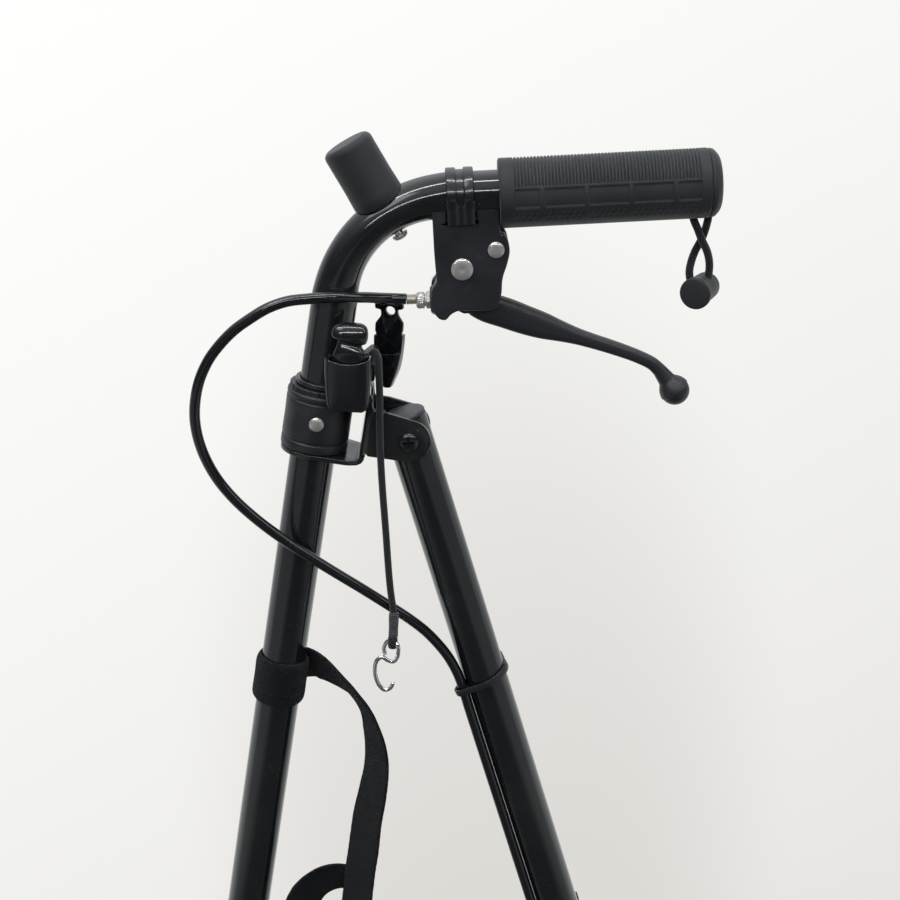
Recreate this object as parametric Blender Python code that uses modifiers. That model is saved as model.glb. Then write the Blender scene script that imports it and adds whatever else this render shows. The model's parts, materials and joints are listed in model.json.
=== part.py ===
"""Wheeled walking cane with a side grip, bicycle brake lever, folding rear leg and three wheels.

Metres, +Z up. The cane is seen from the side with the grip pointing to +X, and the near side is -Y.
The origin is on the floor, midway between the outer edges of the front and rear wheels.
"""
from math import atan2, cos, pi, radians, sin, sqrt, tan

import bmesh
import bpy
import numpy as np
from mathutils import Matrix, Vector

MM = 0.001

# Clearances
FIT = 0.3 * MM                   # between pieces that touch
BOLT_FIT = 0.3 * MM              # round a shank in its hole

# Stance
GRIP_HEIGHT = 866.0 * MM         # grip axis above the floor
MAIN_LEAN = radians(11.86)       # main tube from the vertical, foot towards -X
REAR_LEAN = radians(13.4)        # rear leg from the vertical, foot towards +X
PIVOT_DROP = 133.2 * MM          # fold pivot below the grip axis
PIVOT_REACH = 51.7 * MM          # fold pivot from the main tube's axis, square to it

# Tubes
TUBE_D = 25.4 * MM
TUBE_WALL = 1.5 * MM
BEND_RADIUS = 63.5 * MM          # centre line of the bend below the grip
BEND_SQUEEZE = 0.20              # share of the tube's depth lost at the middle of the bend
BEND_SPREAD = 0.06               # share of its width gained there
TUBE_SIDES = 16

# Grip
GRIP_D = 37.5 * MM
GRIP_START = 55.9 * MM           # from the fold pivot along X
GRIP_LENGTH = 112.6 * MM
GRIP_BAND = 8.0 * MM             # plain band at the front end
GRIP_TAIL_BAND = 3.4 * MM        # plain band at the rear end
RIB_PITCH = 2.2 * MM
RIB_DEPTH = 0.7 * MM
PANEL_DEPTH = 1.0 * MM           # lower half, between the dividers
DIVIDER_PITCH = 24.4 * MM
DIVIDER_FIRST = 22.6 * MM        # first divider from the grip's front end
GRIP_SIDES = 12
PLUG_GROOVE = 2.2 * MM           # gap between grip and end plug where the loop sits
PLUG_CAP = 6.3 * MM              # length of the plug outside the tube
PLUG_D = 35.6 * MM
PLUG_NECK_D = 28.0 * MM
PLUG_SPIGOT = 18.0 * MM

# Stop bumper on the bend
BUMPER_D = 28.0 * MM
BUMPER_LENGTH = 37.5 * MM
BUMPER_ROUND = 2.5 * MM
BUMPER_SKIRT = 6.0 * MM          # how far its sides come down past the tube's crown
BUMPER_PLACE = 0.64              # share of the bend's turn, from its lower end
BUMPER_SCREW_D = 5.0 * MM
BUMPER_SCREW_HEAD = 9.0 * MM
BUMPER_THREAD = 14.0 * MM        # how far the blind screw hole goes into the bumper

# Brake housing and clamp
CLAMP_START = 27.6 * MM          # front edge of the clamp band, from the fold pivot along X
CLAMP_WIDTH = 15.1 * MM
CLAMP_THICK = 1.2 * MM
CLAMP_RIB = 5.4 * MM             # width of each raised rib of the band
HOUSING_WIDTH = 23.0 * MM        # across, along Y
HOUSING_SLOT = 13.0 * MM         # slot that the lever's root runs in
LEVER_X = 34.2 * MM              # lever pivot from the fold pivot
LEVER_Z = 95.3 * MM
LEVER_PIN_D = 5.0 * MM
LEVER_PIN_HEAD = 12.0 * MM
CLAMP_PIN_D = 4.0 * MM
CLAMP_PIN_HEAD = 9.0 * MM
CLAMP_PIN_X = 52.9 * MM
CLAMP_PIN_Z = 105.1 * MM
CABLE_Z = 76.2 * MM              # height of the cable where it leaves the housing

# Fold joint
COLLAR_D = 37.8 * MM
COLLAR_LENGTH = 36.4 * MM
COLLAR_LOW = -15.4 * MM          # lower end of the collar along the main tube, from the pivot's level
SHEET = 2.8 * MM                 # thickness of the bent sheet bracket
WEB_REACH = 23.0 * MM            # rear face of the web from the pivot
EAR_ROUND = 12.3 * MM
EAR_OUTER = 32.0 * MM            # over both ears
EAR_TOP = 14.3 * MM
PLATE_LOW_D = 37.0 * MM
PLATE_TOP_D = 30.4 * MM
PIVOT_BOLT_D = 6.0 * MM
PIVOT_HEAD_D = 10.8 * MM
PIVOT_HEAD_H = 3.2 * MM
COLLAR_RIVET_D = 4.0 * MM
COLLAR_RIVET_HEAD = 8.2 * MM
LEG_TOP = 12.5 * MM              # top of the rear leg's plug above the pivot

# Wheels
WHEEL_D = 125.0 * MM
TYRE_WIDTH = 28.0 * MM
TYRE_DEPTH = 13.0 * MM
HUB_WIDTH = 30.0 * MM
AXLE_D = 8.0 * MM
AXLE_NUT = 13.0 * MM             # across the flats
AXLE_NUT_HEIGHT = 6.0 * MM
REAR_TRACK = 200.0 * MM
AXLE_TUBE_D = 19.0 * MM
CASTER_TRAIL = 25.0 * MM
CASTER_HEAD_D = 34.0 * MM
CASTER_HEAD_H = 54.0 * MM
CROWN_CLEAR = 5.5 * MM           # tyre to the fork's crown
CROWN_HEIGHT = 10.9 * MM
CROWN_FIT = 0.6 * MM             # crown to the underside of the head
FORK_SHEET = 3.0 * MM
WHEEL_STEPS = 20

# Brake at the rear wheels
YOKE_BAR_D = 8.0 * MM
YOKE_AHEAD = 26.0 * MM           # brake bar ahead of the leg's axis, square to it
YOKE_ABOVE = 75.0 * MM           # brake bar above the axle, along the leg
SHOE_GAP = 2.9 * MM              # shoe to tyre when the brake is off

# Cable
CABLE_D = 6.0 * MM
CABLE_STOP_ABOVE = 150.0 * MM    # lower cable stop above the axle, along the leg

# Places that follow from the sizes above
TUBE_R = TUBE_D / 2
PIVOT_Z = GRIP_HEIGHT - PIVOT_DROP
WHEEL_R = WHEEL_D / 2
REAR_LENGTH = (PIVOT_Z - WHEEL_R) / cos(REAR_LEAN)
FOOT_X = -PIVOT_REACH * cos(MAIN_LEAN)
FOOT_Z = PIVOT_REACH * sin(MAIN_LEAN)


def main_axis_x(height):
    """X of the main tube's axis, from the fold pivot, at a height above the pivot."""
    return FOOT_X + (height - FOOT_Z) * tan(MAIN_LEAN)


CROWN_LOW = WHEEL_D + CROWN_CLEAR
CROWN_TOP = CROWN_LOW + CROWN_HEIGHT
CASTER_HEAD_LOW = CROWN_TOP + CROWN_FIT
CASTER_TOP = CASTER_HEAD_LOW + CASTER_HEAD_H
CASTER_X = main_axis_x(CASTER_TOP - PIVOT_Z)
FRONT_EDGE = CASTER_X + CASTER_TRAIL - WHEEL_R
REAR_EDGE = REAR_LENGTH * sin(REAR_LEAN) + WHEEL_R
PIVOT_X = -(FRONT_EDGE + REAR_EDGE) / 2
PIVOT = Vector((PIVOT_X, 0.0, PIVOT_Z))
CORNER = Vector((main_axis_x(PIVOT_DROP), 0.0, PIVOT_DROP))
BEND_TURN = pi / 2 - MAIN_LEAN
BEND_RUN = BEND_RADIUS * tan(BEND_TURN / 2)
GRIP_END = GRIP_START + GRIP_LENGTH
EAR_THICK = SHEET
PIVOT_HOLE = PIVOT_BOLT_D / 2 + BOLT_FIT


def clear_scene():
    for old in list(bpy.data.objects):
        bpy.data.objects.remove(old, do_unlink=True)


def new_collection(name):
    made = bpy.data.collections.new(name)
    bpy.context.scene.collection.children.link(made)
    return made


clear_scene()
PARTS = new_collection("wheeled_walking_cane")
CUTTERS = new_collection("cutters")


def material(name, colour, roughness, metallic=0.0):
    made = bpy.data.materials.new(name)
    made.use_nodes = True
    shader = made.node_tree.nodes["Principled BSDF"]
    shader.inputs["Base Color"].default_value = (*colour, 1.0)
    shader.inputs["Roughness"].default_value = roughness
    shader.inputs["Metallic"].default_value = metallic
    return made


BLACK_PAINT = material("black_paint", (0.010, 0.010, 0.012), 0.16)
BLACK_PLASTIC = material("black_plastic", (0.016, 0.016, 0.018), 0.42)
BLACK_GLOSS = material("black_gloss_plastic", (0.012, 0.012, 0.014), 0.22)
BLACK_RUBBER = material("black_rubber", (0.020, 0.020, 0.021), 0.75)
BLACK_CORD = material("black_cord", (0.014, 0.014, 0.015), 0.85)
STEEL = material("bright_steel", (0.62, 0.61, 0.60), 0.28, 1.0)
CHROME = material("chrome", (0.78, 0.78, 0.78), 0.10, 1.0)
HUB_GREY = material("hub_plastic", (0.045, 0.045, 0.048), 0.45)


def empty(name, place, turn=(0.0, 0.0, 0.0), parent=None):
    """An empty that holds a joint's axis or a slanted frame."""
    made = bpy.data.objects.new(name, None)
    made.location = place
    made.rotation_euler = turn
    made.empty_display_size = 0.02
    made.parent = parent
    PARTS.objects.link(made)
    return made


PIVOT_FRAME = empty("pivot_frame", PIVOT)
MAIN_FRAME = empty("main_tube_frame", (FOOT_X, 0.0, FOOT_Z), (0.0, MAIN_LEAN, 0.0), PIVOT_FRAME)
LEG_FRAME = empty("fold_axis", (0.0, 0.0, 0.0), (0.0, -REAR_LEAN, 0.0), PIVOT_FRAME)


def place(shape, at=(0.0, 0.0, 0.0), turn=(0.0, 0.0, 0.0), parent=PIVOT_FRAME):
    shape.location = at
    shape.rotation_euler = turn
    shape.parent = parent
    return shape


def keep(shape, name, finish):
    """Name a shape as a sub-part, give it its material and shade its round faces smooth."""
    shape.name = name
    shape.data.name = name
    shape.data.materials.clear()
    shape.data.materials.append(finish)
    shape.data.shade_smooth()
    shape.data.set_sharp_from_angle(angle=radians(40))
    return shape


def link(mesh, name="shape"):
    made = bpy.data.objects.new(name, mesh)
    PARTS.objects.link(made)
    return made


def tool(shape):
    """Set a shape aside as a cutter or a union tool, which isn't a sub-part."""
    for home in list(shape.users_collection):
        home.objects.unlink(shape)
    CUTTERS.objects.link(shape)
    shape.hide_render = True
    shape.display_type = "WIRE"
    return shape


def combine(shape, other, operation):
    step = shape.modifiers.new(operation.lower(), "BOOLEAN")
    step.operation = operation
    step.solver = "EXACT"
    step.object = tool(other)
    return shape


def cut(shape, *others):
    for other in others:
        combine(shape, other, "DIFFERENCE")
    return shape


def fuse(shape, *others):
    for other in others:
        combine(shape, other, "UNION")
    return shape


def bevel(shape, width, segments=1, angle=radians(40)):
    step = shape.modifiers.new("rounded_edges", "BEVEL")
    step.width = width
    step.segments = segments
    step.limit_method = "ANGLE"
    step.angle_limit = angle
    return shape


def box(size, centre=(0.0, 0.0, 0.0)):
    grid = bmesh.new()
    bmesh.ops.create_cube(grid, size=1.0)
    bmesh.ops.scale(grid, vec=size, verts=grid.verts)
    bmesh.ops.translate(grid, vec=centre, verts=grid.verts)
    mesh = bpy.data.meshes.new("box")
    grid.to_mesh(mesh)
    grid.free()
    return link(mesh)


AXIS_TURN = {
    "X": Matrix.Rotation(pi / 2, 4, "Y"),
    "Y": Matrix.Rotation(-pi / 2, 4, "X"),
    "Z": Matrix.Identity(4),
}


def cylinder(radius, length, axis="Z", centre=(0.0, 0.0, 0.0), sides=24, radius_end=None):
    """A cylinder or cone about an axis, centred on a point."""
    grid = bmesh.new()
    top = radius if radius_end is None else radius_end
    bmesh.ops.create_cone(grid, cap_ends=True, segments=sides, radius1=radius, radius2=top, depth=length)
    bmesh.ops.transform(grid, matrix=Matrix.Translation(centre) @ AXIS_TURN[axis], verts=grid.verts)
    mesh = bpy.data.meshes.new("cylinder")
    grid.to_mesh(mesh)
    grid.free()
    return link(mesh)


def turned(profile, axis="Z", steps=24, closed=False):
    """A turned solid: (radius, height) points that run down the outer side, spun about the axis."""
    points = [(radius, 0.0, height) for radius, height in profile]
    edges = [(i, i + 1) for i in range(len(points) - 1)]
    if closed:
        edges.append((len(points) - 1, 0))
    mesh = bpy.data.meshes.new("turned")
    mesh.from_pydata(points, edges, [])
    made = link(mesh)
    spin = made.modifiers.new("turned", "SCREW")
    spin.angle = 2 * pi
    spin.steps = steps
    spin.render_steps = steps
    spin.use_merge_vertices = True
    spin.merge_threshold = 0.00001
    spin.use_normal_calculate = True
    return as_mesh(made, AXIS_TURN[axis])


def as_mesh(shape, turn=Matrix.Identity(4)):
    """Replace a shape by the welded mesh of its evaluated form, with the faces pointing out."""
    bpy.context.view_layer.update()
    solved = shape.evaluated_get(bpy.context.evaluated_depsgraph_get())
    mesh = bpy.data.meshes.new_from_object(solved)
    grid = bmesh.new()
    grid.from_mesh(mesh)
    bmesh.ops.remove_doubles(grid, verts=grid.verts, dist=0.00001)
    bmesh.ops.dissolve_limit(grid, angle_limit=radians(0.2), verts=grid.verts, edges=grid.edges)
    bmesh.ops.recalc_face_normals(grid, faces=grid.faces)
    bmesh.ops.transform(grid, matrix=turn, verts=grid.verts)
    grid.to_mesh(mesh)
    grid.free()
    made = link(mesh)
    made.matrix_world = shape.matrix_world
    bpy.data.objects.remove(shape, do_unlink=True)
    return made


def plate(outline, thickness, axis="Y", centre=0.0):
    """A flat outline given in the plane square to the axis, thickened about a place on that axis."""
    curve = bpy.data.curves.new("plate", "CURVE")
    curve.dimensions = "2D"
    curve.fill_mode = "BOTH"
    curve.extrude = thickness / 2
    spline = curve.splines.new("POLY")
    spline.points.add(len(outline) - 1)
    for point, (across, up) in zip(spline.points, outline):
        point.co = (across, up, 0.0, 1.0)
    spline.use_cyclic_u = True
    made = bpy.data.objects.new("plate", curve)
    PARTS.objects.link(made)
    stand = Matrix.Rotation(pi / 2, 4, "X") if axis == "Y" else Matrix.Identity(4)
    shift = Matrix.Translation((0.0, centre, 0.0) if axis == "Y" else (0.0, 0.0, centre))
    return as_mesh(made, shift @ stand)


def bake(shape):
    """Carry out a shape's booleans where it was drawn, and drop the tools they used."""
    used = [step.object for step in shape.modifiers if step.type == "BOOLEAN"]
    made = as_mesh(shape)
    for other in used:
        bpy.data.objects.remove(other, do_unlink=True)
    return made


def arc(centre, radius, start, end, count):
    """Points on an arc, angles in degrees from +X towards +Z."""
    return [
        (centre[0] + radius * cos(radians(a)), centre[1] + radius * sin(radians(a)))
        for a in np.linspace(start, end, count)
    ]


def smooth_route(stops, spacing):
    """Even points along a smooth curve through hand-chosen stops (centripetal Catmull-Rom)."""
    stops = [Vector(p) for p in stops]
    ends = [2 * stops[0] - stops[1]] + stops + [2 * stops[-1] - stops[-2]]
    dense = []
    for a, b, c, d in zip(ends, ends[1:], ends[2:], ends[3:]):
        knots = [0.0]
        for p, q in ((a, b), (b, c), (c, d)):
            knots.append(knots[-1] + max((q - p).length, 1e-6) ** 0.5)
        for t in np.linspace(knots[1], knots[2], 16, endpoint=False):
            dense.append(catmull(a, b, c, d, knots, t))
    dense.append(stops[-1])
    gaps = [0.0]
    for p, q in zip(dense, dense[1:]):
        gaps.append(gaps[-1] + (q - p).length)
    count = max(2, round(gaps[-1] / spacing) + 1)
    wanted = np.linspace(0.0, gaps[-1], count)
    return [tuple(np.interp(s, gaps, [p[k] for p in dense]) for k in range(3)) for s in wanted]


def catmull(a, b, c, d, knots, t):
    k0, k1, k2, k3 = knots
    ab = a.lerp(b, (t - k0) / (k1 - k0))
    bc = b.lerp(c, (t - k1) / (k2 - k1))
    cd = c.lerp(d, (t - k2) / (k3 - k2))
    abc = ab.lerp(bc, (t - k0) / (k2 - k0))
    bcd = bc.lerp(cd, (t - k1) / (k3 - k1))
    return abc.lerp(bcd, (t - k1) / (k2 - k1))


def wire(points, radius, resolution=2):
    """A round wire or cord along points, with closed ends."""
    curve = bpy.data.curves.new("wire", "CURVE")
    curve.dimensions = "3D"
    curve.bevel_depth = radius
    curve.bevel_resolution = resolution
    curve.use_fill_caps = True
    spline = curve.splines.new("POLY")
    spline.points.add(len(points) - 1)
    for point, at in zip(spline.points, points):
        point.co = (*at, 1.0)
    made = bpy.data.objects.new("wire", curve)
    PARTS.objects.link(made)
    return as_mesh(made)


def loft(rings, closed_loop=False):
    """A solid skinned over equal rings of points, with flat ends unless the rings close on themselves."""
    sides = len(rings[0])
    points = [p for ring in rings for p in ring]
    count = len(rings)
    faces = []
    for i in range(count if closed_loop else count - 1):
        base, after = i * sides, ((i + 1) % count) * sides
        for j in range(sides):
            k = (j + 1) % sides
            faces.append((base + j, base + k, after + k, after + j))
    if not closed_loop:
        faces.append(tuple(range(sides)))
        faces.append(tuple(range((count - 1) * sides, count * sides)))
    mesh = bpy.data.meshes.new("loft")
    mesh.from_pydata(points, [], faces)
    grid = bmesh.new()
    grid.from_mesh(mesh)
    bmesh.ops.recalc_face_normals(grid, faces=grid.faces)
    grid.to_mesh(mesh)
    grid.free()
    return link(mesh)


def rivet(shank_d, head_d, head_h, length, sides=16):
    """A domed head above a shank, axis along Z, the underside of the head at zero."""
    dome = [(head_d / 2 * cos(a), head_h * (0.35 + 0.65 * sin(a))) for a in np.linspace(pi / 2, 0.0, 4)]
    profile = [(0.0, head_h)] + dome[1:] + [(head_d / 2, 0.0), (shank_d / 2, 0.0)]
    profile += [(shank_d / 2, -length), (0.0, -length)]
    return turned(profile, steps=sides)


FACE_NEAR = (pi / 2, 0.0, 0.0)    # turns a shape's +Z to the near side, -Y
FACE_FAR = (-pi / 2, 0.0, 0.0)    # and to the far side, +Y


# Main tube and grip


def bend_centre():
    """Centre of the bend's arc, below the grip run and behind the leg run."""
    return CORNER + Vector((BEND_RUN, 0.0, -BEND_RADIUS))


def bend_point(share, offset=0.0):
    """Point on the bend and the direction square to it, outwards; share 0 is the lower end."""
    out = Vector((-cos(MAIN_LEAN + share * BEND_TURN), 0.0, sin(MAIN_LEAN + share * BEND_TURN)))
    return bend_centre() + out * (BEND_RADIUS + offset), out


def squeeze(share):
    return sin(pi * share) ** 0.7 if 0.0 < share < 1.0 else 0.0


def ellipse(centre, out, half_depth, half_width, sides=TUBE_SIDES):
    across = Vector((0.0, 1.0, 0.0))
    turns = np.linspace(0.0, 2 * pi, sides, endpoint=False)
    return [centre + out * (half_depth * cos(a)) + across * (half_width * sin(a)) for a in turns]


MAIN_FOOT_DEPTH = 26.0 * MM      # how far the tube reaches into the caster head's socket
MAIN_LOW = Vector((main_axis_x(CASTER_TOP - PIVOT_Z), 0.0, CASTER_TOP - PIVOT_Z))
GRIP_TUBE_END = GRIP_END - 2.0 * MM


def main_tube():
    """Leg run, squeezed bend and grip run as one hollow tube."""
    straight_out = Vector((-cos(MAIN_LEAN), 0.0, sin(MAIN_LEAN)))
    stations = [(MAIN_LOW, straight_out, 0.0)]
    for share in np.linspace(0.0, 1.0, 15):
        point, out = bend_point(share)
        stations.append((point, out, squeeze(share)))
    stations.append((Vector((GRIP_TUBE_END, 0.0, PIVOT_DROP)), Vector((0.0, 0.0, 1.0)), 0.0))

    def skin(radius):
        return [
            ellipse(point, out, radius * (1 - BEND_SQUEEZE * s), radius * (1 + BEND_SPREAD * s))
            for point, out, s in stations
        ]

    outer, inner = skin(TUBE_R), skin(TUBE_R - TUBE_WALL)
    tube = loft(outer + inner[::-1], closed_loop=True)
    collar_hole = cylinder(COLLAR_RIVET_D / 2 + BOLT_FIT, TUBE_D, "Y", sides=16)
    place(collar_hole, (0.0, -TUBE_D / 2, COLLAR_RIVET_UP), parent=MAIN_FRAME)
    at, turn = bumper_frame()
    screw_hole = place(cylinder(BUMPER_SCREW_D / 2 + BOLT_FIT, 3 * TUBE_D, sides=16), at, turn)
    cut(tube, collar_hole, screw_hole)
    return keep(place(tube), "main_tube", BLACK_PAINT)


COLLAR_RIVET_UP = 3.2 * MM


def grip():
    """Ribbed over its upper half, with recessed panels between dividers below."""
    half_rib = RIB_PITCH / 2
    ribs = int((GRIP_LENGTH - GRIP_BAND - GRIP_TAIL_BAND) / RIB_PITCH)
    start = GRIP_START + GRIP_BAND
    stations = [(GRIP_START, False, True), (start, False, True)]
    for i in range(ribs):
        stations.append((start + (i + 0.5) * RIB_PITCH, True, near_divider(i)))
        stations.append((start + (i + 1) * RIB_PITCH - 0.02 * half_rib, False, near_divider(i)))
    tail = start + ribs * RIB_PITCH + half_rib
    stations += [(tail, False, True), (GRIP_END, False, True)]
    rings = []
    for x, valley, divider in stations:
        rings.append(grip_ring(x, RIB_DEPTH if valley else 0.0, 0.0 if divider else PANEL_DEPTH))
    bore = (TUBE_R + FIT) / cos(pi / GRIP_SIDES)
    for x in (GRIP_END, GRIP_START):
        rings.append([Vector((x, bore * cos(a), bore * sin(a))) for a in grip_angles()])
    body = loft(rings, closed_loop=True)
    return keep(place(body, (0.0, 0.0, PIVOT_DROP)), "grip", BLACK_RUBBER)


def near_divider(rib):
    along = GRIP_BAND + (rib + 0.5) * RIB_PITCH
    nearest = DIVIDER_FIRST + DIVIDER_PITCH * round((along - DIVIDER_FIRST) / DIVIDER_PITCH)
    return abs(along - nearest) < 0.55 * RIB_PITCH


def grip_angles():
    return [2 * pi * (i + 0.5) / GRIP_SIDES for i in range(GRIP_SIDES)]


def grip_ring(x, upper_drop, lower_drop):
    ring = []
    for a in grip_angles():
        upper = sin(a) > 0.0
        side_rail = -0.30 < sin(a) < 0.0
        drop = upper_drop if upper else (0.0 if side_rail else lower_drop)
        radius = GRIP_D / 2 - drop
        ring.append(Vector((x, radius * cos(a), radius * sin(a))))
    return ring


def grip_end_plug():
    """Rounded cap, narrow neck in the groove, and a spigot inside the tube."""
    radius, neck, spigot = PLUG_D / 2, PLUG_NECK_D / 2, TUBE_R - TUBE_WALL - FIT
    top = PLUG_GROOVE + PLUG_CAP
    rounding = 3.4 * MM
    profile = [(0.0, top), (radius * 0.55, top - 0.3 * MM)]
    profile += [
        (radius - rounding + rounding * sin(a), top - rounding - 0.3 * MM + rounding * cos(a))
        for a in np.linspace(0.35, pi / 2, 4)
    ]
    profile += [(radius, PLUG_GROOVE), (neck, PLUG_GROOVE), (neck, FIT), (spigot, FIT)]
    profile += [(spigot, -PLUG_SPIGOT), (0.0, -PLUG_SPIGOT)]
    plug = turned(profile, axis="X", steps=18)
    return keep(place(plug, (GRIP_END, 0.0, PIVOT_DROP)), "grip_end_plug", BLACK_RUBBER)


# Bumper


def bumper_frame():
    """Frame on the outside of the bend, +Z along the bumper."""
    point, out = bend_point(BUMPER_PLACE)
    lean = atan2(out.x, out.z)
    return point, (0.0, lean, 0.0)


def bumper_seat():
    """Distance from the bend's centre line to its squeezed skin under the bumper."""
    return TUBE_R * (1 - BEND_SQUEEZE * squeeze(BUMPER_PLACE))


def bumper():
    """Rubber stop with a rounded top rim and a foot shaped to the tube."""
    at, turn = bumper_frame()
    radius = BUMPER_D / 2
    top = bumper_seat() + BUMPER_LENGTH - BUMPER_SKIRT
    profile = [(0.0, top)]
    profile += [
        (radius - BUMPER_ROUND + BUMPER_ROUND * sin(a), top - BUMPER_ROUND + BUMPER_ROUND * cos(a))
        for a in np.linspace(0.0, pi / 2, 5)
    ]
    profile += [(radius + 0.5 * MM, 0.0), (0.0, 0.0)]
    body = place(turned(profile, steps=20), at, turn)
    blind = bumper_seat() + BUMPER_THREAD
    hole_middle = (0.0, 0.0, blind - TUBE_D)
    screw_hole = cylinder(BUMPER_SCREW_D / 2 + BOLT_FIT, 2 * TUBE_D, centre=hole_middle, sides=16)
    cut(body, tube_shadow(), place(screw_hole, at, turn))
    return keep(body, "bumper", BLACK_RUBBER)


def tube_shadow():
    """The bend with the fit added, as a cutter for what sits on it."""
    rings = []
    for share in np.linspace(-0.2, 1.0, 17):
        point, out = bend_point(share)
        s = squeeze(share)
        depth = TUBE_R * (1 - BEND_SQUEEZE * s) + FIT
        rings.append(ellipse(point, out, depth, TUBE_R * (1 + BEND_SPREAD * s) + FIT))
    return place(loft(rings))


def bumper_screw():
    """Domed screw from below the bend up into the bumper."""
    at, turn = bumper_frame()
    seat = bumper_seat()
    head_height = 3.0 * MM
    screw = rivet(BUMPER_SCREW_D, BUMPER_SCREW_HEAD, head_height, 2 * seat + BUMPER_THREAD)
    flip = Matrix.Rotation(pi, 4, "X")
    hollow_of_bend = 1.2 * MM
    screw.data.transform(Matrix.Translation((0.0, 0.0, -seat - FIT - hollow_of_bend)) @ flip)
    return keep(place(screw, at, turn), "bumper_screw", STEEL)


# Brake housing, clamp and lever


def clamp_band():
    """Split band over the grip run with two raised ribs, its ears reaching into the housing."""
    inner = TUBE_R + FIT
    outer = inner + CLAMP_THICK
    rib = outer + 0.9 * MM
    edge = CLAMP_RIB
    width = CLAMP_WIDTH
    profile = [
        (rib, width), (rib, width - edge), (outer, width - edge), (outer, edge),
        (rib, edge), (rib, 0.0), (inner, 0.0), (inner, width),
    ]
    ring = place(turned(profile, axis="X", steps=20, closed=True), (CLAMP_START, 0.0, PIVOT_DROP))
    low = box((width * 1.2, 4 * outer, 2 * outer), (width / 2, 0.0, -outer - 1.0 * MM))
    cut(ring, place(low, (CLAMP_START, 0.0, PIVOT_DROP)))
    for side in (-1, 1):
        middle = (width / 2, side * (inner + CLAMP_THICK / 2), 0.5 * MM - CLAMP_EAR / 2)
        ear = box((width, CLAMP_THICK, CLAMP_EAR), middle)
        fuse(ring, place(ear, (CLAMP_START, 0.0, PIVOT_DROP)))
    return keep(ring, "brake_clamp_band", BLACK_PAINT)


CLAMP_EAR = 12.8 * MM
HOUSING_TOP = 122.5 * MM         # top edge of the housing's cheeks
HOUSING_FRONT = 19.6 * MM
GRIP_CLEAR = PIVOT_DROP - GRIP_D / 2 - 0.8 * MM
SLOT_FRONT = 25.8 * MM           # front end of the slot for the lever's root


def housing_outline():
    """Side view of the housing: front wall, cable nose, open foot, and the lobe round the clamp pin."""
    nose = arc((24.0 * MM, 78.0 * MM), 7.4 * MM, 125, 250, 7)
    lobe = arc((50.3 * MM, 104.6 * MM), 10.4 * MM, -38, 38, 6)
    points = [(HOUSING_FRONT, HOUSING_TOP), (HOUSING_FRONT, 98.0 * MM), (20.2 * MM, 88.2 * MM)]
    points += nose
    points += [(24.6 * MM, 68.6 * MM), (27.3 * MM, 71.2 * MM), (51.5 * MM, 71.4 * MM)]
    points += [(54.8 * MM, 79.0 * MM), (55.4 * MM, 88.5 * MM)]
    points += lobe
    points += [(GRIP_START - FIT, GRIP_CLEAR), (GRIP_START - FIT, HOUSING_TOP)]
    return points


def brake_housing():
    """Moulded lever bracket: saddle under the tube, a slot for the lever's root, a nose for the cable."""
    body = plate(housing_outline(), HOUSING_WIDTH)
    saddle = cylinder(TUBE_R + FIT, 80 * MM, "X", (35 * MM, 0.0, PIVOT_DROP), sides=TUBE_SIDES)
    slot = plate(
        [
            (SLOT_FRONT, 60.0 * MM), (SLOT_FRONT, 106.0 * MM), (44.0 * MM, 106.0 * MM),
            (46.0 * MM, 100.0 * MM), (50.5 * MM, 92.0 * MM), (50.5 * MM, 88.0 * MM),
            (70.0 * MM, 88.0 * MM), (70.0 * MM, 60.0 * MM),
        ],
        HOUSING_SLOT,
    )
    notch_z = PIVOT_DROP + 0.5 * MM - CLAMP_EAR - FIT
    notch = box(
        (CLAMP_WIDTH + 2 * FIT, 4 * HOUSING_WIDTH, 40 * MM),
        (CLAMP_START + CLAMP_WIDTH / 2, 0.0, notch_z + 20 * MM),
    )
    pin = cylinder(LEVER_PIN_D / 2 + BOLT_FIT, 2 * HOUSING_WIDTH, "Y", (LEVER_X, 0.0, LEVER_Z), sides=14)
    clamp_pin = cylinder(
        CLAMP_PIN_D / 2 + BOLT_FIT, 2 * HOUSING_WIDTH, "Y", (CLAMP_PIN_X, 0.0, CLAMP_PIN_Z), sides=12
    )
    cable = cylinder(ADJUSTER_D / 2 + FIT, 30 * MM, "X", (15 * MM, 0.0, CABLE_Z), sides=20)
    bevel(body, 1.4 * MM)
    cut(body, place(saddle), place(slot), place(notch), place(pin), place(clamp_pin), place(cable))
    return keep(place(body), "brake_housing", BLACK_PLASTIC)


def brake_lever():
    """Curved lever tapering to a ball, with a pivot boss and a cable arm inside the housing."""
    outline = [(x * MM - LEVER_X, z * MM - LEVER_Z) for x, z in LEVER_TOP_EDGE + LEVER_LOW_EDGE]
    blade = plate(outline, LEVER_BLADE)
    bevel(blade, 2.6 * MM, 2, radians(25))
    root_outline = arc((0.0, 0.0), 8.0 * MM, 20, 200, 9) + [(-6.5 * MM, -14.0 * MM)]
    root_outline += [(-3.6 * MM, -26.6 * MM), (14.0 * MM, -28.0 * MM), (12.0 * MM, -12.0 * MM)]
    root = plate(root_outline, LEVER_ROOT)
    ball = ball_shape(LEVER_BALL_D / 2, (LEVER_BALL[0] - LEVER_X, 0.0, LEVER_BALL[1] - LEVER_Z))
    fuse(blade, place(root, parent=LEVER_FRAME), place(ball, parent=LEVER_FRAME))
    pin = cylinder(LEVER_PIN_D / 2 + BOLT_FIT, 2 * HOUSING_WIDTH, "Y", sides=16)
    seat = cylinder(NIPPLE_D / 2 + FIT, 2 * HOUSING_WIDTH, "Y", NIPPLE_AT, sides=14)
    cut(blade, place(pin, parent=LEVER_FRAME), place(seat, parent=LEVER_FRAME))
    return keep(place(blade, parent=LEVER_FRAME), "brake_lever", BLACK_PAINT)


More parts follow.
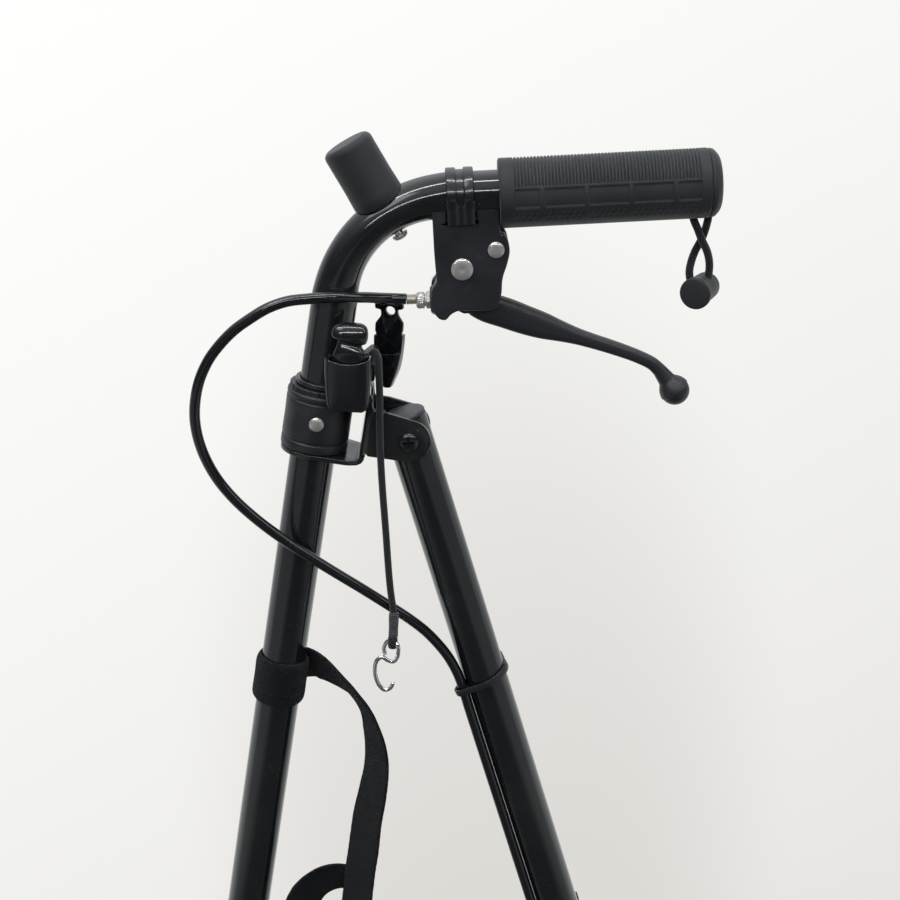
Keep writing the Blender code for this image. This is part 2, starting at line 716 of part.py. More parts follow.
LEVER_TOP_EDGE = [               # in mm from the fold pivot
    (30.0, 79.0), (44.0, 79.0), (55.4, 76.0), (75.4, 67.2),
    (101.0, 55.2), (129.5, 41.4), (146.0, 30.6), (152.0, 21.0),
]
LEVER_LOW_EDGE = [
    (146.5, 16.0), (141.5, 23.3), (136.8, 29.4), (126.1, 35.8),
    (107.2, 42.6), (79.0, 49.9), (55.0, 58.6), (31.5, 68.4),
]
LEVER_BLADE = 10.4 * MM
LEVER_ROOT = 11.8 * MM
LEVER_BALL = (150.1 * MM, 16.9 * MM)
LEVER_BALL_D = 16.5 * MM
LEVER_FRAME = empty("lever_axis", (LEVER_X, 0.0, LEVER_Z), parent=PIVOT_FRAME)
NIPPLE_D = 5.0 * MM
NIPPLE_AT = (0.0, 0.0, CABLE_Z - LEVER_Z)
ADJUSTER_D = 8.0 * MM


def ball_shape(radius, centre, columns=18, rows=11):
    grid = bmesh.new()
    bmesh.ops.create_uvsphere(grid, u_segments=columns, v_segments=rows, radius=radius)
    bmesh.ops.translate(grid, vec=centre, verts=grid.verts)
    mesh = bpy.data.meshes.new("ball")
    grid.to_mesh(mesh)
    grid.free()
    return link(mesh)


def through_pin(name, shank_d, head_d, x, z, width, finish=STEEL, head_h=1.8 * MM):
    """A pin across a housing, with a domed head on the near side and a flatter one on the far side."""
    far_h = 1.2 * MM
    half = width / 2 + FIT
    turns = np.linspace(pi / 2, 0.0, 4)
    dome = [(head_d / 2 * cos(a), half + head_h * (0.35 + 0.65 * sin(a))) for a in turns]
    profile = [(0.0, half + head_h)] + dome[1:] + [(head_d / 2, half), (shank_d / 2, half)]
    profile += [(shank_d / 2, -half)]
    profile += [(head_d * 0.42, -half), (head_d * 0.42, -half - far_h), (0.0, -half - far_h)]
    pin = turned(profile, steps=16)
    return keep(place(pin, (x, 0.0, z), FACE_NEAR), name, finish)


def cable_nipple():
    """Barrel end of the inner wire, seated across the lever's cable arm."""
    nipple = cylinder(NIPPLE_D / 2, LEVER_ROOT, "Y", NIPPLE_AT, sides=14)
    return keep(place(nipple, parent=LEVER_FRAME), "cable_nipple", STEEL)


FERRULE_X = 2.3 * MM             # where the black outer cable begins
WIRE_R = 0.8 * MM


def barrel_adjuster():
    """Knurled adjuster screwed into the housing's nose, with its lock nut, and the cable's ferrule."""
    nose = HOUSING_FRONT - 3.0 * MM
    r = ADJUSTER_D / 2
    wire_bore = 1.3 * MM
    profile = [
        (r, SLOT_FRONT - FIT), (r, nose - FIT),
        (r + 0.9 * MM, nose - FIT), (r + 0.9 * MM, nose - 2.6 * MM),
        (r - 0.4 * MM, nose - 2.8 * MM), (r - 0.4 * MM, nose - 3.6 * MM), (r + 0.6 * MM, nose - 3.8 * MM),
        (r + 0.6 * MM, nose - 7.4 * MM), (r - 0.6 * MM, nose - 8.4 * MM), (wire_bore, nose - 8.4 * MM),
        (wire_bore, SLOT_FRONT - FIT),
    ]
    made = turned(profile, axis="X", steps=20, closed=True)
    return keep(place(made, (0.0, 0.0, CABLE_Z)), "barrel_adjuster", STEEL)


def cable_ferrule():
    start = HOUSING_FRONT - 11.4 * MM - FIT
    outer, bore = 2.75 * MM, WIRE_R + FIT
    rows = [(outer, start), (outer, FERRULE_X), (bore, FERRULE_X), (bore, start)]
    made = turned(rows, axis="X", steps=14, closed=True)
    return keep(place(made, (0.0, 0.0, CABLE_Z)), "cable_ferrule", STEEL)


# Fold joint on the main tube, drawn in the main tube's slanted frame


COLLAR_TOP = COLLAR_LOW + COLLAR_LENGTH
PLATE_LOW = COLLAR_LOW - FIT - SHEET
PLATE_TOP = COLLAR_TOP + FIT
WEB_FACE = PIVOT_REACH - WEB_REACH


def fold_collar():
    """Plastic sleeve round the main tube with two grooves near each end."""
    inner, outer = TUBE_R + FIT, COLLAR_D / 2
    groove, lip = 0.7 * MM, 0.9 * MM
    low, top = COLLAR_LOW, COLLAR_TOP
    rows = [(outer - lip, top), (outer - lip, top - 3.4 * MM)]
    rows += [(outer, top - 3.8 * MM), (outer, top - 6.0 * MM)]
    rows += [(outer - groove, top - 6.4 * MM), (outer - groove, top - 7.4 * MM), (outer, top - 7.8 * MM)]
    rows += [(outer, low + 6.8 * MM), (outer - groove, low + 6.4 * MM), (outer - groove, low + 5.4 * MM)]
    rows += [(outer, low + 5.0 * MM), (outer, low), (inner, low), (inner, top)]
    sleeve = place(turned(rows, steps=20, closed=True), parent=MAIN_FRAME)
    near_face = (0.0, -COLLAR_D / 2, COLLAR_RIVET_UP)
    hole = cylinder(COLLAR_RIVET_D / 2 + BOLT_FIT, COLLAR_D, "Y", near_face, sides=16)
    cut(sleeve, place(hole, parent=MAIN_FRAME))
    return keep(sleeve, "fold_collar", BLACK_PLASTIC)


def collar_rivet():
    """Rivet through the near side of the collar into the tube's wall."""
    depth = COLLAR_D / 2 - TUBE_R + TUBE_WALL + 1.0 * MM
    made = rivet(COLLAR_RIVET_D, COLLAR_RIVET_HEAD, 1.8 * MM, depth)
    at = (0.0, -COLLAR_D / 2 - FIT, COLLAR_RIVET_UP)
    return keep(place(made, at, FACE_NEAR, MAIN_FRAME), "collar_rivet", STEEL)


INSET = 0.2 * MM                 # keeps the bracket's bent edges inside their rounded corners


def tongue(width_d, thickness, low):
    """A bracket end plate: round about the tube, then out to the web."""
    r = width_d / 2
    edge = min(r, EAR_OUTER / 2 - INSET)
    end = WEB_FACE - INSET
    neck = end - SHEET - 2 * INSET - (r - edge)
    outline = arc((0.0, 0.0), r, 90, 270, 11) + [(neck, -r), (end - SHEET, -edge)]
    outline += [(end, -edge), (end, edge), (end - SHEET, edge), (neck, r)]
    return plate(outline, thickness, "Z", low + thickness / 2)


def channel():
    """Web and ears as one bent channel, seen from above."""
    half, front = EAR_OUTER / 2, WEB_FACE - SHEET
    end = PIVOT_REACH + 2 * EAR_ROUND
    bend = 1.5 * MM
    near = [(front + bend, -half), (end, -half), (end, EAR_THICK - half), (WEB_FACE, EAR_THICK - half)]
    far = [(WEB_FACE, half - EAR_THICK), (end, half - EAR_THICK), (end, half), (front + bend, half)]
    outline = near + far + [(front, half - bend), (front, bend - half)]
    low, top = PLATE_LOW + INSET, PLATE_TOP + SHEET - INSET
    return plate(outline, top - low, "Z", (low + top) / 2)


def side_profile():
    """Side view of the web and the ears, as the shape that the channel is trimmed to."""
    wide = 1.0 * MM
    front = WEB_FACE - SHEET - wide
    low, top = PLATE_LOW - wide, PLATE_TOP + SHEET + wide
    outline = [(front, low), (WEB_FACE + INSET / 2, low), (WEB_FACE + INSET / 2, -EAR_ROUND + 2 * MM)]
    outline += [(WEB_FACE + 2 * MM, -EAR_ROUND)]
    outline += arc((PIVOT_REACH, 0.0), EAR_ROUND, -90, 78, 10) + [(WEB_FACE + 10 * MM, EAR_TOP)]
    outline += [(WEB_FACE + INSET / 2, EAR_TOP), (WEB_FACE + INSET / 2, top), (front, top)]
    return plate(outline, 2 * EAR_OUTER)


def hinge_bracket():
    """One bent sheet: plates below and above the collar, a web behind it, and two ears for the rear leg."""
    body = combine(channel(), side_profile(), "INTERSECT")
    fuse(body, tongue(PLATE_LOW_D, SHEET, PLATE_LOW), tongue(PLATE_TOP_D, SHEET, PLATE_TOP))
    bore = cylinder(TUBE_R + FIT, 4 * COLLAR_LENGTH, sides=TUBE_SIDES + 4)
    bolt = cylinder(PIVOT_HOLE, 2 * EAR_OUTER, "Y", (PIVOT_REACH, 0.0, 0.0), sides=14)
    low_bend = corner_rounder(3.0 * MM, PLATE_LOW, 1)
    top_bend = corner_rounder(2.0 * MM, PLATE_TOP + SHEET, -1)
    cut(body, low_bend, top_bend, bore, bolt)
    return keep(place(bake(body), parent=MAIN_FRAME), "hinge_bracket", BLACK_PAINT)


def corner_rounder(radius, level, way):
    """Cutter for the round outer corner between an end plate and the web; way is 1 at the lower plate."""
    x, z = WEB_FACE - radius, level + way * radius
    beyond = 3 * MM
    rounding = [(x + radius * sin(a), z - way * radius * cos(a)) for a in np.linspace(0.2, pi / 2 - 0.2, 4)]
    side, foot = rounding[-1][1], rounding[0][0]
    outline = rounding + [(WEB_FACE + beyond, side + way * beyond / 4)]
    outline += [(WEB_FACE + beyond, level - way * beyond), (foot - beyond / 4, level - way * beyond)]
    return plate(outline, 2 * EAR_OUTER)


def pivot_bolt():
    """Pan-head bolt through both ears and the rear leg, with its nut on the far side as a second piece."""
    half = EAR_OUTER / 2 + FIT
    shank, head = PIVOT_BOLT_D / 2, PIVOT_HEAD_D / 2
    turns = np.linspace(pi / 2, 0.0, 6)
    dome = [(head * cos(a), half + PIVOT_HEAD_H * (0.3 + 0.7 * sin(a))) for a in turns]
    profile = [(0.0, half + PIVOT_HEAD_H)] + dome[1:] + [(head, half), (shank, half)]
    profile += [(shank, -half - NUT_HEIGHT - 1.5 * MM), (0.0, -half - NUT_HEIGHT - 1.5 * MM)]
    bolt = place(turned(profile, steps=16), turn=FACE_NEAR)
    cross = box((0.9 * head, 1.2 * MM, 2.4 * MM), (0.0, 0.0, half + PIVOT_HEAD_H))
    cross_two = box((1.2 * MM, 0.9 * head, 2.4 * MM), (0.0, 0.0, half + PIVOT_HEAD_H))
    cut(bolt, place(cross, turn=FACE_NEAR), place(cross_two, turn=FACE_NEAR))
    return keep(bolt, "pivot_bolt", BLACK_PAINT)


NUT_HEIGHT = 5.0 * MM


def nut(name, at, across, bore, height, parent=PIVOT_FRAME, turn=FACE_FAR, finish=STEEL):
    """A hexagon nut whose underside is at a place, with a chamfered outer face."""
    body = cylinder(across / sqrt(3), height, centre=(0.0, 0.0, height / 2), sides=6)
    hole = cylinder(bore, 4 * height, sides=16)
    cut(place(body, at, turn, parent), place(hole, at, turn, parent))
    return keep(body, name, finish)


# Rear leg


LEG_PLUG_CAP = 2.4 * MM
LEG_TUBE_TOP = LEG_TOP - LEG_PLUG_CAP - FIT
TEE_SOCKET = 80.0 * MM
TEE_WALL = 3.0 * MM
TEE_SLEEVE = 56.0 * MM           # length of the sleeve round the cross tube
AXLE_ALONG = -REAR_LENGTH        # axle on the leg's axis, from the pivot
LEG_TUBE_LOW = AXLE_ALONG + AXLE_TUBE_D / 2 + 4.0 * MM


def rear_leg_tube():
    inner = TUBE_R - TUBE_WALL
    rows = [(TUBE_R, LEG_TUBE_TOP), (TUBE_R, LEG_TUBE_LOW), (inner, LEG_TUBE_LOW), (inner, LEG_TUBE_TOP)]
    tube = place(turned(rows, steps=TUBE_SIDES, closed=True), parent=LEG_FRAME)
    hole = cylinder(PIVOT_HOLE, 2 * TUBE_D, "Y", sides=20)
    cut(tube, place(hole, parent=LEG_FRAME))
    return keep(tube, "rear_leg_tube", BLACK_PAINT)


def leg_top_plug():
    """Cap and spigot in the top of the rear leg, with a nose that meets the web when the leg is open."""
    r, spigot = TUBE_R - 0.2 * MM, TUBE_R - TUBE_WALL - FIT
    low = LEG_TOP - LEG_PLUG_CAP
    rows = [(0.0, LEG_TOP), (r - 0.8 * MM, LEG_TOP), (r, LEG_TOP - 0.8 * MM), (r, low), (spigot, low)]
    rows += [(spigot, low - 22 * MM), (0.0, low - 22 * MM)]
    plug = place(turned(rows, steps=TUBE_SIDES), parent=LEG_FRAME)
    reach = WEB_REACH - FIT
    nose = box((12.0 * MM, 12.0 * MM, 3.2 * MM), (-reach + 6.0 * MM, 0.0, 7.6 * MM))
    inside = (0.0, 0.0, LEG_TUBE_TOP - 20 * MM)
    keep_clear = cylinder(TUBE_R + FIT, 40 * MM, centre=inside, sides=TUBE_SIDES)
    place(nose, turn=(0.0, MAIN_LEAN, 0.0))
    cut(nose, place(keep_clear, parent=LEG_FRAME))
    fuse(plug, nose)
    bolt = cylinder(PIVOT_HOLE, 2 * TUBE_D, "Y", sides=20)
    cut(plug, place(bolt, parent=LEG_FRAME))
    return keep(plug, "leg_top_plug", BLACK_PLASTIC)


def axle_tee():
    """Casting at the foot of the rear leg: a socket for the leg and a sleeve for the cross tube."""
    socket_r = TUBE_R + FIT + TEE_WALL
    sleeve_r = AXLE_TUBE_D / 2 + FIT + TEE_WALL
    socket_middle = LEG_TUBE_LOW - 4 * MM + TEE_SOCKET / 2
    body = cylinder(socket_r, TEE_SOCKET, centre=(0.0, 0.0, socket_middle), sides=20)
    sleeve = cylinder(sleeve_r, TEE_SLEEVE, "Y", (0.0, 0.0, AXLE_ALONG), sides=24)
    lug = box((YOKE_AHEAD, YOKE_LUG, 12 * MM), (-YOKE_AHEAD / 2, 0.0, LUG_LOW + 6 * MM))
    lug_end = cylinder(6.0 * MM, YOKE_LUG, "Y", (-YOKE_AHEAD, 0.0, LUG_LOW + 6 * MM), sides=20)
    place(body, parent=LEG_FRAME)
    fuse(body, *[place(shape, parent=LEG_FRAME) for shape in (sleeve, lug, lug_end)])
    bore_middle = (0.0, 0.0, LEG_TUBE_LOW - FIT + TEE_SOCKET / 2)
    bore = cylinder(TUBE_R + FIT, TEE_SOCKET, centre=bore_middle, sides=TUBE_SIDES)
    cross = cylinder(AXLE_TUBE_D / 2 + FIT, 2 * TEE_SLEEVE, "Y", (0.0, 0.0, AXLE_ALONG), sides=20)
    pin = cylinder(YOKE_BAR_D / 2 + BOLT_FIT, 4 * YOKE_LUG, "Y", (-YOKE_AHEAD, 0.0, LUG_LOW + 6 * MM), sides=16)
    cut(body, *[place(shape, parent=LEG_FRAME) for shape in (bore, cross, pin)])
    return keep(body, "axle_tee", BLACK_PLASTIC)


YOKE_LUG = 16.0 * MM             # width of the lug that carries the brake bar
LUG_LOW = AXLE_ALONG + YOKE_ABOVE - 6 * MM


def axle_cross_tube():
    half = REAR_TRACK / 2 - HUB_WIDTH / 2 - 1.0 * MM
    outer, inner = AXLE_TUBE_D / 2, AXLE_D / 2 + FIT
    rows = [(outer, half), (outer, -half), (inner, -half), (inner, half)]
    tube = turned(rows, axis="Y", steps=20, closed=True)
    return keep(place(tube, (0.0, 0.0, AXLE_ALONG), parent=LEG_FRAME), "axle_cross_tube", BLACK_PAINT)


def rear_axle():
    half = REAR_TRACK / 2 + HUB_WIDTH / 2 + 7.0 * MM
    rod = cylinder(AXLE_D / 2, 2 * half, "Y", sides=18)
    return keep(place(rod, (0.0, 0.0, AXLE_ALONG), parent=LEG_FRAME), "rear_axle", STEEL)


def hub(name, frame):
    """Moulded hub with a web dished from both sides and a rim for the tyre."""
    rim = WHEEL_R - TYRE_DEPTH - FIT
    half, bore = HUB_WIDTH / 2, AXLE_D / 2 + FIT
    boss, web = 11.0 * MM, 2.5 * MM
    flange = TYRE_WIDTH / 2 - 3.0 * MM
    inside = rim - 4.5 * MM
    rows = [(boss, half), (boss, web), (inside, web), (inside, flange), (rim, flange)]
    rows += [(r, -y) for r, y in reversed(rows)]
    rows += [(bore, -half), (bore, half)]
    body = turned(rows, axis="Y", steps=WHEEL_STEPS, closed=True)
    return keep(place(body, parent=frame), name, HUB_GREY)


def tyre(name, frame):
    """Solid rubber tyre with rounded shoulders, whose flats touch the wheel's full radius."""
    seat = WHEEL_R - TYRE_DEPTH
    tread = WHEEL_R / cos(pi / WHEEL_STEPS)
    half = TYRE_WIDTH / 2
    shoulder = 8.0 * MM
    rows = [(seat, half - 3 * MM), (tread - shoulder, half)]
    rows += [
        (tread - shoulder + shoulder * sin(a), half - shoulder + shoulder * cos(a))
        for a in (0.7, 1.2, pi / 2)
    ]
    rows += [(r, -y) for r, y in reversed(rows)]
    body = turned(rows, axis="Y", steps=WHEEL_STEPS, closed=True)
    return keep(place(body, parent=frame), name, BLACK_RUBBER)


# Caster


CASTER_STEM_D = 12.0 * MM
STEM_TOP = CASTER_HEAD_LOW + 42.0 * MM
CASTER_FRAME = empty("caster_axis", (CASTER_X, 0.0, -PIVOT_Z), parent=PIVOT_FRAME)
FLAT_DOWN = pi / WHEEL_STEPS       # turns a tyre so that one of its flats meets the floor
FRONT_AXLE_AT = (CASTER_TRAIL, 0.0, WHEEL_R)
FRONT_WHEEL_FRAME = empty("front_wheel_axis", FRONT_AXLE_AT, (0.0, FLAT_DOWN, 0.0), CASTER_FRAME)
FORK_HALF = TYRE_WIDTH / 2 + 3.0 * MM


def caster_head():
    """Upright bearing head with a slanted socket that holds the foot of the main tube."""
    r = CASTER_HEAD_D / 2
    low, top = CASTER_HEAD_LOW, CASTER_TOP + 4 * MM
    rows = [(0.0, top), (r - 2 * MM, top), (r, top - 2 * MM)]
    rows += [(r, low + 1 * MM), (r - 1 * MM, low), (0.0, low)]
    body = place(turned(rows, steps=24), parent=CASTER_FRAME)
    above = (0.0, 0.0, MAIN_FOOT_DEPTH / 2 + 4 * MM)
    socket = cylinder(TUBE_R + FIT + 3.0 * MM, MAIN_FOOT_DEPTH + 18 * MM, centre=above, sides=24)
    slant = (0.0, MAIN_LEAN, 0.0)
    foot = (0.0, 0.0, CASTER_TOP)
    fuse(body, place(socket, foot, slant, CASTER_FRAME))
    bore = cylinder(TUBE_R + FIT, 100 * MM, centre=(0.0, 0.0, 50 * MM - FIT), sides=TUBE_SIDES)
    stem = cylinder(CASTER_STEM_D / 2 + FIT, 2 * (STEM_TOP - low + FIT), centre=(0.0, 0.0, low), sides=20)
    cut(body, place(bore, foot, slant, CASTER_FRAME), place(stem, parent=CASTER_FRAME))
    return keep(body, "caster_head", BLACK_PLASTIC)


def caster_fork():
    """Fork with a stem, a round crown and two blades that trail to the wheel's axle."""
    outline = [(-13 * MM, CROWN_TOP - 4 * MM), (-12 * MM, CROWN_LOW - 18 * MM)]
    outline += arc((CASTER_TRAIL, WHEEL_R), 11.0 * MM, 190, 350, 10)
    outline += [(24 * MM, CROWN_LOW - 14 * MM), (20 * MM, CROWN_TOP - 4 * MM)]
    middle = FORK_HALF + FORK_SHEET / 2
    crown_size = (34 * MM, 2 * (FORK_HALF + FORK_SHEET), CROWN_HEIGHT)
    body = place(box(crown_size, (3.0 * MM, 0.0, (CROWN_TOP + CROWN_LOW) / 2)), parent=CASTER_FRAME)
    bevel(body, 3.0 * MM, 2)
    blades = [plate(outline, FORK_SHEET, "Y", side * middle) for side in (-1, 1)]
    stem_low = CROWN_TOP - 3 * MM
    stem_middle = (0.0, 0.0, (STEM_TOP + stem_low) / 2)
    stem = cylinder(CASTER_STEM_D / 2, STEM_TOP - stem_low, centre=stem_middle, sides=20)
    fuse(body, *[place(shape, parent=CASTER_FRAME) for shape in (*blades, stem)])
    hole = cylinder(AXLE_D / 2 + FIT, 4 * FORK_HALF, "Y", (CASTER_TRAIL, 0.0, WHEEL_R), sides=18)
    cut(body, place(hole, parent=CASTER_FRAME))
    return keep(body, "caster_fork", BLACK_PAINT)


def front_axle():
    half = FORK_HALF + FORK_SHEET + FIT
    head = 6.5 * MM
    rows = [(0.0, half + 4 * MM), (head, half + 4 * MM), (head, half), (AXLE_D / 2, half)]
    rows += [(AXLE_D / 2, -half - 7 * MM), (0.0, -half - 7 * MM)]
    rod = turned(rows, axis="Y", steps=18)
    return keep(place(rod, (CASTER_TRAIL, 0.0, WHEEL_R), parent=CASTER_FRAME), "front_axle", STEEL)


# Brake bar at the rear wheels


BRAKE_FRAME = empty("brake_axis", (-YOKE_AHEAD, 0.0, AXLE_ALONG + YOKE_ABOVE), parent=LEG_FRAME)
AXLE_FROM_BAR = (YOKE_AHEAD, -YOKE_ABOVE)
SHOE_ANGLE = radians(135.0)      # place of the shoes round the tyre, from the leg's +X
SHOE_DEPTH = 8.0 * MM
SHOE_LENGTH = 14.0 * MM
ARM_SHEET = 5.0 * MM
CABLE_SIDE = 14.5 * MM           # cable ahead of the leg's axis, square to it
CABLE_LOW_Y = -14.0 * MM         # cable beside the leg's lug, at its lower end


def round_axle(radius, angle):
    """A point at a radius and angle about the axle, in the brake bar's frame."""
    return (AXLE_FROM_BAR[0] + radius * cos(angle), AXLE_FROM_BAR[1] + radius * sin(angle))


def brake_bar():
    """Cross bar through the leg's lug, with an arm over each rear tyre and a short arm for the wire."""
    back = WHEEL_R + SHOE_GAP + SHOE_DEPTH + FIT
    spread = SHOE_LENGTH / 2 / back
    half = REAR_TRACK / 2 + ARM_SHEET / 2
    body = place(cylinder(YOKE_BAR_D / 2, 2 * half, "Y", sides=18), parent=BRAKE_FRAME)
    outline = [round_axle(back + 3 * MM, SHOE_ANGLE + spread), round_axle(back, SHOE_ANGLE + spread)]
    outline += [round_axle(back, SHOE_ANGLE - spread)]
    outline += arc((0.0, 0.0), 6.5 * MM, -20, 150, 8)
    arms = []
    for side in (-1, 1):
        arms.append(place(plate(outline, ARM_SHEET, "Y", side * REAR_TRACK / 2), parent=BRAKE_FRAME))
    reach = YOKE_AHEAD - CABLE_SIDE
    cable_arm = arc((0.0, 0.0), 6.0 * MM, 60, 300, 8) + arc((reach, 0.0), 3.2 * MM, -90, 90, 6)
    arms.append(place(plate(cable_arm, 4.0 * MM, "Y", CABLE_LOW_Y), parent=BRAKE_FRAME))
    fuse(body, *arms)
    hole = cylinder(2 * WIRE_R, 30 * MM, centre=(reach, CABLE_LOW_Y, 0.0), sides=12)
    cut(body, place(hole, parent=BRAKE_FRAME))
    return keep(body, "brake_bar", BLACK_PAINT)


def brake_shoe(name, side):
    """Rubber shoe with a face curved to the tyre."""
    middle = WHEEL_R + SHOE_GAP + SHOE_DEPTH / 2
    at = round_axle(middle, SHOE_ANGLE)
    block = box((SHOE_DEPTH * 1.3, 20 * MM, SHOE_LENGTH))
    place(block, (at[0], side * REAR_TRACK / 2, at[1]), (0.0, -SHOE_ANGLE, 0.0), BRAKE_FRAME)
    inner = cylinder(WHEEL_R + SHOE_GAP, 40 * MM, "Y", sides=96)
    place(inner, (AXLE_FROM_BAR[0], side * REAR_TRACK / 2, AXLE_FROM_BAR[1]), parent=BRAKE_FRAME)
    cut(block, inner)
    back = WHEEL_R + SHOE_GAP + SHOE_DEPTH
    beyond = box((20 * MM, 60 * MM, 60 * MM))
    edge = round_axle(back * 0.9955 + 10 * MM, SHOE_ANGLE)
    place(beyond, (edge[0], side * REAR_TRACK / 2, edge[1]), (0.0, -SHOE_ANGLE, 0.0), BRAKE_FRAME)
    cut(block, beyond)
    return keep(block, name, BLACK_RUBBER)


def cable_stop():
    """Clip on the rear leg that ends the outer cable and lets the wire through."""
    height = 10.0 * MM
    at = AXLE_ALONG + CABLE_STOP_ABOVE
    inner, outer = TUBE_R + FIT, TUBE_R + FIT + 2.4 * MM
    rows = [(outer, height / 2), (outer, -height / 2), (inner, -height / 2), (inner, height / 2)]
    ring = place(turned(rows, steps=18, closed=True), (0.0, 0.0, at), parent=LEG_FRAME)
    block = box((9 * MM, 9 * MM, height), (-CABLE_SIDE, CABLE_LOW_Y, at))
    bevel(block, 1.2 * MM)
    bridge = box((9 * MM, 8 * MM, height * 0.8), (-CABLE_SIDE + 2.5 * MM, CABLE_LOW_Y + 4.5 * MM, at))
    bore = cylinder(TUBE_R + FIT, 4 * height, centre=(0.0, 0.0, at), sides=18)
    fuse(ring, place(bridge, parent=LEG_FRAME), place(block, parent=LEG_FRAME))
    wire_hole = cylinder(2 * WIRE_R, 4 * height, centre=(-CABLE_SIDE, CABLE_LOW_Y, at), sides=12)
    cut(ring, place(bore, parent=LEG_FRAME), place(wire_hole, parent=LEG_FRAME))
    return keep(ring, "cable_stop", BLACK_PLASTIC)


def brake_wire():
    """Inner wire from the cable stop through the brake bar's arm, with its end barrel below."""
    top = AXLE_ALONG + CABLE_STOP_ABOVE + 4 * MM
    low = AXLE_ALONG + YOKE_ABOVE - 4.0 * MM - FIT
    barrel = 3.0 * MM
    rows = [(0.0, top), (WIRE_R, top), (WIRE_R, low), (barrel, low)]
    rows += [(barrel, low - 5 * MM), (0.0, low - 5 * MM)]
    wire_end = turned(rows, steps=12)
    return keep(place(wire_end, (-CABLE_SIDE, CABLE_LOW_Y, 0.0), parent=LEG_FRAME), "brake_wire", STEEL)


def inner_wire():
    """Inner wire from the ferrule through the adjuster to the lever's cable arm."""
    start, end = FERRULE_X + 1 * MM, LEVER_X - 8.0 * MM
    wire_end = cylinder(WIRE_R, end - start, "X", ((start + end) / 2, 0.0, CABLE_Z), sides=10)
    return keep(place(wire_end), "inner_wire", STEEL)


# Brake cable


def on_leg(x, y, along):
    """A point given in the rear leg's slanted frame, in the pivot frame."""
    return (x * cos(REAR_LEAN) - along * sin(REAR_LEAN), y, x * sin(REAR_LEAN) + along * cos(REAR_LEAN))


CABLE_LEG_Y = -7.0 * MM
CABLE_STOPS = [
    (2.0, 0.0, 76.2), (-4.0, 0.0, 76.2), (-10.5, -2.4, 77.5), (-17.5, -7.6, 80.2),
    (-25.0, -13.6, 82.8), (-37.0, -17.8, 84.9), (-50.0, -19.2, 85.2), (-60.5, -19.2, 84.4),
    (-71.1, -19.0, 81.2), (-81.9, -18.6, 75.3), (-90.7, -18.2, 69.4),
    (-98.9, -18.0, 61.8), (-105.7, -18.0, 53.6), (-111.7, -18.0, 42.5), (-115.1, -18.0, 31.2),
    (-116.5, -18.0, 19.6), (-115.6, -18.0, 7.9), (-112.5, -18.0, -4.1), (-107.1, -18.0, -16.2),
    (-98.7, -18.0, -28.7), (-87.3, -18.0, -41.4), (-73.9, -18.0, -53.8), (-60.0, -17.9, -65.2),
    (-45.0, -17.0, -77.2), (-30.8, -15.2, -88.7), (-17.0, -13.2, -100.4), (-5.7, -11.4, -110.4),
    (3.0, -9.8, -119.4), (10.2, -8.6, -129.0), (15.9, -7.6, -138.6),
]
CABLE_LEG_STOPS = [152.0 * MM, 175.0 * MM, 200.0 * MM]
CABLE_LEG_SHARES = [0.18, 0.39, 0.60, 0.75]     # of the run from the last of these stops to the cable's end
TIE_SHARES = (0.30, 0.69)
CABLE_END = AXLE_ALONG + CABLE_STOP_ABOVE + 5.0 * MM + FIT


def down_leg(share):
    """Distance down the leg at a share of the run below the last visible stop."""
    start = CABLE_LEG_STOPS[-1]
    return start + share * (-CABLE_END - start)


def cable_route():
    """Hand-chosen stops from the lever to the leg, then straight down it to the cable stop."""
    stops = [(x * MM, y * MM, z * MM) for x, y, z in CABLE_STOPS]
    runs = CABLE_LEG_STOPS + [down_leg(share) for share in CABLE_LEG_SHARES]
    stops += [on_leg(-CABLE_SIDE, CABLE_LEG_Y, -along) for along in runs]
    stops += [on_leg(-CABLE_SIDE, CABLE_LOW_Y, CABLE_END + up) for up in (25 * MM, 0.0)]
    return stops[:1] + smooth_route(stops[1:], 2.8 * CABLE_D)


def brake_cable():
    return keep(place(wire(cable_route(), CABLE_D / 2)), "brake_cable", BLACK_GLOSS)


def hull(points):
    """Convex outline round a set of points."""
    ordered = sorted(set(points))

    def half(run):
        kept = []
        for p in run:
            while len(kept) > 1 and turn_of(kept[-2], kept[-1], p) <= 0.0:
                kept.pop()
            kept.append(p)
        return kept[:-1]

    return half(ordered) + half(ordered[::-1])


def turn_of(a, b, c):
    return (b[0] - a[0]) * (c[1] - a[1]) - (b[1] - a[1]) * (c[0] - a[0])


def cable_tie(name, along, tilt):
    """Plastic tie round the rear leg and the cable."""
    gap, thick, height = 0.8 * MM, 1.3 * MM, 3.8 * MM

    def belt(extra):
        leg = arc((0.0, 0.0), TUBE_R + extra, 0, 330, 12)
        cable = arc((-CABLE_SIDE, CABLE_LEG_Y), CABLE_D / 2 + extra, 0, 315, 8)
        return hull(leg + cable)

    ring = plate(belt(gap + thick), height, "Z")
    hole = plate(belt(gap), 4 * height, "Z")
    head = box((5.4 * MM, 5.0 * MM, 5.4 * MM), (TUBE_R * 0.78, TUBE_R * 0.78 + 2.9 * MM, 0.0))
    at, turn = (0.0, 0.0, -along), (0.0, tilt, 0.0)
    fuse(place(ring, at, turn, LEG_FRAME), place(head, at, turn, LEG_FRAME))
    cut(ring, place(hole, at, parent=LEG_FRAME))
    return keep(ring, name, BLACK_PLASTIC)


# Clips beside the main tube


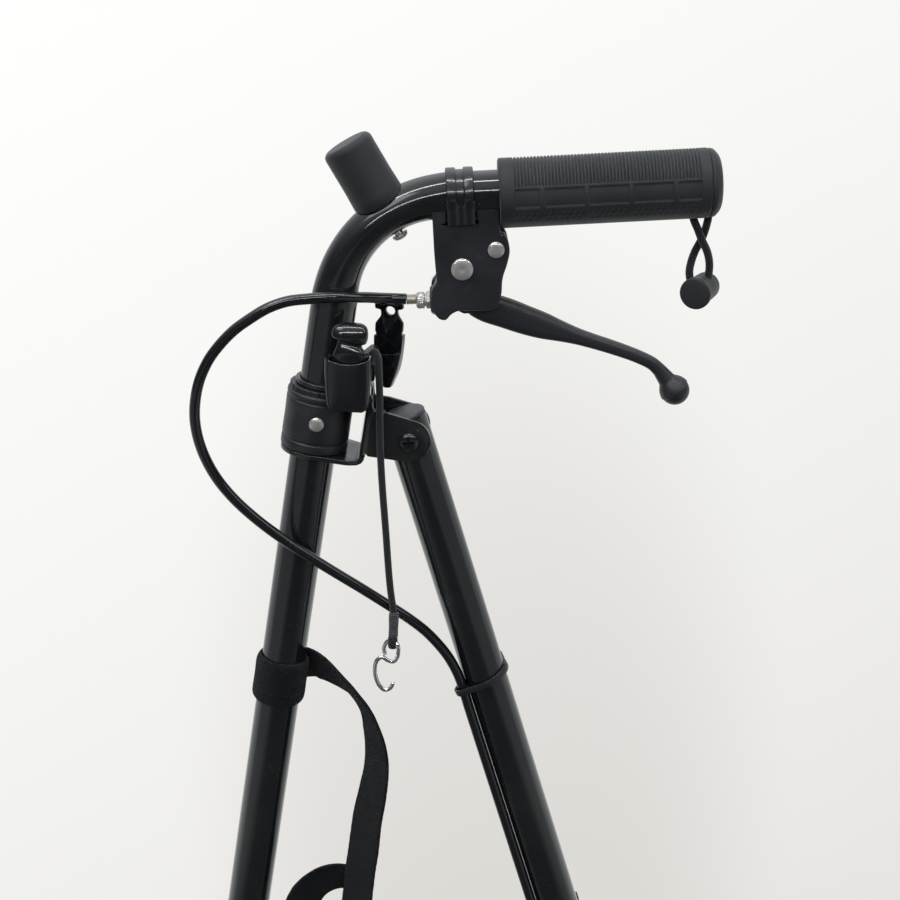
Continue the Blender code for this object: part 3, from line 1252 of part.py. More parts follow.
CLIP_WIDTH = 25.6 * MM
CLIP_DEPTH = 12.0 * MM
CLIP_HEIGHT = 31.0 * MM
CLIP_WALL = 1.7 * MM
TONGUE_THICK = 4.6 * MM
CLIP_POWER = 3.2                 # how square the rounded oblong is; 2 would be an ellipse
CLIP_FLOOR = 5.0 * MM
CLIP_SECTIONS = [                # shares of the half width, the half depth and the height
    (0.72, 0.62, 0.0), (0.86, 0.80, 0.05), (0.93, 0.92, 0.16),
    (0.97, 0.98, 0.40), (1.0, 1.0, 0.75), (0.98, 1.0, 1.0),
]
NEAR_CLIP = ((-30.2 * MM, -22.2 * MM, 22.4 * MM), (0.0, radians(4.0), radians(-6.0)))
FAR_CLIP = ((-8.6 * MM, 17.0 * MM, 26.0 * MM), (0.0, 0.0, radians(140.0)))


def clip_ring(half_width, half_depth, z, count=16):
    """A rounded oblong section of the clip."""
    points = []
    for a in np.linspace(0.0, 2 * pi, count, endpoint=False):
        c, s = cos(a), sin(a)
        reach = (abs(c) ** CLIP_POWER + abs(s) ** CLIP_POWER) ** (-1 / CLIP_POWER)
        points.append(Vector((half_width * reach * c, half_depth * reach * s, z)))
    return points


def clip_cup(name, at, turn):
    """Open-topped pocket that swells slightly towards its rim."""
    w, d, h = CLIP_WIDTH / 2, CLIP_DEPTH / 2, CLIP_HEIGHT
    body = loft([clip_ring(w * a, d * b, h * z) for a, b, z in CLIP_SECTIONS])
    hollow = loft([
        clip_ring(w * 0.93 - CLIP_WALL, d * 0.9 - CLIP_WALL, CLIP_FLOOR),
        clip_ring(w - CLIP_WALL, d - CLIP_WALL, h * 0.6),
        clip_ring(w - CLIP_WALL, d - CLIP_WALL, h + 5 * MM),
    ])
    dip = cylinder(26.0 * MM, 2 * CLIP_DEPTH, "Y", (0.0, 0.0, h + 22.6 * MM), sides=48)
    place(body, at, turn)
    cut(body, place(hollow, at, turn), place(dip, at, turn))
    return keep(body, name, BLACK_GLOSS)


def clip_tongue(name, at, turn):
    """Flat tongue in the pocket, with shoulders, a narrow neck and a T head with a hole."""
    half = CLIP_WIDTH / 2 - CLIP_WALL - 1.4 * MM
    low = CLIP_FLOOR + FIT
    right = [(half * 0.8, low), (half, low + 4 * MM), (half, 30.0 * MM), (half * 0.86, 35.5 * MM)]
    right += [(6.4 * MM, 39.4 * MM), (5.6 * MM, 41.6 * MM), (6.6 * MM, 43.6 * MM)]
    right += arc((7.0 * MM, 47.0 * MM), 2.9 * MM, -80, 80, 5)
    right += [(4.0 * MM, 50.9 * MM)]
    outline = right + [(-x, z) for x, z in reversed(right)]
    body = plate(outline, TONGUE_THICK)
    bevel(body, 1.0 * MM)
    hole = cylinder(2.3 * MM, 4 * CLIP_DEPTH, "Y", (0.0, 0.0, 45.4 * MM), sides=12)
    place(body, at, turn)
    cut(body, place(hole, at, turn))
    return keep(body, name, BLACK_GLOSS)


CLIP_BAND_UP = 36.0 * MM         # middle of the clip band above the pivot's level, along the tube
CLIP_BAND_HEIGHT = 12.0 * MM


def clip_band():
    """Band round the main tube with an arm that carries both clips."""
    inner, outer = TUBE_R + FIT, TUBE_R + FIT + 2.2 * MM
    h, up = CLIP_BAND_HEIGHT, CLIP_BAND_UP
    rows = [(outer, up + h / 2), (outer, up - h / 2), (inner, up - h / 2), (inner, up + h / 2)]
    ring = place(turned(rows, steps=20, closed=True), parent=MAIN_FRAME)
    arm = box((22 * MM, 8 * MM, h * 0.8), (24 * MM, 0.0, up))
    near = box((8 * MM, 14 * MM, h * 0.8), (24 * MM, -8.6 * MM, up))
    fuse(ring, place(arm, parent=MAIN_FRAME), place(near, parent=MAIN_FRAME))
    far_at, far_turn = FAR_CLIP
    back = CLIP_DEPTH / 2
    far = box((9 * MM, 12 * MM, h * 0.7), (0.0, back + 6 * MM, 18 * MM))
    fuse(ring, place(far, far_at, far_turn))
    bore = cylinder(inner, 60 * MM, centre=(0.0, 0.0, up), sides=20)
    cut(ring, place(bore, parent=MAIN_FRAME))
    for at, turn in (NEAR_CLIP, FAR_CLIP):
        heights = (-1 * MM, CLIP_HEIGHT + 19 * MM)
        shadow = loft([clip_ring(CLIP_WIDTH / 2 + FIT, CLIP_DEPTH / 2 + FIT, z) for z in heights])
        cut(ring, place(shadow, at, turn))
    return keep(ring, "clip_band", BLACK_PLASTIC)


# Lanyard with its hook


LANYARD_D = 4.0 * MM
LANYARD_STOPS = [
    (-18.5, -12.0, 46.0), (-17.7, -12.0, 49.8), (-15.4, -15.0, 52.6), (-13.8, -19.2, 49.6),
    (-13.8, -21.2, 42.0),
    (-14.2, -21.4, 30.0), (-15.4, -21.2, 12.0), (-16.2, -21.0, -15.0), (-16.3, -21.0, -51.0),
    (-16.2, -21.0, -85.0), (-15.0, -21.0, -103.7),
]
WHIPPING_D = 6.3 * MM
WHIPPING_TOP = (-15.0, -21.0, -104.0)
WHIPPING_LENGTH = 16.0 * MM
HOOK_WIRE_D = 2.5 * MM


def in_mm(points):
    return [(x * MM, y * MM, z * MM) for x, y, z in points]


def lanyard():
    stops = in_mm(LANYARD_STOPS)
    route = stops[:1] + smooth_route(stops[1:], 2.2 * LANYARD_D)
    return keep(place(wire(route, LANYARD_D / 2)), "lanyard_cord", BLACK_CORD)


def lanyard_whipping():
    x, y, z = WHIPPING_TOP
    body = cylinder(WHIPPING_D / 2, WHIPPING_LENGTH, centre=(0.0, 0.0, -WHIPPING_LENGTH / 2), sides=16)
    bevel(body, 0.6 * MM)
    return keep(place(body, (x * MM, y * MM, z * MM)), "lanyard_whipping", BLACK_CORD)


HOOK_STOPS = [
    (-15.0, -21.0, -120.4), (-14.9, -21.0, -122.8), (-12.3, -21.0, -127.5), (-13.4, -21.0, -133.5),
    (-17.2, -21.0, -137.0), (-21.0, -21.0, -134.5), (-24.0, -21.0, -130.0),
]


def s_hook():
    route = smooth_route(in_mm(HOOK_STOPS), 1.6 * HOOK_WIRE_D)
    return keep(place(wire(route, HOOK_WIRE_D / 2)), "s_hook", CHROME)


# Loop and toggle at the grip's end


LOOP_D = 4.3 * MM
LOOP_STOPS = [
    (162.4, -1.0, 114.0), (162.6, -1.2, 111.0), (165.2, -3.4, 104.0), (169.4, -2.0, 94.0),
    (170.6, -1.0, 84.0), (168.6, -2.2, 77.6), (163.6, -5.2, 76.6), (158.4, -8.0, 79.6),
    (157.0, -7.0, 87.0), (159.6, 1.2, 95.0), (164.0, 3.8, 103.0), (168.0, 1.0, 110.6),
    (168.4, 0.6, 114.0),
]
TOGGLE_AT = (163.6, -5.2, 76.6)
TOGGLE_TURN = radians(-30.0)
TOGGLE_D = 12.0 * MM
TOGGLE_DISC_D = 17.0 * MM


def grip_loop():
    route = smooth_route(in_mm(LOOP_STOPS), 1.7 * LOOP_D)
    return keep(place(wire(route, LOOP_D / 2)), "grip_loop", BLACK_CORD)


def toggle():
    """Barrel with a wider disc on its near end and a cross hole for the loop."""
    r, disc = TOGGLE_D / 2, TOGGLE_DISC_D / 2
    rows = [(0.0, 8.0 * MM), (r - 1 * MM, 8.0 * MM), (r, 7.0 * MM), (r, -5.4 * MM), (disc, -5.8 * MM)]
    rows += [(disc, -8.0 * MM), (disc - 1.2 * MM, -9.0 * MM), (0.0, -9.0 * MM)]
    body = turned(rows, axis="Y", steps=16)
    at = tuple(v * MM for v in TOGGLE_AT)
    route = smooth_route(in_mm(LOOP_STOPS), 1.7 * LOOP_D)
    place(body, at, (0.0, 0.0, TOGGLE_TURN))
    cut(body, place(wire(route, LOOP_D / 2 + FIT)))
    return keep(body, "loop_toggle", BLACK_GLOSS)


# Strap round the main tube


STRAP_THICK = 2.2 * MM
STRAP_WIDTH = 25.0 * MM
WRAP_ALONG = -164.0 * MM         # middle of the wrap, from the pivot's level along the tube
WRAP_HEIGHT = 29.0 * MM


def strap_wrap():
    inner, outer = TUBE_R + FIT, TUBE_R + FIT + STRAP_THICK
    h, up = WRAP_HEIGHT, WRAP_ALONG
    rows = [(outer - 0.5 * MM, up + h / 2), (outer, up + h / 2 - 1 * MM), (outer, up - h / 2 + 1 * MM)]
    rows += [(outer - 0.5 * MM, up - h / 2), (inner, up - h / 2), (inner, up + h / 2)]
    return keep(place(turned(rows, steps=20, closed=True), parent=MAIN_FRAME), "strap_wrap", BLACK_CORD)


STRAP_STOPS = [
    ((-83.0, -16.7, -152.5), (0.21, 0.0, 1.0)), ((-74.5, -17.2, -151.0), (0.21, 0.0, 1.0)),
    ((-65.0, -18.6, -147.0), (0.22, -0.2, 1.0)), ((-55.5, -20.4, -144.5), (0.45, -0.45, 0.9)),
    ((-47.5, -21.6, -151.0), (0.65, -0.7, 0.5)), ((-42.4, -21.4, -166.0), (0.62, -0.8, 0.2)),
    ((-39.0, -20.6, -186.0), (0.58, -0.8, 0.0)), ((-38.0, -20.0, -206.0), (0.56, -0.8, 0.0)),
    ((-42.0, -20.0, -232.0), (0.54, -0.8, -0.05)), ((-49.0, -20.0, -259.0), (0.50, -0.8, -0.05)),
    ((-58.0, -20.5, -289.0), (0.42, -0.8, -0.05)), ((-69.0, -21.0, -315.0), (0.30, -0.9, -0.05)),
    ((-82.0, -21.0, -322.0), (0.15, -1.0, 0.0)), ((-92.0, -20.5, -308.0), (0.10, -1.0, 0.0)),
    ((-88.0, -20.0, -287.0), (0.10, -1.0, 0.0)), ((-77.0, -20.0, -272.0), (0.15, -1.0, 0.05)),
    ((-66.0, -20.0, -271.0), (0.20, -1.0, 0.05)),
]


def strap_tail():
    """Free end of the strap: bulges out, falls, and curls back up on itself."""
    places = smooth_route(in_mm([stop[0] for stop in STRAP_STOPS]), 8.0 * MM)
    share = np.linspace(0.0, 1.0, len(STRAP_STOPS))
    rings = []
    for i, at in enumerate(places):
        u = i / (len(places) - 1)
        before, after = Vector(places[max(i - 1, 0)]), Vector(places[min(i + 1, len(places) - 1)])
        along = (after - before).normalized()
        wide = Vector([np.interp(u, share, [stop[1][k] for stop in STRAP_STOPS]) for k in range(3)])
        wide = (wide - along * wide.dot(along)).normalized()
        thick = along.cross(wide) * STRAP_THICK / 2
        wide = wide * STRAP_WIDTH / 2
        centre = Vector(at)
        corners = ((wide, thick), (wide, -thick), (-wide, -thick), (-wide, thick))
        rings.append([centre + a + b for a, b in corners])
    return keep(place(loft(rings)), "strap_tail", BLACK_CORD)


# Build


def build_top():
    main_tube()
    grip()
    grip_end_plug()
    bumper()
    bumper_screw()
    clamp_band()
    brake_housing()
    brake_lever()
    through_pin("lever_pin", LEVER_PIN_D, LEVER_PIN_HEAD, LEVER_X, LEVER_Z, HOUSING_WIDTH)
    through_pin("clamp_pin", CLAMP_PIN_D, CLAMP_PIN_HEAD, CLAMP_PIN_X, CLAMP_PIN_Z, HOUSING_WIDTH)
    cable_nipple()
    barrel_adjuster()
    cable_ferrule()
    inner_wire()
    grip_loop()
    toggle()


def build_joint():
    fold_collar()
    collar_rivet()
    hinge_bracket()
    pivot_bolt()
    far_face = EAR_OUTER / 2 + FIT
    nut("pivot_nut", (0.0, far_face, 0.0), 10.0 * MM, PIVOT_BOLT_D / 2 + FIT, NUT_HEIGHT)
    clip_band()
    for side, (at, turn) in (("near", NEAR_CLIP), ("far", FAR_CLIP)):
        clip_cup(f"clip_cup_{side}", at, turn)
        clip_tongue(f"clip_tongue_{side}", at, turn)
    lanyard()
    lanyard_whipping()
    s_hook()
    strap_wrap()
    strap_tail()


def build_rear_leg():
    rear_leg_tube()
    leg_top_plug()
    axle_tee()
    axle_cross_tube()
    rear_axle()
    cable_stop()
    brake_wire()
    brake_bar()
    for side, word in ((-1, "near"), (1, "far")):
        y = side * REAR_TRACK / 2
        upright = (0.0, REAR_LEAN + FLAT_DOWN, 0.0)
        frame = empty(f"rear_wheel_axis_{word}", (0.0, y, AXLE_ALONG), upright, LEG_FRAME)
        hub(f"rear_hub_{word}", frame)
        tyre(f"rear_tyre_{word}", frame)
        brake_shoe(f"brake_shoe_{word}", side)
        face = side * (REAR_TRACK / 2 + HUB_WIDTH / 2 + FIT)
        turn = FACE_FAR if side > 0 else FACE_NEAR
        at = (0.0, face, AXLE_ALONG)
        nut(f"axle_nut_{word}", at, AXLE_NUT, AXLE_D / 2 + FIT, AXLE_NUT_HEIGHT, LEG_FRAME, turn)
    brake_cable()
    cable_tie("cable_tie_top", 158.5 * MM, radians(-10.0))
    cable_tie("cable_tie_middle", down_leg(TIE_SHARES[0]), 0.0)
    cable_tie("cable_tie_low", down_leg(TIE_SHARES[1]), 0.0)


def build_caster():
    caster_head()
    caster_fork()
    front_axle()
    hub("front_hub", FRONT_WHEEL_FRAME)
    tyre("front_tyre", FRONT_WHEEL_FRAME)
    nut_face = -(FORK_HALF + FORK_SHEET + FIT)
    at = (CASTER_TRAIL, nut_face, WHEEL_R)
    nut("front_axle_nut", at, AXLE_NUT, AXLE_D / 2 + FIT, AXLE_NUT_HEIGHT, CASTER_FRAME, FACE_NEAR)


build_top()
build_joint()
build_rear_leg()
build_caster()
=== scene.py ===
"""Dressed model of a wheeled walking cane: grip, hand brake, folding rear leg, caster and rear wheels.

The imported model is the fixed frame, in metres with Z up. The near side is -Y and the grip points to +X.
Shapes are surfaces worked out as whole arrays, and finishes are node materials written as expressions.
"""
import json
from math import atan2, cos, pi, radians, sin, tan

import bpy
import numpy as np
from bpy.props import FloatProperty, FloatVectorProperty, IntProperty, PointerProperty
from mathutils import Matrix, Vector


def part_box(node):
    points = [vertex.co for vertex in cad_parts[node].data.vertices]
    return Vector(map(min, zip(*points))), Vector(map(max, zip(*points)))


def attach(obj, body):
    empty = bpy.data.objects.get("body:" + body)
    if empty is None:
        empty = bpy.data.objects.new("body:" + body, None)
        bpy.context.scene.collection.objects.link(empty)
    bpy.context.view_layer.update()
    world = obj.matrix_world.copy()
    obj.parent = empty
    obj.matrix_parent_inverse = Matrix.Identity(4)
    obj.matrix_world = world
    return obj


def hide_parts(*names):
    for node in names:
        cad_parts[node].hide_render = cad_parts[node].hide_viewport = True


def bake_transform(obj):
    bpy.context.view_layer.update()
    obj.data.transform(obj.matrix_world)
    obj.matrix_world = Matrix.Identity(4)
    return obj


bl_info = {
    "name": "Wheeled walking cane",
    "version": (1, 0, 0),
    "blender": (4, 5, 0),
    "location": "3D View > Sidebar > Cane",
    "description": "Dresses the packed frame of a wheeled walking cane with its finished pieces",
    "category": "Object",
}

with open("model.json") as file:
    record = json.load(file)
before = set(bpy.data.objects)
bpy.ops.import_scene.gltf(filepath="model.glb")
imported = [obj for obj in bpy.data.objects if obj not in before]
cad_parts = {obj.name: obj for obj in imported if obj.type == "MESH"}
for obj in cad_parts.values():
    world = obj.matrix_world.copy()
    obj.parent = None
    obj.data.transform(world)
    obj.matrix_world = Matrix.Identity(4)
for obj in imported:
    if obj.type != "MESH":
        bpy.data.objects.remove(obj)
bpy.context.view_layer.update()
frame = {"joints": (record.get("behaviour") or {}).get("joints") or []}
JOINTS = {joint["name"]: joint for joint in frame["joints"]}
MM = 0.001


def joint_at(name):
    """Place of a joint's axis in the row frame."""
    return np.array(JOINTS[name]["pos_m"], float)


# Places that the pieces share

PIVOT = joint_at("leg_fold")                 # fold pivot, from which the top is measured
LEVER_PIVOT = joint_at("lever_squeeze")
BRAKE_PIVOT = joint_at("brake_turn")
REAR_AXLE = joint_at("rear_wheel_near_spin") * (1, 0, 1)
FRONT_AXLE = joint_at("front_wheel_spin")
CASTER_AT = joint_at("caster_swivel") * (1, 1, 0)
MAIN_LEAN = radians(11.86)                   # main tube from the vertical
REAR_LEAN = radians(13.4)                    # rear leg from the vertical
PIVOT_REACH = 51.7 * MM                      # fold pivot from the main tube's axis
GRIP_Z = 133.2 * MM                          # grip axis above the fold pivot
GRIP_START, GRIP_END = 55.9 * MM, 168.5 * MM
BEND_RADIUS = 63.5 * MM
BEND_TURN = pi / 2 - MAIN_LEAN
CORNER_X = -PIVOT_REACH * cos(MAIN_LEAN) + (GRIP_Z - PIVOT_REACH * sin(MAIN_LEAN)) * tan(MAIN_LEAN)
BUMPER_SHARE = 0.625                         # place of the bumper along the bend
BUMPER_TURN = radians(2.2)                   # how far the bumper is off square
WALL = 1.5 * MM                              # of the main tube and the rear leg
HALF_TRACK = 100 * MM                        # rear wheels from the middle
TYRE = 62.5                                  # radius of the tyres in mm, as the shoes meet them
CAMERA_AT = (0.0132, -0.9303, 1.0594)
CAMERA_DOWN, CAMERA_ROLL = radians(20.0), radians(2.9)
BEND_CENTRE = PIVOT + (CORNER_X + BEND_RADIUS * tan(BEND_TURN / 2), 0.0, GRIP_Z - BEND_RADIUS)


class Frame:
    """A slanted frame turned about Y, which puts local points into the row frame."""

    def __init__(self, origin, lean=0.0, about_z=0.0):
        self.origin = np.array(origin, float)
        turn = Matrix.Rotation(lean, 3, "Y") @ Matrix.Rotation(about_z, 3, "Z")
        self.turn = np.array(turn)

    def put(self, points):
        return np.asarray(points, float) @ self.turn.T + self.origin


TOP = Frame(PIVOT)
MAIN = Frame(PIVOT + np.array((-PIVOT_REACH * cos(MAIN_LEAN), 0.0, PIVOT_REACH * sin(MAIN_LEAN))), MAIN_LEAN)
LEG = Frame(PIVOT, -REAR_LEAN)
LEVER = Frame(LEVER_PIVOT)
BRAKE = Frame(BRAKE_PIVOT, -REAR_LEAN)
CASTER = Frame(CASTER_AT)
AXLE_ALONG = -float(np.linalg.norm((REAR_AXLE - PIVOT)[[0, 2]]))


# Settings that a user would change


def length(name, default, low, high, description):
    """A length setting, its values in millimetres."""
    return FloatProperty(name=name, description=description, default=default * MM, min=low * MM,
                         max=high * MM, subtype="DISTANCE", unit="LENGTH")


def tint(name, default, description):
    """A colour setting, scene linear."""
    return FloatVectorProperty(name=name, description=description, default=default, min=0.0, max=1.0,
                               subtype="COLOR", size=3)


class CaneSizes(bpy.types.PropertyGroup):
    """Sizes of the dressed pieces."""

    tube_diameter: length("Tube diameter", 25.4, 20, 30, "Outside of the main tube and the rear leg")
    bend_squeeze: FloatProperty(
        name="Bend squeeze", description="Share of the tube's depth lost at the middle of the bend",
        default=0.13, min=0.0, max=0.4, subtype="FACTOR")
    grip_diameter: length("Grip diameter", 37.5, 30, 45, "Outside of the ribbed grip")
    grip_ribs: IntProperty(
        name="Grip ribs", description="Fine ribs over the upper half of the grip", default=55, min=10, max=80)
    rib_depth: length("Rib depth", 0.95, 0, 2, "Depth of the valleys between the ribs")
    bumper_diameter: length("Bumper diameter", 28.0, 20, 35, "Rubber stop on the bend")
    cable_diameter: length("Cable diameter", 6.0, 4, 8, "Jacket of the brake cable")
    lanyard_diameter: length("Lanyard diameter", 4.0, 2, 6, "Braided lanyard")
    loop_diameter: length("Loop diameter", 4.3, 2, 6, "Cord of the wrist loop")
    strap_width: length("Strap width", 25.0, 15, 40, "Hook and loop strap")
    wheel_diameter: length("Wheel diameter", 125.0, 100, 150, "Over the tyres")


class CaneColours(bpy.types.PropertyGroup):
    """Colours of the finishes, scene linear."""

    paint: tint("Paint", (0.0095, 0.0108, 0.0132), "Gloss black coat of the tubes")
    moulding: tint("Moulding", (0.0175, 0.0185, 0.022), "Satin black plastic of the housing and collar")
    rubber: tint("Rubber", (0.0225, 0.0248, 0.028), "Grip, end plug and bumper")
    cord: tint("Cord", (0.0115, 0.0125, 0.0145), "Lanyard, wrist loop and strap")
    steel: tint("Steel", (0.70, 0.69, 0.67), "Rivets, nuts and the cable adjuster")
    hub: tint("Hub", (0.045, 0.046, 0.050), "Moulded wheel hubs")
    backdrop: tint("Backdrop", (0.93, 0.925, 0.90), "Pale floor and surroundings")


# Curves and profiles


def mm(*rows):
    """Numbers or rows of numbers in millimetres, as an array in metres."""
    return np.array(rows, float) * MM


def unit(rows):
    """Each row divided by its length."""
    return rows / np.maximum(np.linalg.norm(rows, axis=1), 1e-12)[:, None]


def angles(count):
    """Even angles round a full turn."""
    return np.linspace(0.0, 2 * pi, count, endpoint=False)


def superellipse(a, power):
    """Radius of |x|^n + |y|^n = 1 at angle a."""
    return (np.abs(np.cos(a)) ** power + np.abs(np.sin(a)) ** power) ** (-1 / power)


def distances(points):
    """How far each point is from the first, along the polyline."""
    return np.concatenate(((0.0,), np.cumsum(np.linalg.norm(np.diff(points, axis=0), axis=1))))


def rounded(corners, radius, steps=6, closed=False):
    """A polyline with eased corners: each corner P becomes (1-s)^2 A + 2s(1-s) P + s^2 B.

    A and B lie a radius away from P along its two sides, or less where a side is short."""
    points = np.asarray(corners, float)
    radius = np.broadcast_to(np.asarray(radius, float), (len(points),))
    before, after = np.roll(points, 1, 0), np.roll(points, -1, 0)
    back, on = before - points, after - points
    back_long = np.linalg.norm(back, axis=1)
    on_long = np.linalg.norm(on, axis=1)
    ease = np.minimum(radius, 0.48 * np.minimum(back_long, on_long))
    if not closed:
        ease[[0, -1]] = 0.0
    start = points + back * (ease / np.maximum(back_long, 1e-12))[:, None]
    stop = points + on * (ease / np.maximum(on_long, 1e-12))[:, None]
    s = np.linspace(0.0, 1.0, steps)[None, :, None]
    arcs = (1 - s) ** 2 * start[:, None] + 2 * s * (1 - s) * points[:, None] + s**2 * stop[:, None]
    runs = arcs.reshape(-1, points.shape[1])
    away = np.linalg.norm(np.diff(runs, axis=0, append=runs[:1]), axis=1)
    keep = away > 1e-7
    if not closed:
        keep[-1] = True
    return runs[keep]


def arc(centre, radius, start, end, count):
    """Points centre + radius (cos a, sin a), with a in degrees."""
    a = np.radians(np.linspace(start, end, count))
    return np.stack((centre[0] + radius * np.cos(a), centre[1] + radius * np.sin(a)), 1)


def resampled(points, count, closed=False):
    """Points at equal lengths along a polyline."""
    points = np.asarray(points, float)
    if closed:
        points = np.concatenate((points, points[:1]))
    run = distances(points)
    wanted = np.linspace(0.0, run[-1], count, endpoint=not closed)
    return np.stack([np.interp(wanted, run, column) for column in points.T], 1)


def spline(stops, spacing):
    """A smooth curve through stops (centripetal Catmull-Rom), sampled at an even spacing."""
    stops = np.asarray(stops, float)
    ends = np.concatenate((2 * stops[:1] - stops[1:2], stops, 2 * stops[-1:] - stops[-2:-1]))
    a, b, c, d = ends[:-3], ends[1:-2], ends[2:-1], ends[3:]

    def gap(p, q):
        return np.maximum(np.linalg.norm(q - p, axis=1), 1e-6)[:, None, None] ** 0.5

    k1 = gap(a, b)
    k2 = k1 + gap(b, c)
    k3 = k2 + gap(c, d)
    s = np.linspace(0.0, 1.0, 24, endpoint=False)[None, :, None]
    t = k1 + (k2 - k1) * s
    a, b, c, d = (p[:, None, :] for p in (a, b, c, d))
    ab = a + (b - a) * (t / k1)
    bc = b + (c - b) * ((t - k1) / (k2 - k1))
    cd = c + (d - c) * ((t - k2) / (k3 - k2))
    abc = ab + (bc - ab) * (t / k2)
    bcd = bc + (cd - bc) * ((t - k1) / (k3 - k1))
    dense = (abc + (bcd - abc) * ((t - k1) / (k2 - k1))).reshape(-1, stops.shape[1])
    dense = np.concatenate((dense, stops[-1:]))
    length = np.linalg.norm(np.diff(dense, axis=0), axis=1).sum()
    return resampled(dense, max(3, int(round(length / spacing)) + 1))


def smoothstep(x):
    """3x^2 - 2x^3, held at 0 and 1 outside."""
    x = np.clip(x, 0.0, 1.0)
    return x * x * (3 - 2 * x)


# Skins: grids of points made into closed surfaces


class Skin:
    """Points with blocks of faces, and each face's UV corners in metres along the surface."""

    def __init__(self, points, faces, uvs):
        self.points, self.faces, self.uvs = points, faces, uvs
        if self.volume() < 0:
            self.faces = [block[:, ::-1] for block in faces]
            self.uvs = [block[:, ::-1] for block in uvs]

    def volume(self):
        """Signed volume times six, as the sum over fans of each face about its first corner."""
        total = 0.0
        for block in self.faces:
            corners = self.points[block]
            for k in range(1, block.shape[1] - 1):
                total += np.einsum("ij,ij->", corners[:, 0], np.cross(corners[:, k], corners[:, k + 1]))
        return total


def lattice(grid, round_rows=False):
    """Quads round each row of grid[i, j] and on to the next, with UV (share round the row, length along)."""
    rows, columns = grid.shape[:2]
    i = np.arange(rows if round_rows else rows - 1)[:, None]
    j = np.arange(columns)[None, :]
    i2, j2 = (i + 1) % rows, (j + 1) % columns
    corners = (i * columns + j, i * columns + j2, i2 * columns + j2, i2 * columns + j)
    quads = np.stack(np.broadcast_arrays(*corners), -1)
    along = np.concatenate(((0.0,), np.cumsum(np.linalg.norm(np.diff(grid, axis=0), axis=2).mean(1))))
    along = np.append(along, along[-1] + np.linalg.norm(grid[0] - grid[-1], axis=1).mean())
    u0, u1, v0, v1 = np.broadcast_arrays(j / columns, (j + 1) / columns, along[i], along[i + 1])
    uv = np.stack([np.stack(pair, -1) for pair in ((u0, v0), (u1, v0), (u1, v1), (u0, v1))], 2)
    return grid.reshape(-1, 3), quads.reshape(-1, 4), uv.reshape(-1, 4, 2), along


def skin(grid, round_rows=False, tips=(None, None)):
    """A closed skin over grid[i, j], with a fan of triangles over each open end."""
    grid = np.asarray(grid, float)
    rows, columns = grid.shape[:2]
    flat, quads, uv, along = lattice(grid, round_rows)
    points, faces, uvs = [flat], [quads], [uv]
    if not round_rows:
        k = np.arange(columns)
        for end, tip in enumerate(tips):
            base = end * (rows - 1) * columns
            ring = grid[-end]
            points.append(np.asarray(ring.mean(0) if tip is None else tip, float).reshape(1, 3))
            fan = np.stack((base + (k + 1) % columns, base + k, np.full(columns, rows * columns + end)), 1)
            level = np.full(columns, along[0] if end == 0 else along[-2])
            block = np.stack([np.stack(((k + d) / columns, level), 1) for d in (1, 0, 0.5)], 1)
            faces.append(fan if end == 0 else fan[:, ::-1])
            uvs.append(block if end == 0 else block[:, ::-1])
    return Skin(np.concatenate(points), faces, uvs)


AXIS_TURNS = {
    "Z": ((1, 0, 0), (0, 1, 0), (0, 0, 1)),
    "X": ((0, 0, 1), (1, 0, 0), (0, 1, 0)),
    "Y": ((0, 1, 0), (0, 0, 1), (1, 0, 0)),
    "-Y": ((1, 0, 0), (0, 0, -1), (0, 1, 0)),
}


def turned(profile, put=None, axis="Z", steps=64, closed=False, wobble=None):
    """A profile of (radius, height) spun about an axis: (r cos a, r sin a, h).

    wobble(angle, profile) returns factors on the radius, for flutes, knurls and flats."""
    profile = np.asarray(profile, float)
    tips = [None, None]
    if not closed:
        for end in (0, -1):
            if profile[end, 0] < 1e-9:
                tips[end] = (0.0, 0.0, profile[end, 1])
        profile = profile[profile[:, 0] > 1e-9]
    a = angles(steps)[None, :]
    r, h = profile[:, 0][:, None], profile[:, 1][:, None]
    if wobble is not None:
        r = r * wobble(a, profile)
    grid = np.stack(np.broadcast_arrays(r * np.cos(a), r * np.sin(a), h + 0 * a), -1)
    turn = np.array(AXIS_TURNS[axis])
    put = put or (lambda p: p)
    tips = [None if tip is None else put(turn @ np.array(tip)) for tip in tips]
    return skin(put(grid @ turn.T), round_rows=closed, tips=tips)


def carried(path, section, scale=None, across=(0.0, 1.0, 0.0), twist=0.0):
    """A section carried along a path: P(s) + x(s) U(s) + y(s) V(s).

    V is the across direction made square to the path, and U is V x tangent.
    scale is one (x, y) pair a station."""
    path, section = np.asarray(path, float), np.asarray(section, float)
    tangent = unit(np.gradient(path, axis=0))
    v = np.broadcast_to(np.asarray(across, float), path.shape)
    v = unit(v - tangent * np.sum(v * tangent, 1)[:, None])
    u = np.cross(v, tangent)
    scale = np.ones((len(path), 2)) if scale is None else np.asarray(scale, float)
    turn = np.broadcast_to(np.asarray(twist, float), (len(path),))[:, None]
    x = section[None, :, 0] * scale[:, :1]
    y = section[None, :, 1] * scale[:, 1:]
    x, y = x * np.cos(turn) - y * np.sin(turn), x * np.sin(turn) + y * np.cos(turn)
    return skin(path[:, None] + x[..., None] * u[:, None] + y[..., None] * v[:, None])


def circle(radius, sides=24):
    """Points radius (cos a, sin a)."""
    a = angles(sides)
    return np.stack((radius * np.cos(a), radius * np.sin(a)), 1)


def oblong(half_x, half_y, power=4.0, sides=48):
    """Superellipse |x/a|^n + |y/b|^n = 1."""
    a = angles(sides)
    reach = superellipse(a, power)
    return np.stack((half_x * reach * np.cos(a), half_y * reach * np.sin(a)), 1)


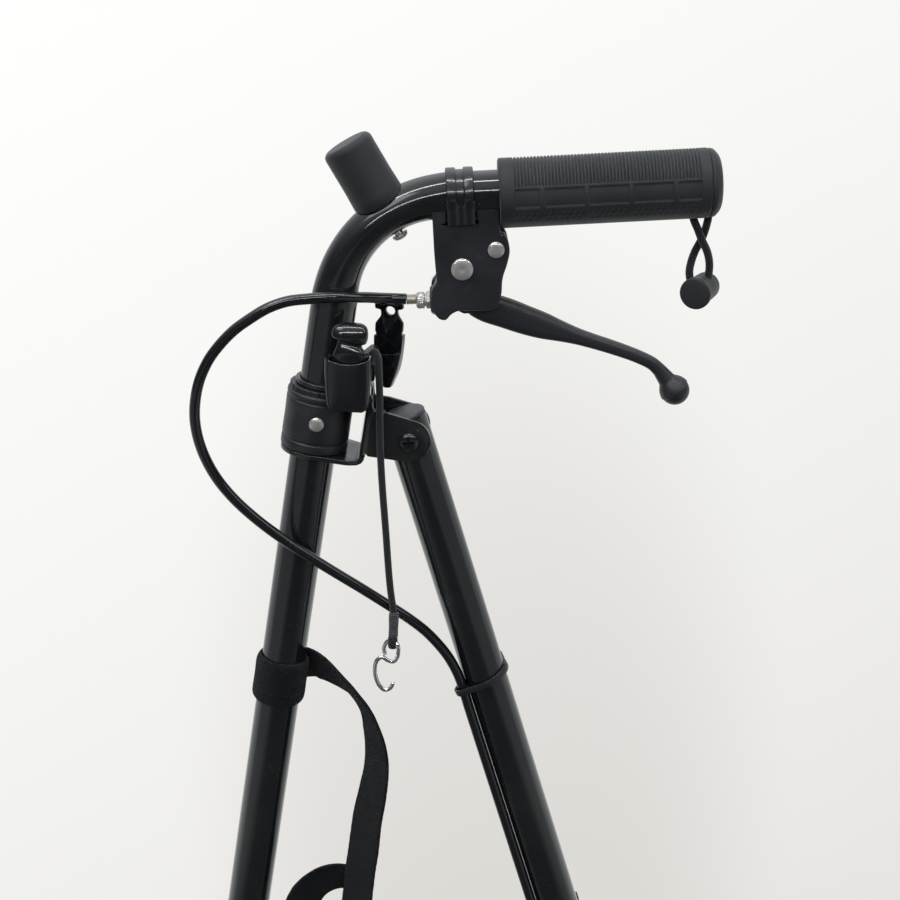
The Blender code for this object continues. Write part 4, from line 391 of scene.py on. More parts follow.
def round_end(path, radius):
    """Scales that draw a carried section in over its last few stations, for a domed end at both ends."""
    run = distances(path)
    near = np.minimum(run, run[-1] - run)
    inside = np.clip(near / radius, 0.0, 1.0)
    return np.sqrt(np.clip(1 - (1 - inside) ** 2, 0.02, 1.0))


def inset(outline, depth):
    """A closed outline moved in along the mean normal of its two sides."""
    before, after = np.roll(outline, 1, 0), np.roll(outline, -1, 0)
    mean = unit(unit(outline - before) + unit(after - outline))
    area = 0.5 * np.sum(outline[:, 0] * after[:, 1] - after[:, 0] * outline[:, 1])
    inward = np.stack((-mean[:, 1], mean[:, 0]), 1) * np.sign(area)
    return outline + inward * depth


def edge_rows(low, high, edge, steps=4):
    """(inset, height) pairs of a softened edge: edge (1 - cos a) in while it rises edge sin a."""
    a = np.linspace(-pi / 2, 0.0, steps)
    foot = np.stack((edge * (1 - np.cos(a)), low + edge * (1 + np.sin(a))), 1)
    head = np.stack((edge * (1 - np.cos(a)), high - edge * (1 + np.sin(a))), 1)[::-1]
    return np.concatenate((foot, head))


def plate(outline, low, high, edge, put, hole=None, steps=4):
    """A flat outline (x, z) with thickness along Y and softened edges, and a round hole if asked for.

    Rows of the outline are drawn in by edge_rows.
    With a hole (x, z, radius, stretch along x) they go on round it."""
    outline = np.asarray(outline, float)
    rows = [np.insert(inset(outline, d), 1, y, axis=1) for d, y in edge_rows(low, high, edge, steps)]
    if hole is not None:
        centre, stretch = np.array(hole[:2]), (*hole[3:], 1.0, 1.0)[:2]
        spoke = unit(outline - centre)
        for d, y in edge_rows(low, high, 0.4 * MM, 3)[::-1]:
            rows.append(np.insert(centre + spoke * (hole[2] + d) * stretch, 1, y, axis=1))
        return skin(put(np.array(rows)), round_rows=True)
    lip = 0.25 * MM
    rows.insert(0, np.insert(inset(outline, edge + lip), 1, low, axis=1))
    rows.append(np.insert(inset(outline, edge + lip), 1, high, axis=1))
    points, quads, uv, _ = lattice(put(np.array(rows)))
    face = np.arange(len(outline))
    last = (len(rows) - 1) * len(outline)
    flat = rows[0][:, [0, 2]]
    return Skin(points, [quads, face[None, ::-1], last + face[None]], [uv, flat[None, ::-1], flat[None]])


# Finishes: shader maths written as expressions


class Wire:
    """A shader socket in an expression: each operator adds one Math node to the finish."""

    def __init__(self, finish, socket):
        self.finish, self.socket = finish, socket

    def maths(self, operation, *values):
        return self.finish.node("ShaderNodeMath", {"operation": operation, "use_clamp": False}, *values)

    def __add__(self, other):
        return self.maths("ADD", self, other)

    def __sub__(self, other):
        return self.maths("SUBTRACT", self, other)

    def __mul__(self, other):
        return self.maths("MULTIPLY", self, other)

    def __truediv__(self, other):
        return self.maths("DIVIDE", self, other)

    def __pow__(self, other):
        return self.maths("POWER", self, other)

    __radd__, __rmul__ = __add__, __mul__

    def __rsub__(self, other):
        return self.maths("SUBTRACT", other, self)

    def __rtruediv__(self, other):
        return self.maths("DIVIDE", other, self)

    def sin(self):
        return self.maths("SINE", self)

    def abs(self):
        return self.maths("ABSOLUTE", self)

    def clamped(self, low=0.0, high=1.0):
        return self.maths("MINIMUM", self.maths("MAXIMUM", self, low), high)

    def ramp(self, low, high, to_low=0.0, to_high=1.0):
        """Smooth step from to_low at low to to_high at high."""
        settings = {"interpolation_type": "SMOOTHSTEP"}
        return self.finish.node("ShaderNodeMapRange", settings, self, low, high, to_low, to_high)


class Nodes:
    """A node tree that nodes and expressions are added to."""

    def __init__(self, tree):
        self.tree = tree

    def node(self, kind, settings=None, *values, out=0, **named):
        """Any node: its settings first, then values or links for its sockets, by order or by name."""
        made = self.tree.nodes.new(kind)
        for key, value in (settings or {}).items():
            setattr(made, key, value)
        open_sockets = [s for s in made.inputs if s.enabled]
        pairs = list(zip(open_sockets, values))
        pairs += [(made.inputs[key.replace("_", " ")], value) for key, value in named.items()]
        for socket, value in pairs:
            if isinstance(value, Wire):
                self.tree.links.new(value.socket, socket)
            else:
                socket.default_value = value
        chosen = [s for s in made.outputs if s.enabled][out] if isinstance(out, int) else made.outputs[out]
        return Wire(self, chosen)

    def place(self):
        """Object coordinates, in metres."""
        return self.node("ShaderNodeTexCoord", out="Object")

    def uv(self):
        """(share round, metres along) of a carried section."""
        return self.node("ShaderNodeUVMap", {"uv_map": "run"})

    def parts(self, vector):
        """x, y and z of a vector."""
        split = self.tree.nodes.new("ShaderNodeSeparateXYZ")
        self.tree.links.new(vector.socket, split.inputs[0])
        return [Wire(self, out) for out in split.outputs]

    def noise(self, vector, size, detail=3.0, rough=0.55):
        """Fractal noise whose features are about size metres across."""
        return self.node("ShaderNodeTexNoise", Vector=vector, Scale=1.0 / size, Detail=detail,
                         Roughness=rough)

    def cells(self, vector, size):
        """Distance to the nearest of scattered points, size metres apart."""
        return self.node("ShaderNodeTexVoronoi", Vector=vector, Scale=1.0 / size)

    def stretched(self, vector, x, y, z):
        """A vector with each axis at its own scale."""
        return self.node("ShaderNodeVectorMath", {"operation": "MULTIPLY"}, vector, (x, y, z))

    def mixed(self, share, first, second):
        """Colour mix by a share."""
        settings = {"data_type": "RGBA"}
        return self.node("ShaderNodeMix", settings, share, colour(first), colour(second))

    def bumped(self, height, depth, strength):
        """Normal bumped by a height in shares of depth metres."""
        return self.node("ShaderNodeBump", Height=height, Distance=depth, Strength=strength)


class Finish(Nodes):
    """A node material on the standard shader."""

    def __init__(self, name, **constants):
        self.material = bpy.data.materials.new(name)
        self.material.use_nodes = True
        super().__init__(self.material.node_tree)
        self.shader = self.tree.nodes["Principled BSDF"]
        for socket, value in constants.items():
            self.shader.inputs[socket.replace("_", " ").title().replace("Ior", "IOR")].default_value = value

    def shade(self, **links):
        """Puts values or links on the shader's sockets, and gives the material."""
        for name, wire in links.items():
            socket = self.shader.inputs[name.replace("_", " ").title()]
            if isinstance(wire, Wire):
                self.tree.links.new(wire.socket, socket)
            else:
                socket.default_value = wire
        return self.material


def colour(value):
    """A colour as a socket takes it."""
    return value if isinstance(value, Wire) else (*value, 1.0)


def lighter(rgb, by):
    """A colour times a number, held at 1."""
    return tuple(min(1.0, c * by) for c in rgb)


def gloss_paint(name, rgb, roughness=0.10, dust=0.4, coat=0.35):
    """Gloss powder coat: faint orange peel, fine dust that catches the light, a few hair scratches."""
    f = Finish(name, coat_weight=coat, coat_roughness=0.04, specular_ior_level=0.55)
    at = f.place()
    peel = f.noise(at, 2.2 * MM, 2.0)
    cloud = f.noise(at, 40 * MM, 4.0)
    specks = f.cells(at, 2.6 * MM).ramp(0.05, 0.16, 1.0, 0.0) * f.noise(at, 14 * MM, 2.0).ramp(0.52, 0.66)
    hair = f.noise(f.stretched(at, 14.0, 14.0, 0.9), 3 * MM, 1.0).ramp(0.70, 0.74)
    scuffs = hair * f.noise(at, 60 * MM, 2.0).ramp(0.50, 0.70)
    film = cloud.ramp(0.42, 0.70) * dust
    base = f.mixed(film * 0.35, rgb, (0.055, 0.056, 0.052))
    base = f.mixed(specks * 0.55 * dust, base, (0.30, 0.30, 0.27))
    base = f.mixed(scuffs * 0.5 * dust, base, (0.16, 0.16, 0.15))
    rough = roughness + film * 0.10 + specks * 0.30 + scuffs * 0.25
    normal = f.bumped(peel + scuffs * -0.5, 0.05 * MM, 0.30)
    return f.shade(base_color=base, roughness=rough, normal=normal)


def moulded_plastic(name, rgb, roughness=0.34, grain=0.35, dust=0.5):
    """Injection moulded plastic: spark-eroded grain, soft clouding, rubbed lighter patches."""
    f = Finish(name, specular_ior_level=0.5)
    at = f.place()
    grain_height = f.noise(at, 0.55 * MM, 3.0, 0.7)
    cloud = f.noise(at, 18 * MM, 4.0)
    rubbed = f.noise(at, 6 * MM, 5.0, 0.65).ramp(0.56, 0.74)
    base = f.mixed(cloud.ramp(0.35, 0.75) * 0.5, rgb, lighter(rgb, 2.0))
    base = f.mixed(rubbed * 0.30 * dust, base, (0.10, 0.10, 0.10))
    rough = roughness + (cloud - 0.5) * 0.18 + rubbed * 0.16
    return f.shade(base_color=base, roughness=rough, normal=f.bumped(grain_height, 0.06 * MM, grain))


def polished_plastic(name, rgb):
    """Glossy plastic with a slight ripple and hair scratches."""
    f = Finish(name, coat_weight=0.3, coat_roughness=0.03, specular_ior_level=0.6)
    at = f.place()
    ripple = f.noise(at, 7 * MM, 2.0)
    hair = f.noise(f.stretched(at, 9.0, 9.0, 1.2), 2 * MM, 1.0).ramp(0.68, 0.73)
    marks = hair * f.noise(at, 22 * MM, 2.0).ramp(0.46, 0.66)
    base = f.mixed(marks * 0.4, rgb, (0.12, 0.12, 0.12))
    normal = f.bumped(ripple, 0.35 * MM, 0.22)
    return f.shade(base_color=base, roughness=0.07 + marks * 0.3 + ripple * 0.05, normal=normal)


def soft_rubber(name, rgb, roughness=0.62, bloom=0.6):
    """Matte rubber: fine tooth, pale bloom in patches and dust caught on it."""
    f = Finish(name, sheen_weight=0.25, sheen_roughness=0.4, specular_ior_level=0.35)
    at = f.place()
    tooth = f.noise(at, 0.35 * MM, 3.0, 0.7)
    cloud = f.noise(at, 22 * MM, 5.0, 0.6)
    lint = f.cells(at, 1.9 * MM).ramp(0.04, 0.12, 1.0, 0.0) * f.noise(at, 9 * MM, 2.0).ramp(0.55, 0.70)
    base = f.mixed(cloud.ramp(0.36, 0.72) * bloom * 0.55, rgb, lighter(rgb, 2.1))
    base = f.mixed(lint * 0.35, base, (0.22, 0.22, 0.21))
    rough = roughness + (cloud - 0.5) * 0.16
    return f.shade(base_color=base, roughness=rough, normal=f.bumped(tooth, 0.08 * MM, 0.45))


def wheel_rubber(name, rgb):
    """Tyre rubber with grey road dust worked into it and small nicks."""
    f = Finish(name, specular_ior_level=0.3)
    at = f.place()
    tooth = f.noise(at, 0.6 * MM, 4.0, 0.7)
    dust = f.noise(at, 16 * MM, 5.0, 0.62).ramp(0.40, 0.72)
    nicks = f.cells(at, 5 * MM).ramp(0.05, 0.14, 1.0, 0.0) * f.noise(at, 12 * MM, 2.0).ramp(0.56, 0.66)
    base = f.mixed(dust * 0.5, rgb, (0.075, 0.073, 0.068))
    base = f.mixed(nicks * 0.5, base, (0.012, 0.012, 0.012))
    rough = 0.72 + dust * 0.15
    return f.shade(base_color=base, roughness=rough, normal=f.bumped(tooth - nicks, 0.12 * MM, 0.5))


def plated_steel(name, rgb, roughness):
    """Zinc plated steel: cloudy plating, turning marks and dull spots."""
    f = Finish(name, metallic=0.72)
    at = f.place()
    cloud = f.noise(at, 5 * MM, 4.0)
    fine = f.noise(f.stretched(at, 1.0, 6.0, 1.0), 0.5 * MM, 2.0)
    spots = f.cells(at, 2.2 * MM).ramp(0.08, 0.22, 1.0, 0.0) * cloud.ramp(0.50, 0.62)
    base = f.mixed(cloud.ramp(0.38, 0.70) * 0.25, rgb, lighter(rgb, 0.66))
    base = f.mixed(spots * 0.5, base, (0.26, 0.24, 0.22))
    rough = roughness + (cloud - 0.5) * 0.20 + spots * 0.3
    normal = f.bumped(fine, 0.03 * MM, 0.35)
    return f.shade(base_color=base, roughness=rough.clamped(0.05, 0.9), normal=normal)


def bright_chrome(name, rgb):
    """Chrome with a faint haze in patches."""
    f = Finish(name, metallic=1.0)
    at = f.place()
    haze = f.noise(at, 3 * MM, 3.0)
    base = f.mixed(haze.ramp(0.45, 0.75) * 0.25, rgb, (0.60, 0.59, 0.58))
    rough = 0.05 + haze.ramp(0.5, 0.8) * 0.14
    return f.shade(base_color=base, roughness=rough, normal=f.bumped(haze, 0.05 * MM, 0.2))


def braided_cord(name, rgb, strands=8, pitch=3.4 * MM, fuzz=0.5):
    """Braid from the piece's own UV: two sets of strands that cross, |sin| of n turns plus and minus run."""
    f = Finish(name, sheen_weight=0.35, sheen_roughness=0.5, specular_ior_level=0.25)
    around, along, _ = f.parts(f.uv())
    run = along * (pi / pitch)
    turn = around * (pi * strands)
    one, two = (turn + run).sin().abs(), (turn - run).sin().abs()
    over = f.node("ShaderNodeMath", {"operation": "MAXIMUM"}, one, two)
    under = f.node("ShaderNodeMath", {"operation": "MINIMUM"}, one, two)
    yarn = over ** 0.7 * 0.7 + under * 0.3
    at = f.place()
    hair = f.noise(at, 0.25 * MM, 3.0, 0.7)
    # Painted shade and light: the colour follows the braid's height, with painted shade in the valleys
    # between strands and painted light on their tops
    base = f.mixed(yarn.ramp(0.45, 1.0) * 0.75, lighter(rgb, 0.45), lighter(rgb, 2.4))
    base = f.mixed(hair.ramp(0.55, 0.80) * 0.4 * fuzz, base, (0.09, 0.09, 0.09))
    height = yarn + hair * 0.25
    return f.shade(base_color=base, roughness=0.85, normal=f.bumped(height, 0.30 * MM, 0.75))


def loop_webbing(name, rgb):
    """Hook and loop webbing: a nap of tiny loops over a plain weave, with lint on it."""
    f = Finish(name, sheen_weight=0.10, sheen_roughness=0.45, specular_ior_level=0.10)
    rgb = tuple(v * k for v, k in zip(rgb, (0.95, 1.0, 1.18)))
    at = f.place()
    loops = f.cells(at, 0.9 * MM)
    nap = f.noise(at, 0.5 * MM, 4.0, 0.75)
    patch = f.noise(at, 6 * MM, 4.0)
    lint = f.noise(at, 0.9 * MM, 5.0, 0.8).ramp(0.62, 0.72) * patch.ramp(0.46, 0.60)
    # Painted shade: the colour follows the nap's height, darker in the pits between the loops
    base = f.mixed(loops.ramp(0.15, 0.75), lighter(rgb, 0.35), lighter(rgb, 1.25))
    base = f.mixed(patch.ramp(0.45, 0.75) * 0.4, base, lighter(rgb, 1.7))
    base = f.mixed(lint * 0.5, base, (0.13, 0.13, 0.125))
    return f.shade(base_color=base, roughness=0.97, normal=f.bumped(loops + nap * 0.8, 0.8 * MM, 1.0))


# Each finish: its slot, how it is made, the material's name, its colour and the maker's own settings.
# A colour is a setting of the panel and how many times lighter, or three values of its own.
FINISHES = {
    "paint": ("black_paint", gloss_paint, "gloss_black_coat", ("paint", 1.0)),
    "paint_plain": ("black_paint", gloss_paint, "satin_black_coat", ("paint", 1.0), 0.20, 0.25),
    "moulding": ("black_plastic", moulded_plastic, "satin_black_moulding", ("moulding", 1.0)),
    "gloss": ("black_gloss_plastic", polished_plastic, "polished_black_plastic", (0.009, 0.010, 0.012)),
    "jacket": ("black_gloss_plastic", polished_plastic, "cable_jacket", (0.008, 0.009, 0.011)),
    "rubber": ("black_rubber", soft_rubber, "grip_rubber", ("rubber", 1.0)),
    "shoe": ("black_rubber", soft_rubber, "brake_shoe_rubber", (0.018, 0.017, 0.017), 0.8, 0.3),
    "tyre": ("tyre_rubber", wheel_rubber, "tyre_rubber", (0.022, 0.022, 0.023)),
    "toggle": ("black_gloss_plastic", soft_rubber, "toggle_rubber", (0.024, 0.026, 0.029), 0.55, 0.4),
    "braid": ("black_cord", braided_cord, "braided_cord", ("cord", 1.0)),
    "whipping": ("black_cord", braided_cord, "lanyard_whipping", (0.055, 0.056, 0.060), 2, 1.4 * MM, 0.9),
    "webbing": ("black_cord", loop_webbing, "hook_and_loop_webbing", ("cord", 1.0)),
    "steel": ("bright_steel", plated_steel, "zinc_plated_steel", ("steel", 1.0), 0.30),
    "brass": ("bright_steel", plated_steel, "yellowed_ferrule", (0.60, 0.56, 0.47), 0.34),
    "chrome": ("chrome", bright_chrome, "chrome_wire", (0.86, 0.86, 0.87)),
    "lever": ("black_paint", gloss_paint, "lever_coat", ("paint", 1.8), 0.44, 0.3, 0.03),
    "bracket": ("black_paint", gloss_paint, "bracket_coat", ("paint", 1.0), 0.16, 0.7),
    "bolt": ("black_paint", gloss_paint, "black_bolt", ("paint", 1.0), 0.12, 0.2),
    "cap": ("black_plastic", moulded_plastic, "leg_cap_plastic", (0.05, 0.051, 0.055), 0.38, 0.4, 0.9),
    "hub": ("hub_plastic", moulded_plastic, "grey_hub_plastic", ("hub", 1.0), 0.42, 0.5, 0.8),
}


def finish(context, key):
    """The named finish, made on first use."""
    made = bpy.data.materials.get(context.scene.get("cane_finish_" + key, ""))
    if made is None:
        _, maker, name, tone, *settings = FINISHES[key]
        if isinstance(tone[0], str):
            tone = lighter(getattr(context.scene.cane_colours, tone[0]), tone[1])
        made = maker(name, tone, *settings)
        context.scene["cane_finish_" + key] = made.name
    return made


# Pieces


def written(name, skins):
    """One mesh from several closed skins, with its UV map, through foreach_set."""
    mesh = bpy.data.meshes.new(name)
    points, loops, totals, uvs, base = [], [], [], [], 0
    for made in skins:
        points.append(made.points)
        for block, uv in zip(made.faces, made.uvs):
            loops.append((block + base).ravel())
            totals.append(np.full(len(block), block.shape[1]))
            uvs.append(uv.reshape(-1, 2))
        base += len(made.points)
    points, loops, totals = np.concatenate(points), np.concatenate(loops), np.concatenate(totals)
    mesh.vertices.add(len(points))
    mesh.vertices.foreach_set("co", points.astype(np.float32).ravel())
    mesh.loops.add(len(loops))
    mesh.loops.foreach_set("vertex_index", loops.astype(np.int32))
    mesh.polygons.add(len(totals))
    mesh.polygons.foreach_set("loop_start", (np.cumsum(totals) - totals).astype(np.int32))
    layer = mesh.uv_layers.new(name="run")
    layer.data.foreach_set("uv", np.concatenate(uvs).astype(np.float32).ravel())
    mesh.update(calc_edges=True)
    if mesh.validate():
        raise RuntimeError(f"{name}: its faces had to be mended")
    return mesh


def piece(context, name, skins, key, body, *replaces, sharp=38.0):
    """A finished piece at the origin: mesh, finish, smooth faces with sharp creases, body and CAD nodes."""
    skins = skins if isinstance(skins, (list, tuple)) else [skins]
    mesh = written(name, skins)
    made = bpy.data.objects.new(name, mesh)
    context.scene.collection.objects.link(made)
    mesh.materials.append(finish(context, key))
    mesh.shade_smooth()
    mesh.set_sharp_from_angle(angle=radians(sharp))
    if body:
        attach(made, body)
    if replaces:
        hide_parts(*replaces)
    return made


# Camera and cords


class CANE_OT_camera(bpy.types.Operator):
    """Camera at the photograph's angle: 70 mm lens, 20 degrees down, rolled 2.9 degrees"""

    bl_idname = "cane.camera"
    bl_label = "Camera"

    def execute(self, context):
        ahead = Vector((0.0, cos(CAMERA_DOWN), -sin(CAMERA_DOWN)))
        up = Vector((0.0, sin(CAMERA_DOWN), cos(CAMERA_DOWN)))
        right = Vector((1.0, 0.0, 0.0))
        side = right * cos(CAMERA_ROLL) - up * sin(CAMERA_ROLL)
        top = right * sin(CAMERA_ROLL) + up * cos(CAMERA_ROLL)
        data = bpy.data.cameras.new("studio_camera")
        data.lens, data.sensor_width = 70.0, 36.0
        data.clip_start, data.clip_end = 0.01, 50.0
        made = bpy.data.objects.new("studio_camera", data)
        turn = Matrix((side, top, -ahead)).transposed().to_4x4()
        made.matrix_world = Matrix.Translation(CAMERA_AT) @ turn
        context.scene.collection.objects.link(made)
        context.scene.camera = made
        return {"FINISHED"}


def from_pivot(points):
    """Points given in millimetres from the fold pivot."""
    return np.asarray(points, float) * MM + PIVOT


def cord(path, radius, sides=24, domed=True):
    """A round cord carried along a path, its ends drawn in to domes."""
    share = round_end(path, radius) if domed else np.ones(len(path))
    return carried(path, circle(radius, sides), scale=np.stack((share, share), 1), across=(0.12, 0.98, 0.16))


LANYARD_STOPS = (
    (-18.5, -12.0, 46.0), (-17.7, -12.0, 49.8), (-15.4, -15.0, 52.6), (-13.8, -19.2, 49.6),
    (-13.8, -21.2, 42.0), (-14.1, -21.4, 30.0), (-15.2, -21.2, 12.0), (-15.9, -21.0, -15.0),
    (-15.6, -21.0, -51.0), (-15.2, -21.0, -85.0), (-14.0, -21.0, -102.7),
)
HOOK_STOPS = (
    (-20.5, -18.8, -129.2), (-21.1, -18.6, -125.1), (-19.3, -19.0, -120.9), (-16.8, -19.8, -119.2),
    (-14.5, -21.4, -119.5), (-12.9, -23.0, -121.6), (-12.9, -22.6, -125.6), (-13.7, -21.6, -129.6),
    (-16.2, -21.0, -132.5), (-19.3, -21.0, -131.5), (-22.4, -21.0, -129.3), (-25.3, -21.0, -131.0),
    (-27.0, -21.0, -136.0), (-26.8, -21.0, -141.7), (-25.0, -21.0, -147.5), (-22.0, -21.0, -150.5),
    (-18.6, -21.0, -149.2), (-16.9, -21.0, -145.7),
)
LOOP_STOPS = (
    (160.1, 0.6, 119.5), (160.1, 0.0, 116.8), (160.7, -1.0, 113.6), (162.8, -3.0, 108.1),
    (164.5, -3.6, 103.2), (167.7, -2.6, 96.0), (169.2, -1.0, 89.2), (169.1, -0.5, 84.2),
    (168.2, -0.6, 79.0), (165.9, -1.2, 75.0), (162.9, -2.4, 74.0), (160.0, -3.6, 76.0), (158.4, -4.2, 80.5),
    (157.9, -3.6, 85.4), (159.1, -1.0, 89.7), (161.7, 1.8, 95.2), (165.4, 2.6, 101.7), (167.2, 1.6, 106.9),
    (168.7, 0.6, 113.6), (168.9, 0.5, 116.8), (168.4, 0.5, 119.5),
)
CABLE_STOPS = (
    (3.0, 0.0, 77.3), (-4.0, -0.2, 78.0), (-10.5, -2.6, 79.2), (-17.5, -7.0, 81.1), (-25.0, -12.2, 82.9),
    (-37.0, -17.6, 85.0), (-50.0, -19.2, 85.2), (-60.5, -19.2, 84.4), (-71.1, -19.0, 81.2),
    (-81.9, -18.6, 75.3), (-90.7, -18.2, 69.4), (-98.9, -18.0, 61.8), (-105.7, -18.0, 53.6),
    (-111.7, -18.0, 42.5), (-115.1, -18.0, 31.2), (-116.5, -18.0, 19.6), (-115.6, -18.0, 7.9),
    (-112.5, -18.0, -4.1), (-107.1, -18.0, -16.2), (-98.7, -18.0, -28.7), (-87.3, -18.0, -41.4),
    (-73.9, -18.0, -53.8), (-60.0, -17.9, -65.2), (-45.0, -17.0, -77.2), (-30.8, -15.2, -88.7),
    (-17.0, -13.2, -100.4), (-5.7, -11.4, -110.4), (3.0, -9.8, -119.4), (10.2, -8.6, -129.0),
    (15.9, -7.6, -138.6),
)
CABLE_SIDE, CABLE_LEG_Y, CABLE_LOW_Y = 14.5 * MM, -7.0 * MM, -14.0 * MM   # beside the leg, in its frame
CABLE_END = AXLE_ALONG + 155.3 * MM


def cable_path(spacing):
    """The brake cable's centre line: through the visible loop, then down the rear leg to its stop."""
    downs = [-152.0 * MM, -175.0 * MM, -200.0 * MM]
    downs += [downs[-1] + share * (CABLE_END - downs[-1]) for share in (0.18, 0.39, 0.60, 0.75)]
    leg = [(-CABLE_SIDE, CABLE_LEG_Y, z) for z in downs]
    leg += [(-CABLE_SIDE, CABLE_LOW_Y, CABLE_END + 25 * MM), (-CABLE_SIDE, CABLE_LOW_Y, CABLE_END)]
    return spline(np.concatenate((from_pivot(CABLE_STOPS), LEG.put(leg))), spacing)


class CANE_OT_cords(bpy.types.Operator):
    """Brake cable, lanyard with whipping and S hook, wrist loop with toggle, carried along splines"""

    bl_idname = "cane.cords"
    bl_label = "Cords"

    def execute(self, context):
        sizes = context.scene.cane_sizes
        self.cable(context, sizes.cable_diameter)
        self.lanyard(context, sizes.lanyard_diameter)
        self.loop(context, sizes.loop_diameter)
        return {"FINISHED"}

    def cable(self, context, diameter):
        """Brake cable from the adjuster down to its stop on the rear tube."""
        path = cable_path(1.2 * MM)
        made = piece(context, "cable_jacket", cord(path, diameter / 2, 28, False), "jacket", None,
                     "brake_cable")
        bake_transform(made)

    def lanyard(self, context, diameter):
        """Braided cord over the clips, the thread wound round its end, and the hook."""
        path = spline(from_pivot(LANYARD_STOPS), 0.5 * MM)
        made = piece(context, "lanyard_braid", cord(path, diameter / 2, 32), "braid", "frame", "lanyard_cord")
        top = from_pivot((-13.9, -21.0, -101.0))
        whipping = piece(context, "lanyard_winding", self.winding(top), "whipping", "frame",
                         "lanyard_whipping")
        rows = rounded(mm((0.0, 0.5), (2.7, 0.5), (3.0, -3.6), (2.6, -7.0), (0.0, -7.4)), 1.6 * MM, 6)
        fold = turned(rows, Frame(from_pivot((-15.5, -21.2, -116.7)), radians(4.0)).put, steps=40)
        fold = piece(context, "lanyard_fold", fold, "braid", "frame")
        wire = spline(from_pivot(HOOK_STOPS), 0.35 * MM)
        hook = piece(context, "lanyard_hook", cord(wire, 1.3 * MM, 24), "chrome", "frame", "s_hook")

    def winding(self, top):
        """Thread wound round the cord's end: the radius ripples once a turn and ends in soft shoulders."""
        share = np.linspace(0.0, 1.0, 110)
        height = -16.0 * MM * share
        body = 2.75 * MM * (1 - 0.22 * np.abs(2 * share - 1) ** 14)
        ripple = 0.11 * MM * np.cos(2 * pi * share * 15) + 0.10 * MM * np.sin(7 * share)
        profile = np.stack((body + ripple, height), 1)
        put = Frame(top, radians(5.0)).put
        return turned(np.concatenate((((0.0, 0.0),), profile, ((0.0, -16.0 * MM),))), put, steps=48)

    def loop(self, context, diameter):
        """Cord loop out of the gap at the grip's plug, with its toggle."""
        path = spline(from_pivot(LOOP_STOPS), 0.5 * MM)
        made = piece(context, "wrist_loop_cord", cord(path, diameter / 2, 32), "braid", "frame", "grip_loop")
        toggle = piece(context, "wrist_loop_toggle", self.toggle(), "toggle", "frame", "loop_toggle")

    def toggle(self):
        """Turned barrel with a broad disc at its near end, dished in the middle."""
        rows = [(0, 10.6), (4.2, 10.6), (7.6, 10.2), (7.9, 3.0), (7.7, -5.6), (8.7, -6.4), (8.8, -10.0),
                (5.4, -10.5), (0, -10.7)]
        profile = rounded(np.array(rows) * MM, 1.1 * MM, 6)
        return turned(profile, Frame(from_pivot((164.4, -1.6, 74.6)), 0.0, radians(-28.0)).put, "Y", 64)


# Tubes


def bend_place(share):
    """Point on the bend's centre line and its outward direction; share 0 is the lower end."""
    a = MAIN_LEAN + np.asarray(share, float) * BEND_TURN
    out = np.stack((-np.cos(a), 0 * a, np.sin(a)), -1)
    return BEND_CENTRE + out * BEND_RADIUS, out


def squeezed(share):
    """Share of the full squeeze: sin(pi s)^0.7 along the bend, none on the straight runs."""
    return np.sin(pi * np.clip(share, 0.0, 1.0)).clip(0.0) ** 0.7


class CANE_OT_main_tube(bpy.types.Operator):
    """Main tube: outer and inner walls carried along the leg run, the squeezed bend and the grip run"""

    bl_idname = "cane.main_tube"
    bl_label = "Main tube"

    def execute(self, context):
        sizes = context.scene.cane_sizes
        shares = np.linspace(0.0, 1.0, 64)
        bend, out = bend_place(shares)
        low = MAIN.put(((0.0, 0.0, 0.0),))[0]
        down = np.array((-sin(MAIN_LEAN), 0.0, -cos(MAIN_LEAN)))
        foot_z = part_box("main_tube")[0][2] + sizes.tube_diameter / 2 * sin(MAIN_LEAN)
        foot = low + down * ((low[2] - foot_z) / cos(MAIN_LEAN))
        leg = foot + (bend[0] - foot) * np.linspace(0.0, 1.0, 60, endpoint=False)[:, None]
        end = PIVOT + (GRIP_END - 2.0 * MM, 0.0, GRIP_Z)
        run = bend[-1] + (end - bend[-1]) * np.linspace(0.0, 1.0, 12)[1:, None]
        path = np.concatenate((leg, bend, run))
        outward = np.concatenate((np.broadcast_to(out[0], leg.shape), out,
                                  np.broadcast_to(out[-1], run.shape)))
        share = np.concatenate((np.zeros(60), squeezed(shares), np.zeros(11)))
        a = angles(72)

        def wall(radius):
            """P(s) + depth(a, s) out(s) + width(a, s) Y, flattened in the bend."""
            deep = radius * (1 - sizes.bend_squeeze * share)[:, None, None]
            wide = radius * (1 + 0.06 * share)[:, None, None]
            flat = np.abs(np.cos(a)) ** 1.5 * np.sign(np.cos(a))
            depth = np.cos(a) + (flat - np.cos(a)) * 0.25 * share[:, None]
            across = np.array((0.0, 1.0, 0.0)) * wide * np.sin(a)[None, :, None]
            return path[:, None] + outward[:, None] * deep * depth[..., None] + across

        outer = wall(sizes.tube_diameter / 2)
        inner = wall(sizes.tube_diameter / 2 - WALL)
        grid = np.concatenate((outer, inner[::-1]))
        piece(context, "bent_main_tube", skin(grid, round_rows=True), "paint", "frame", "main_tube")
        return {"FINISHED"}


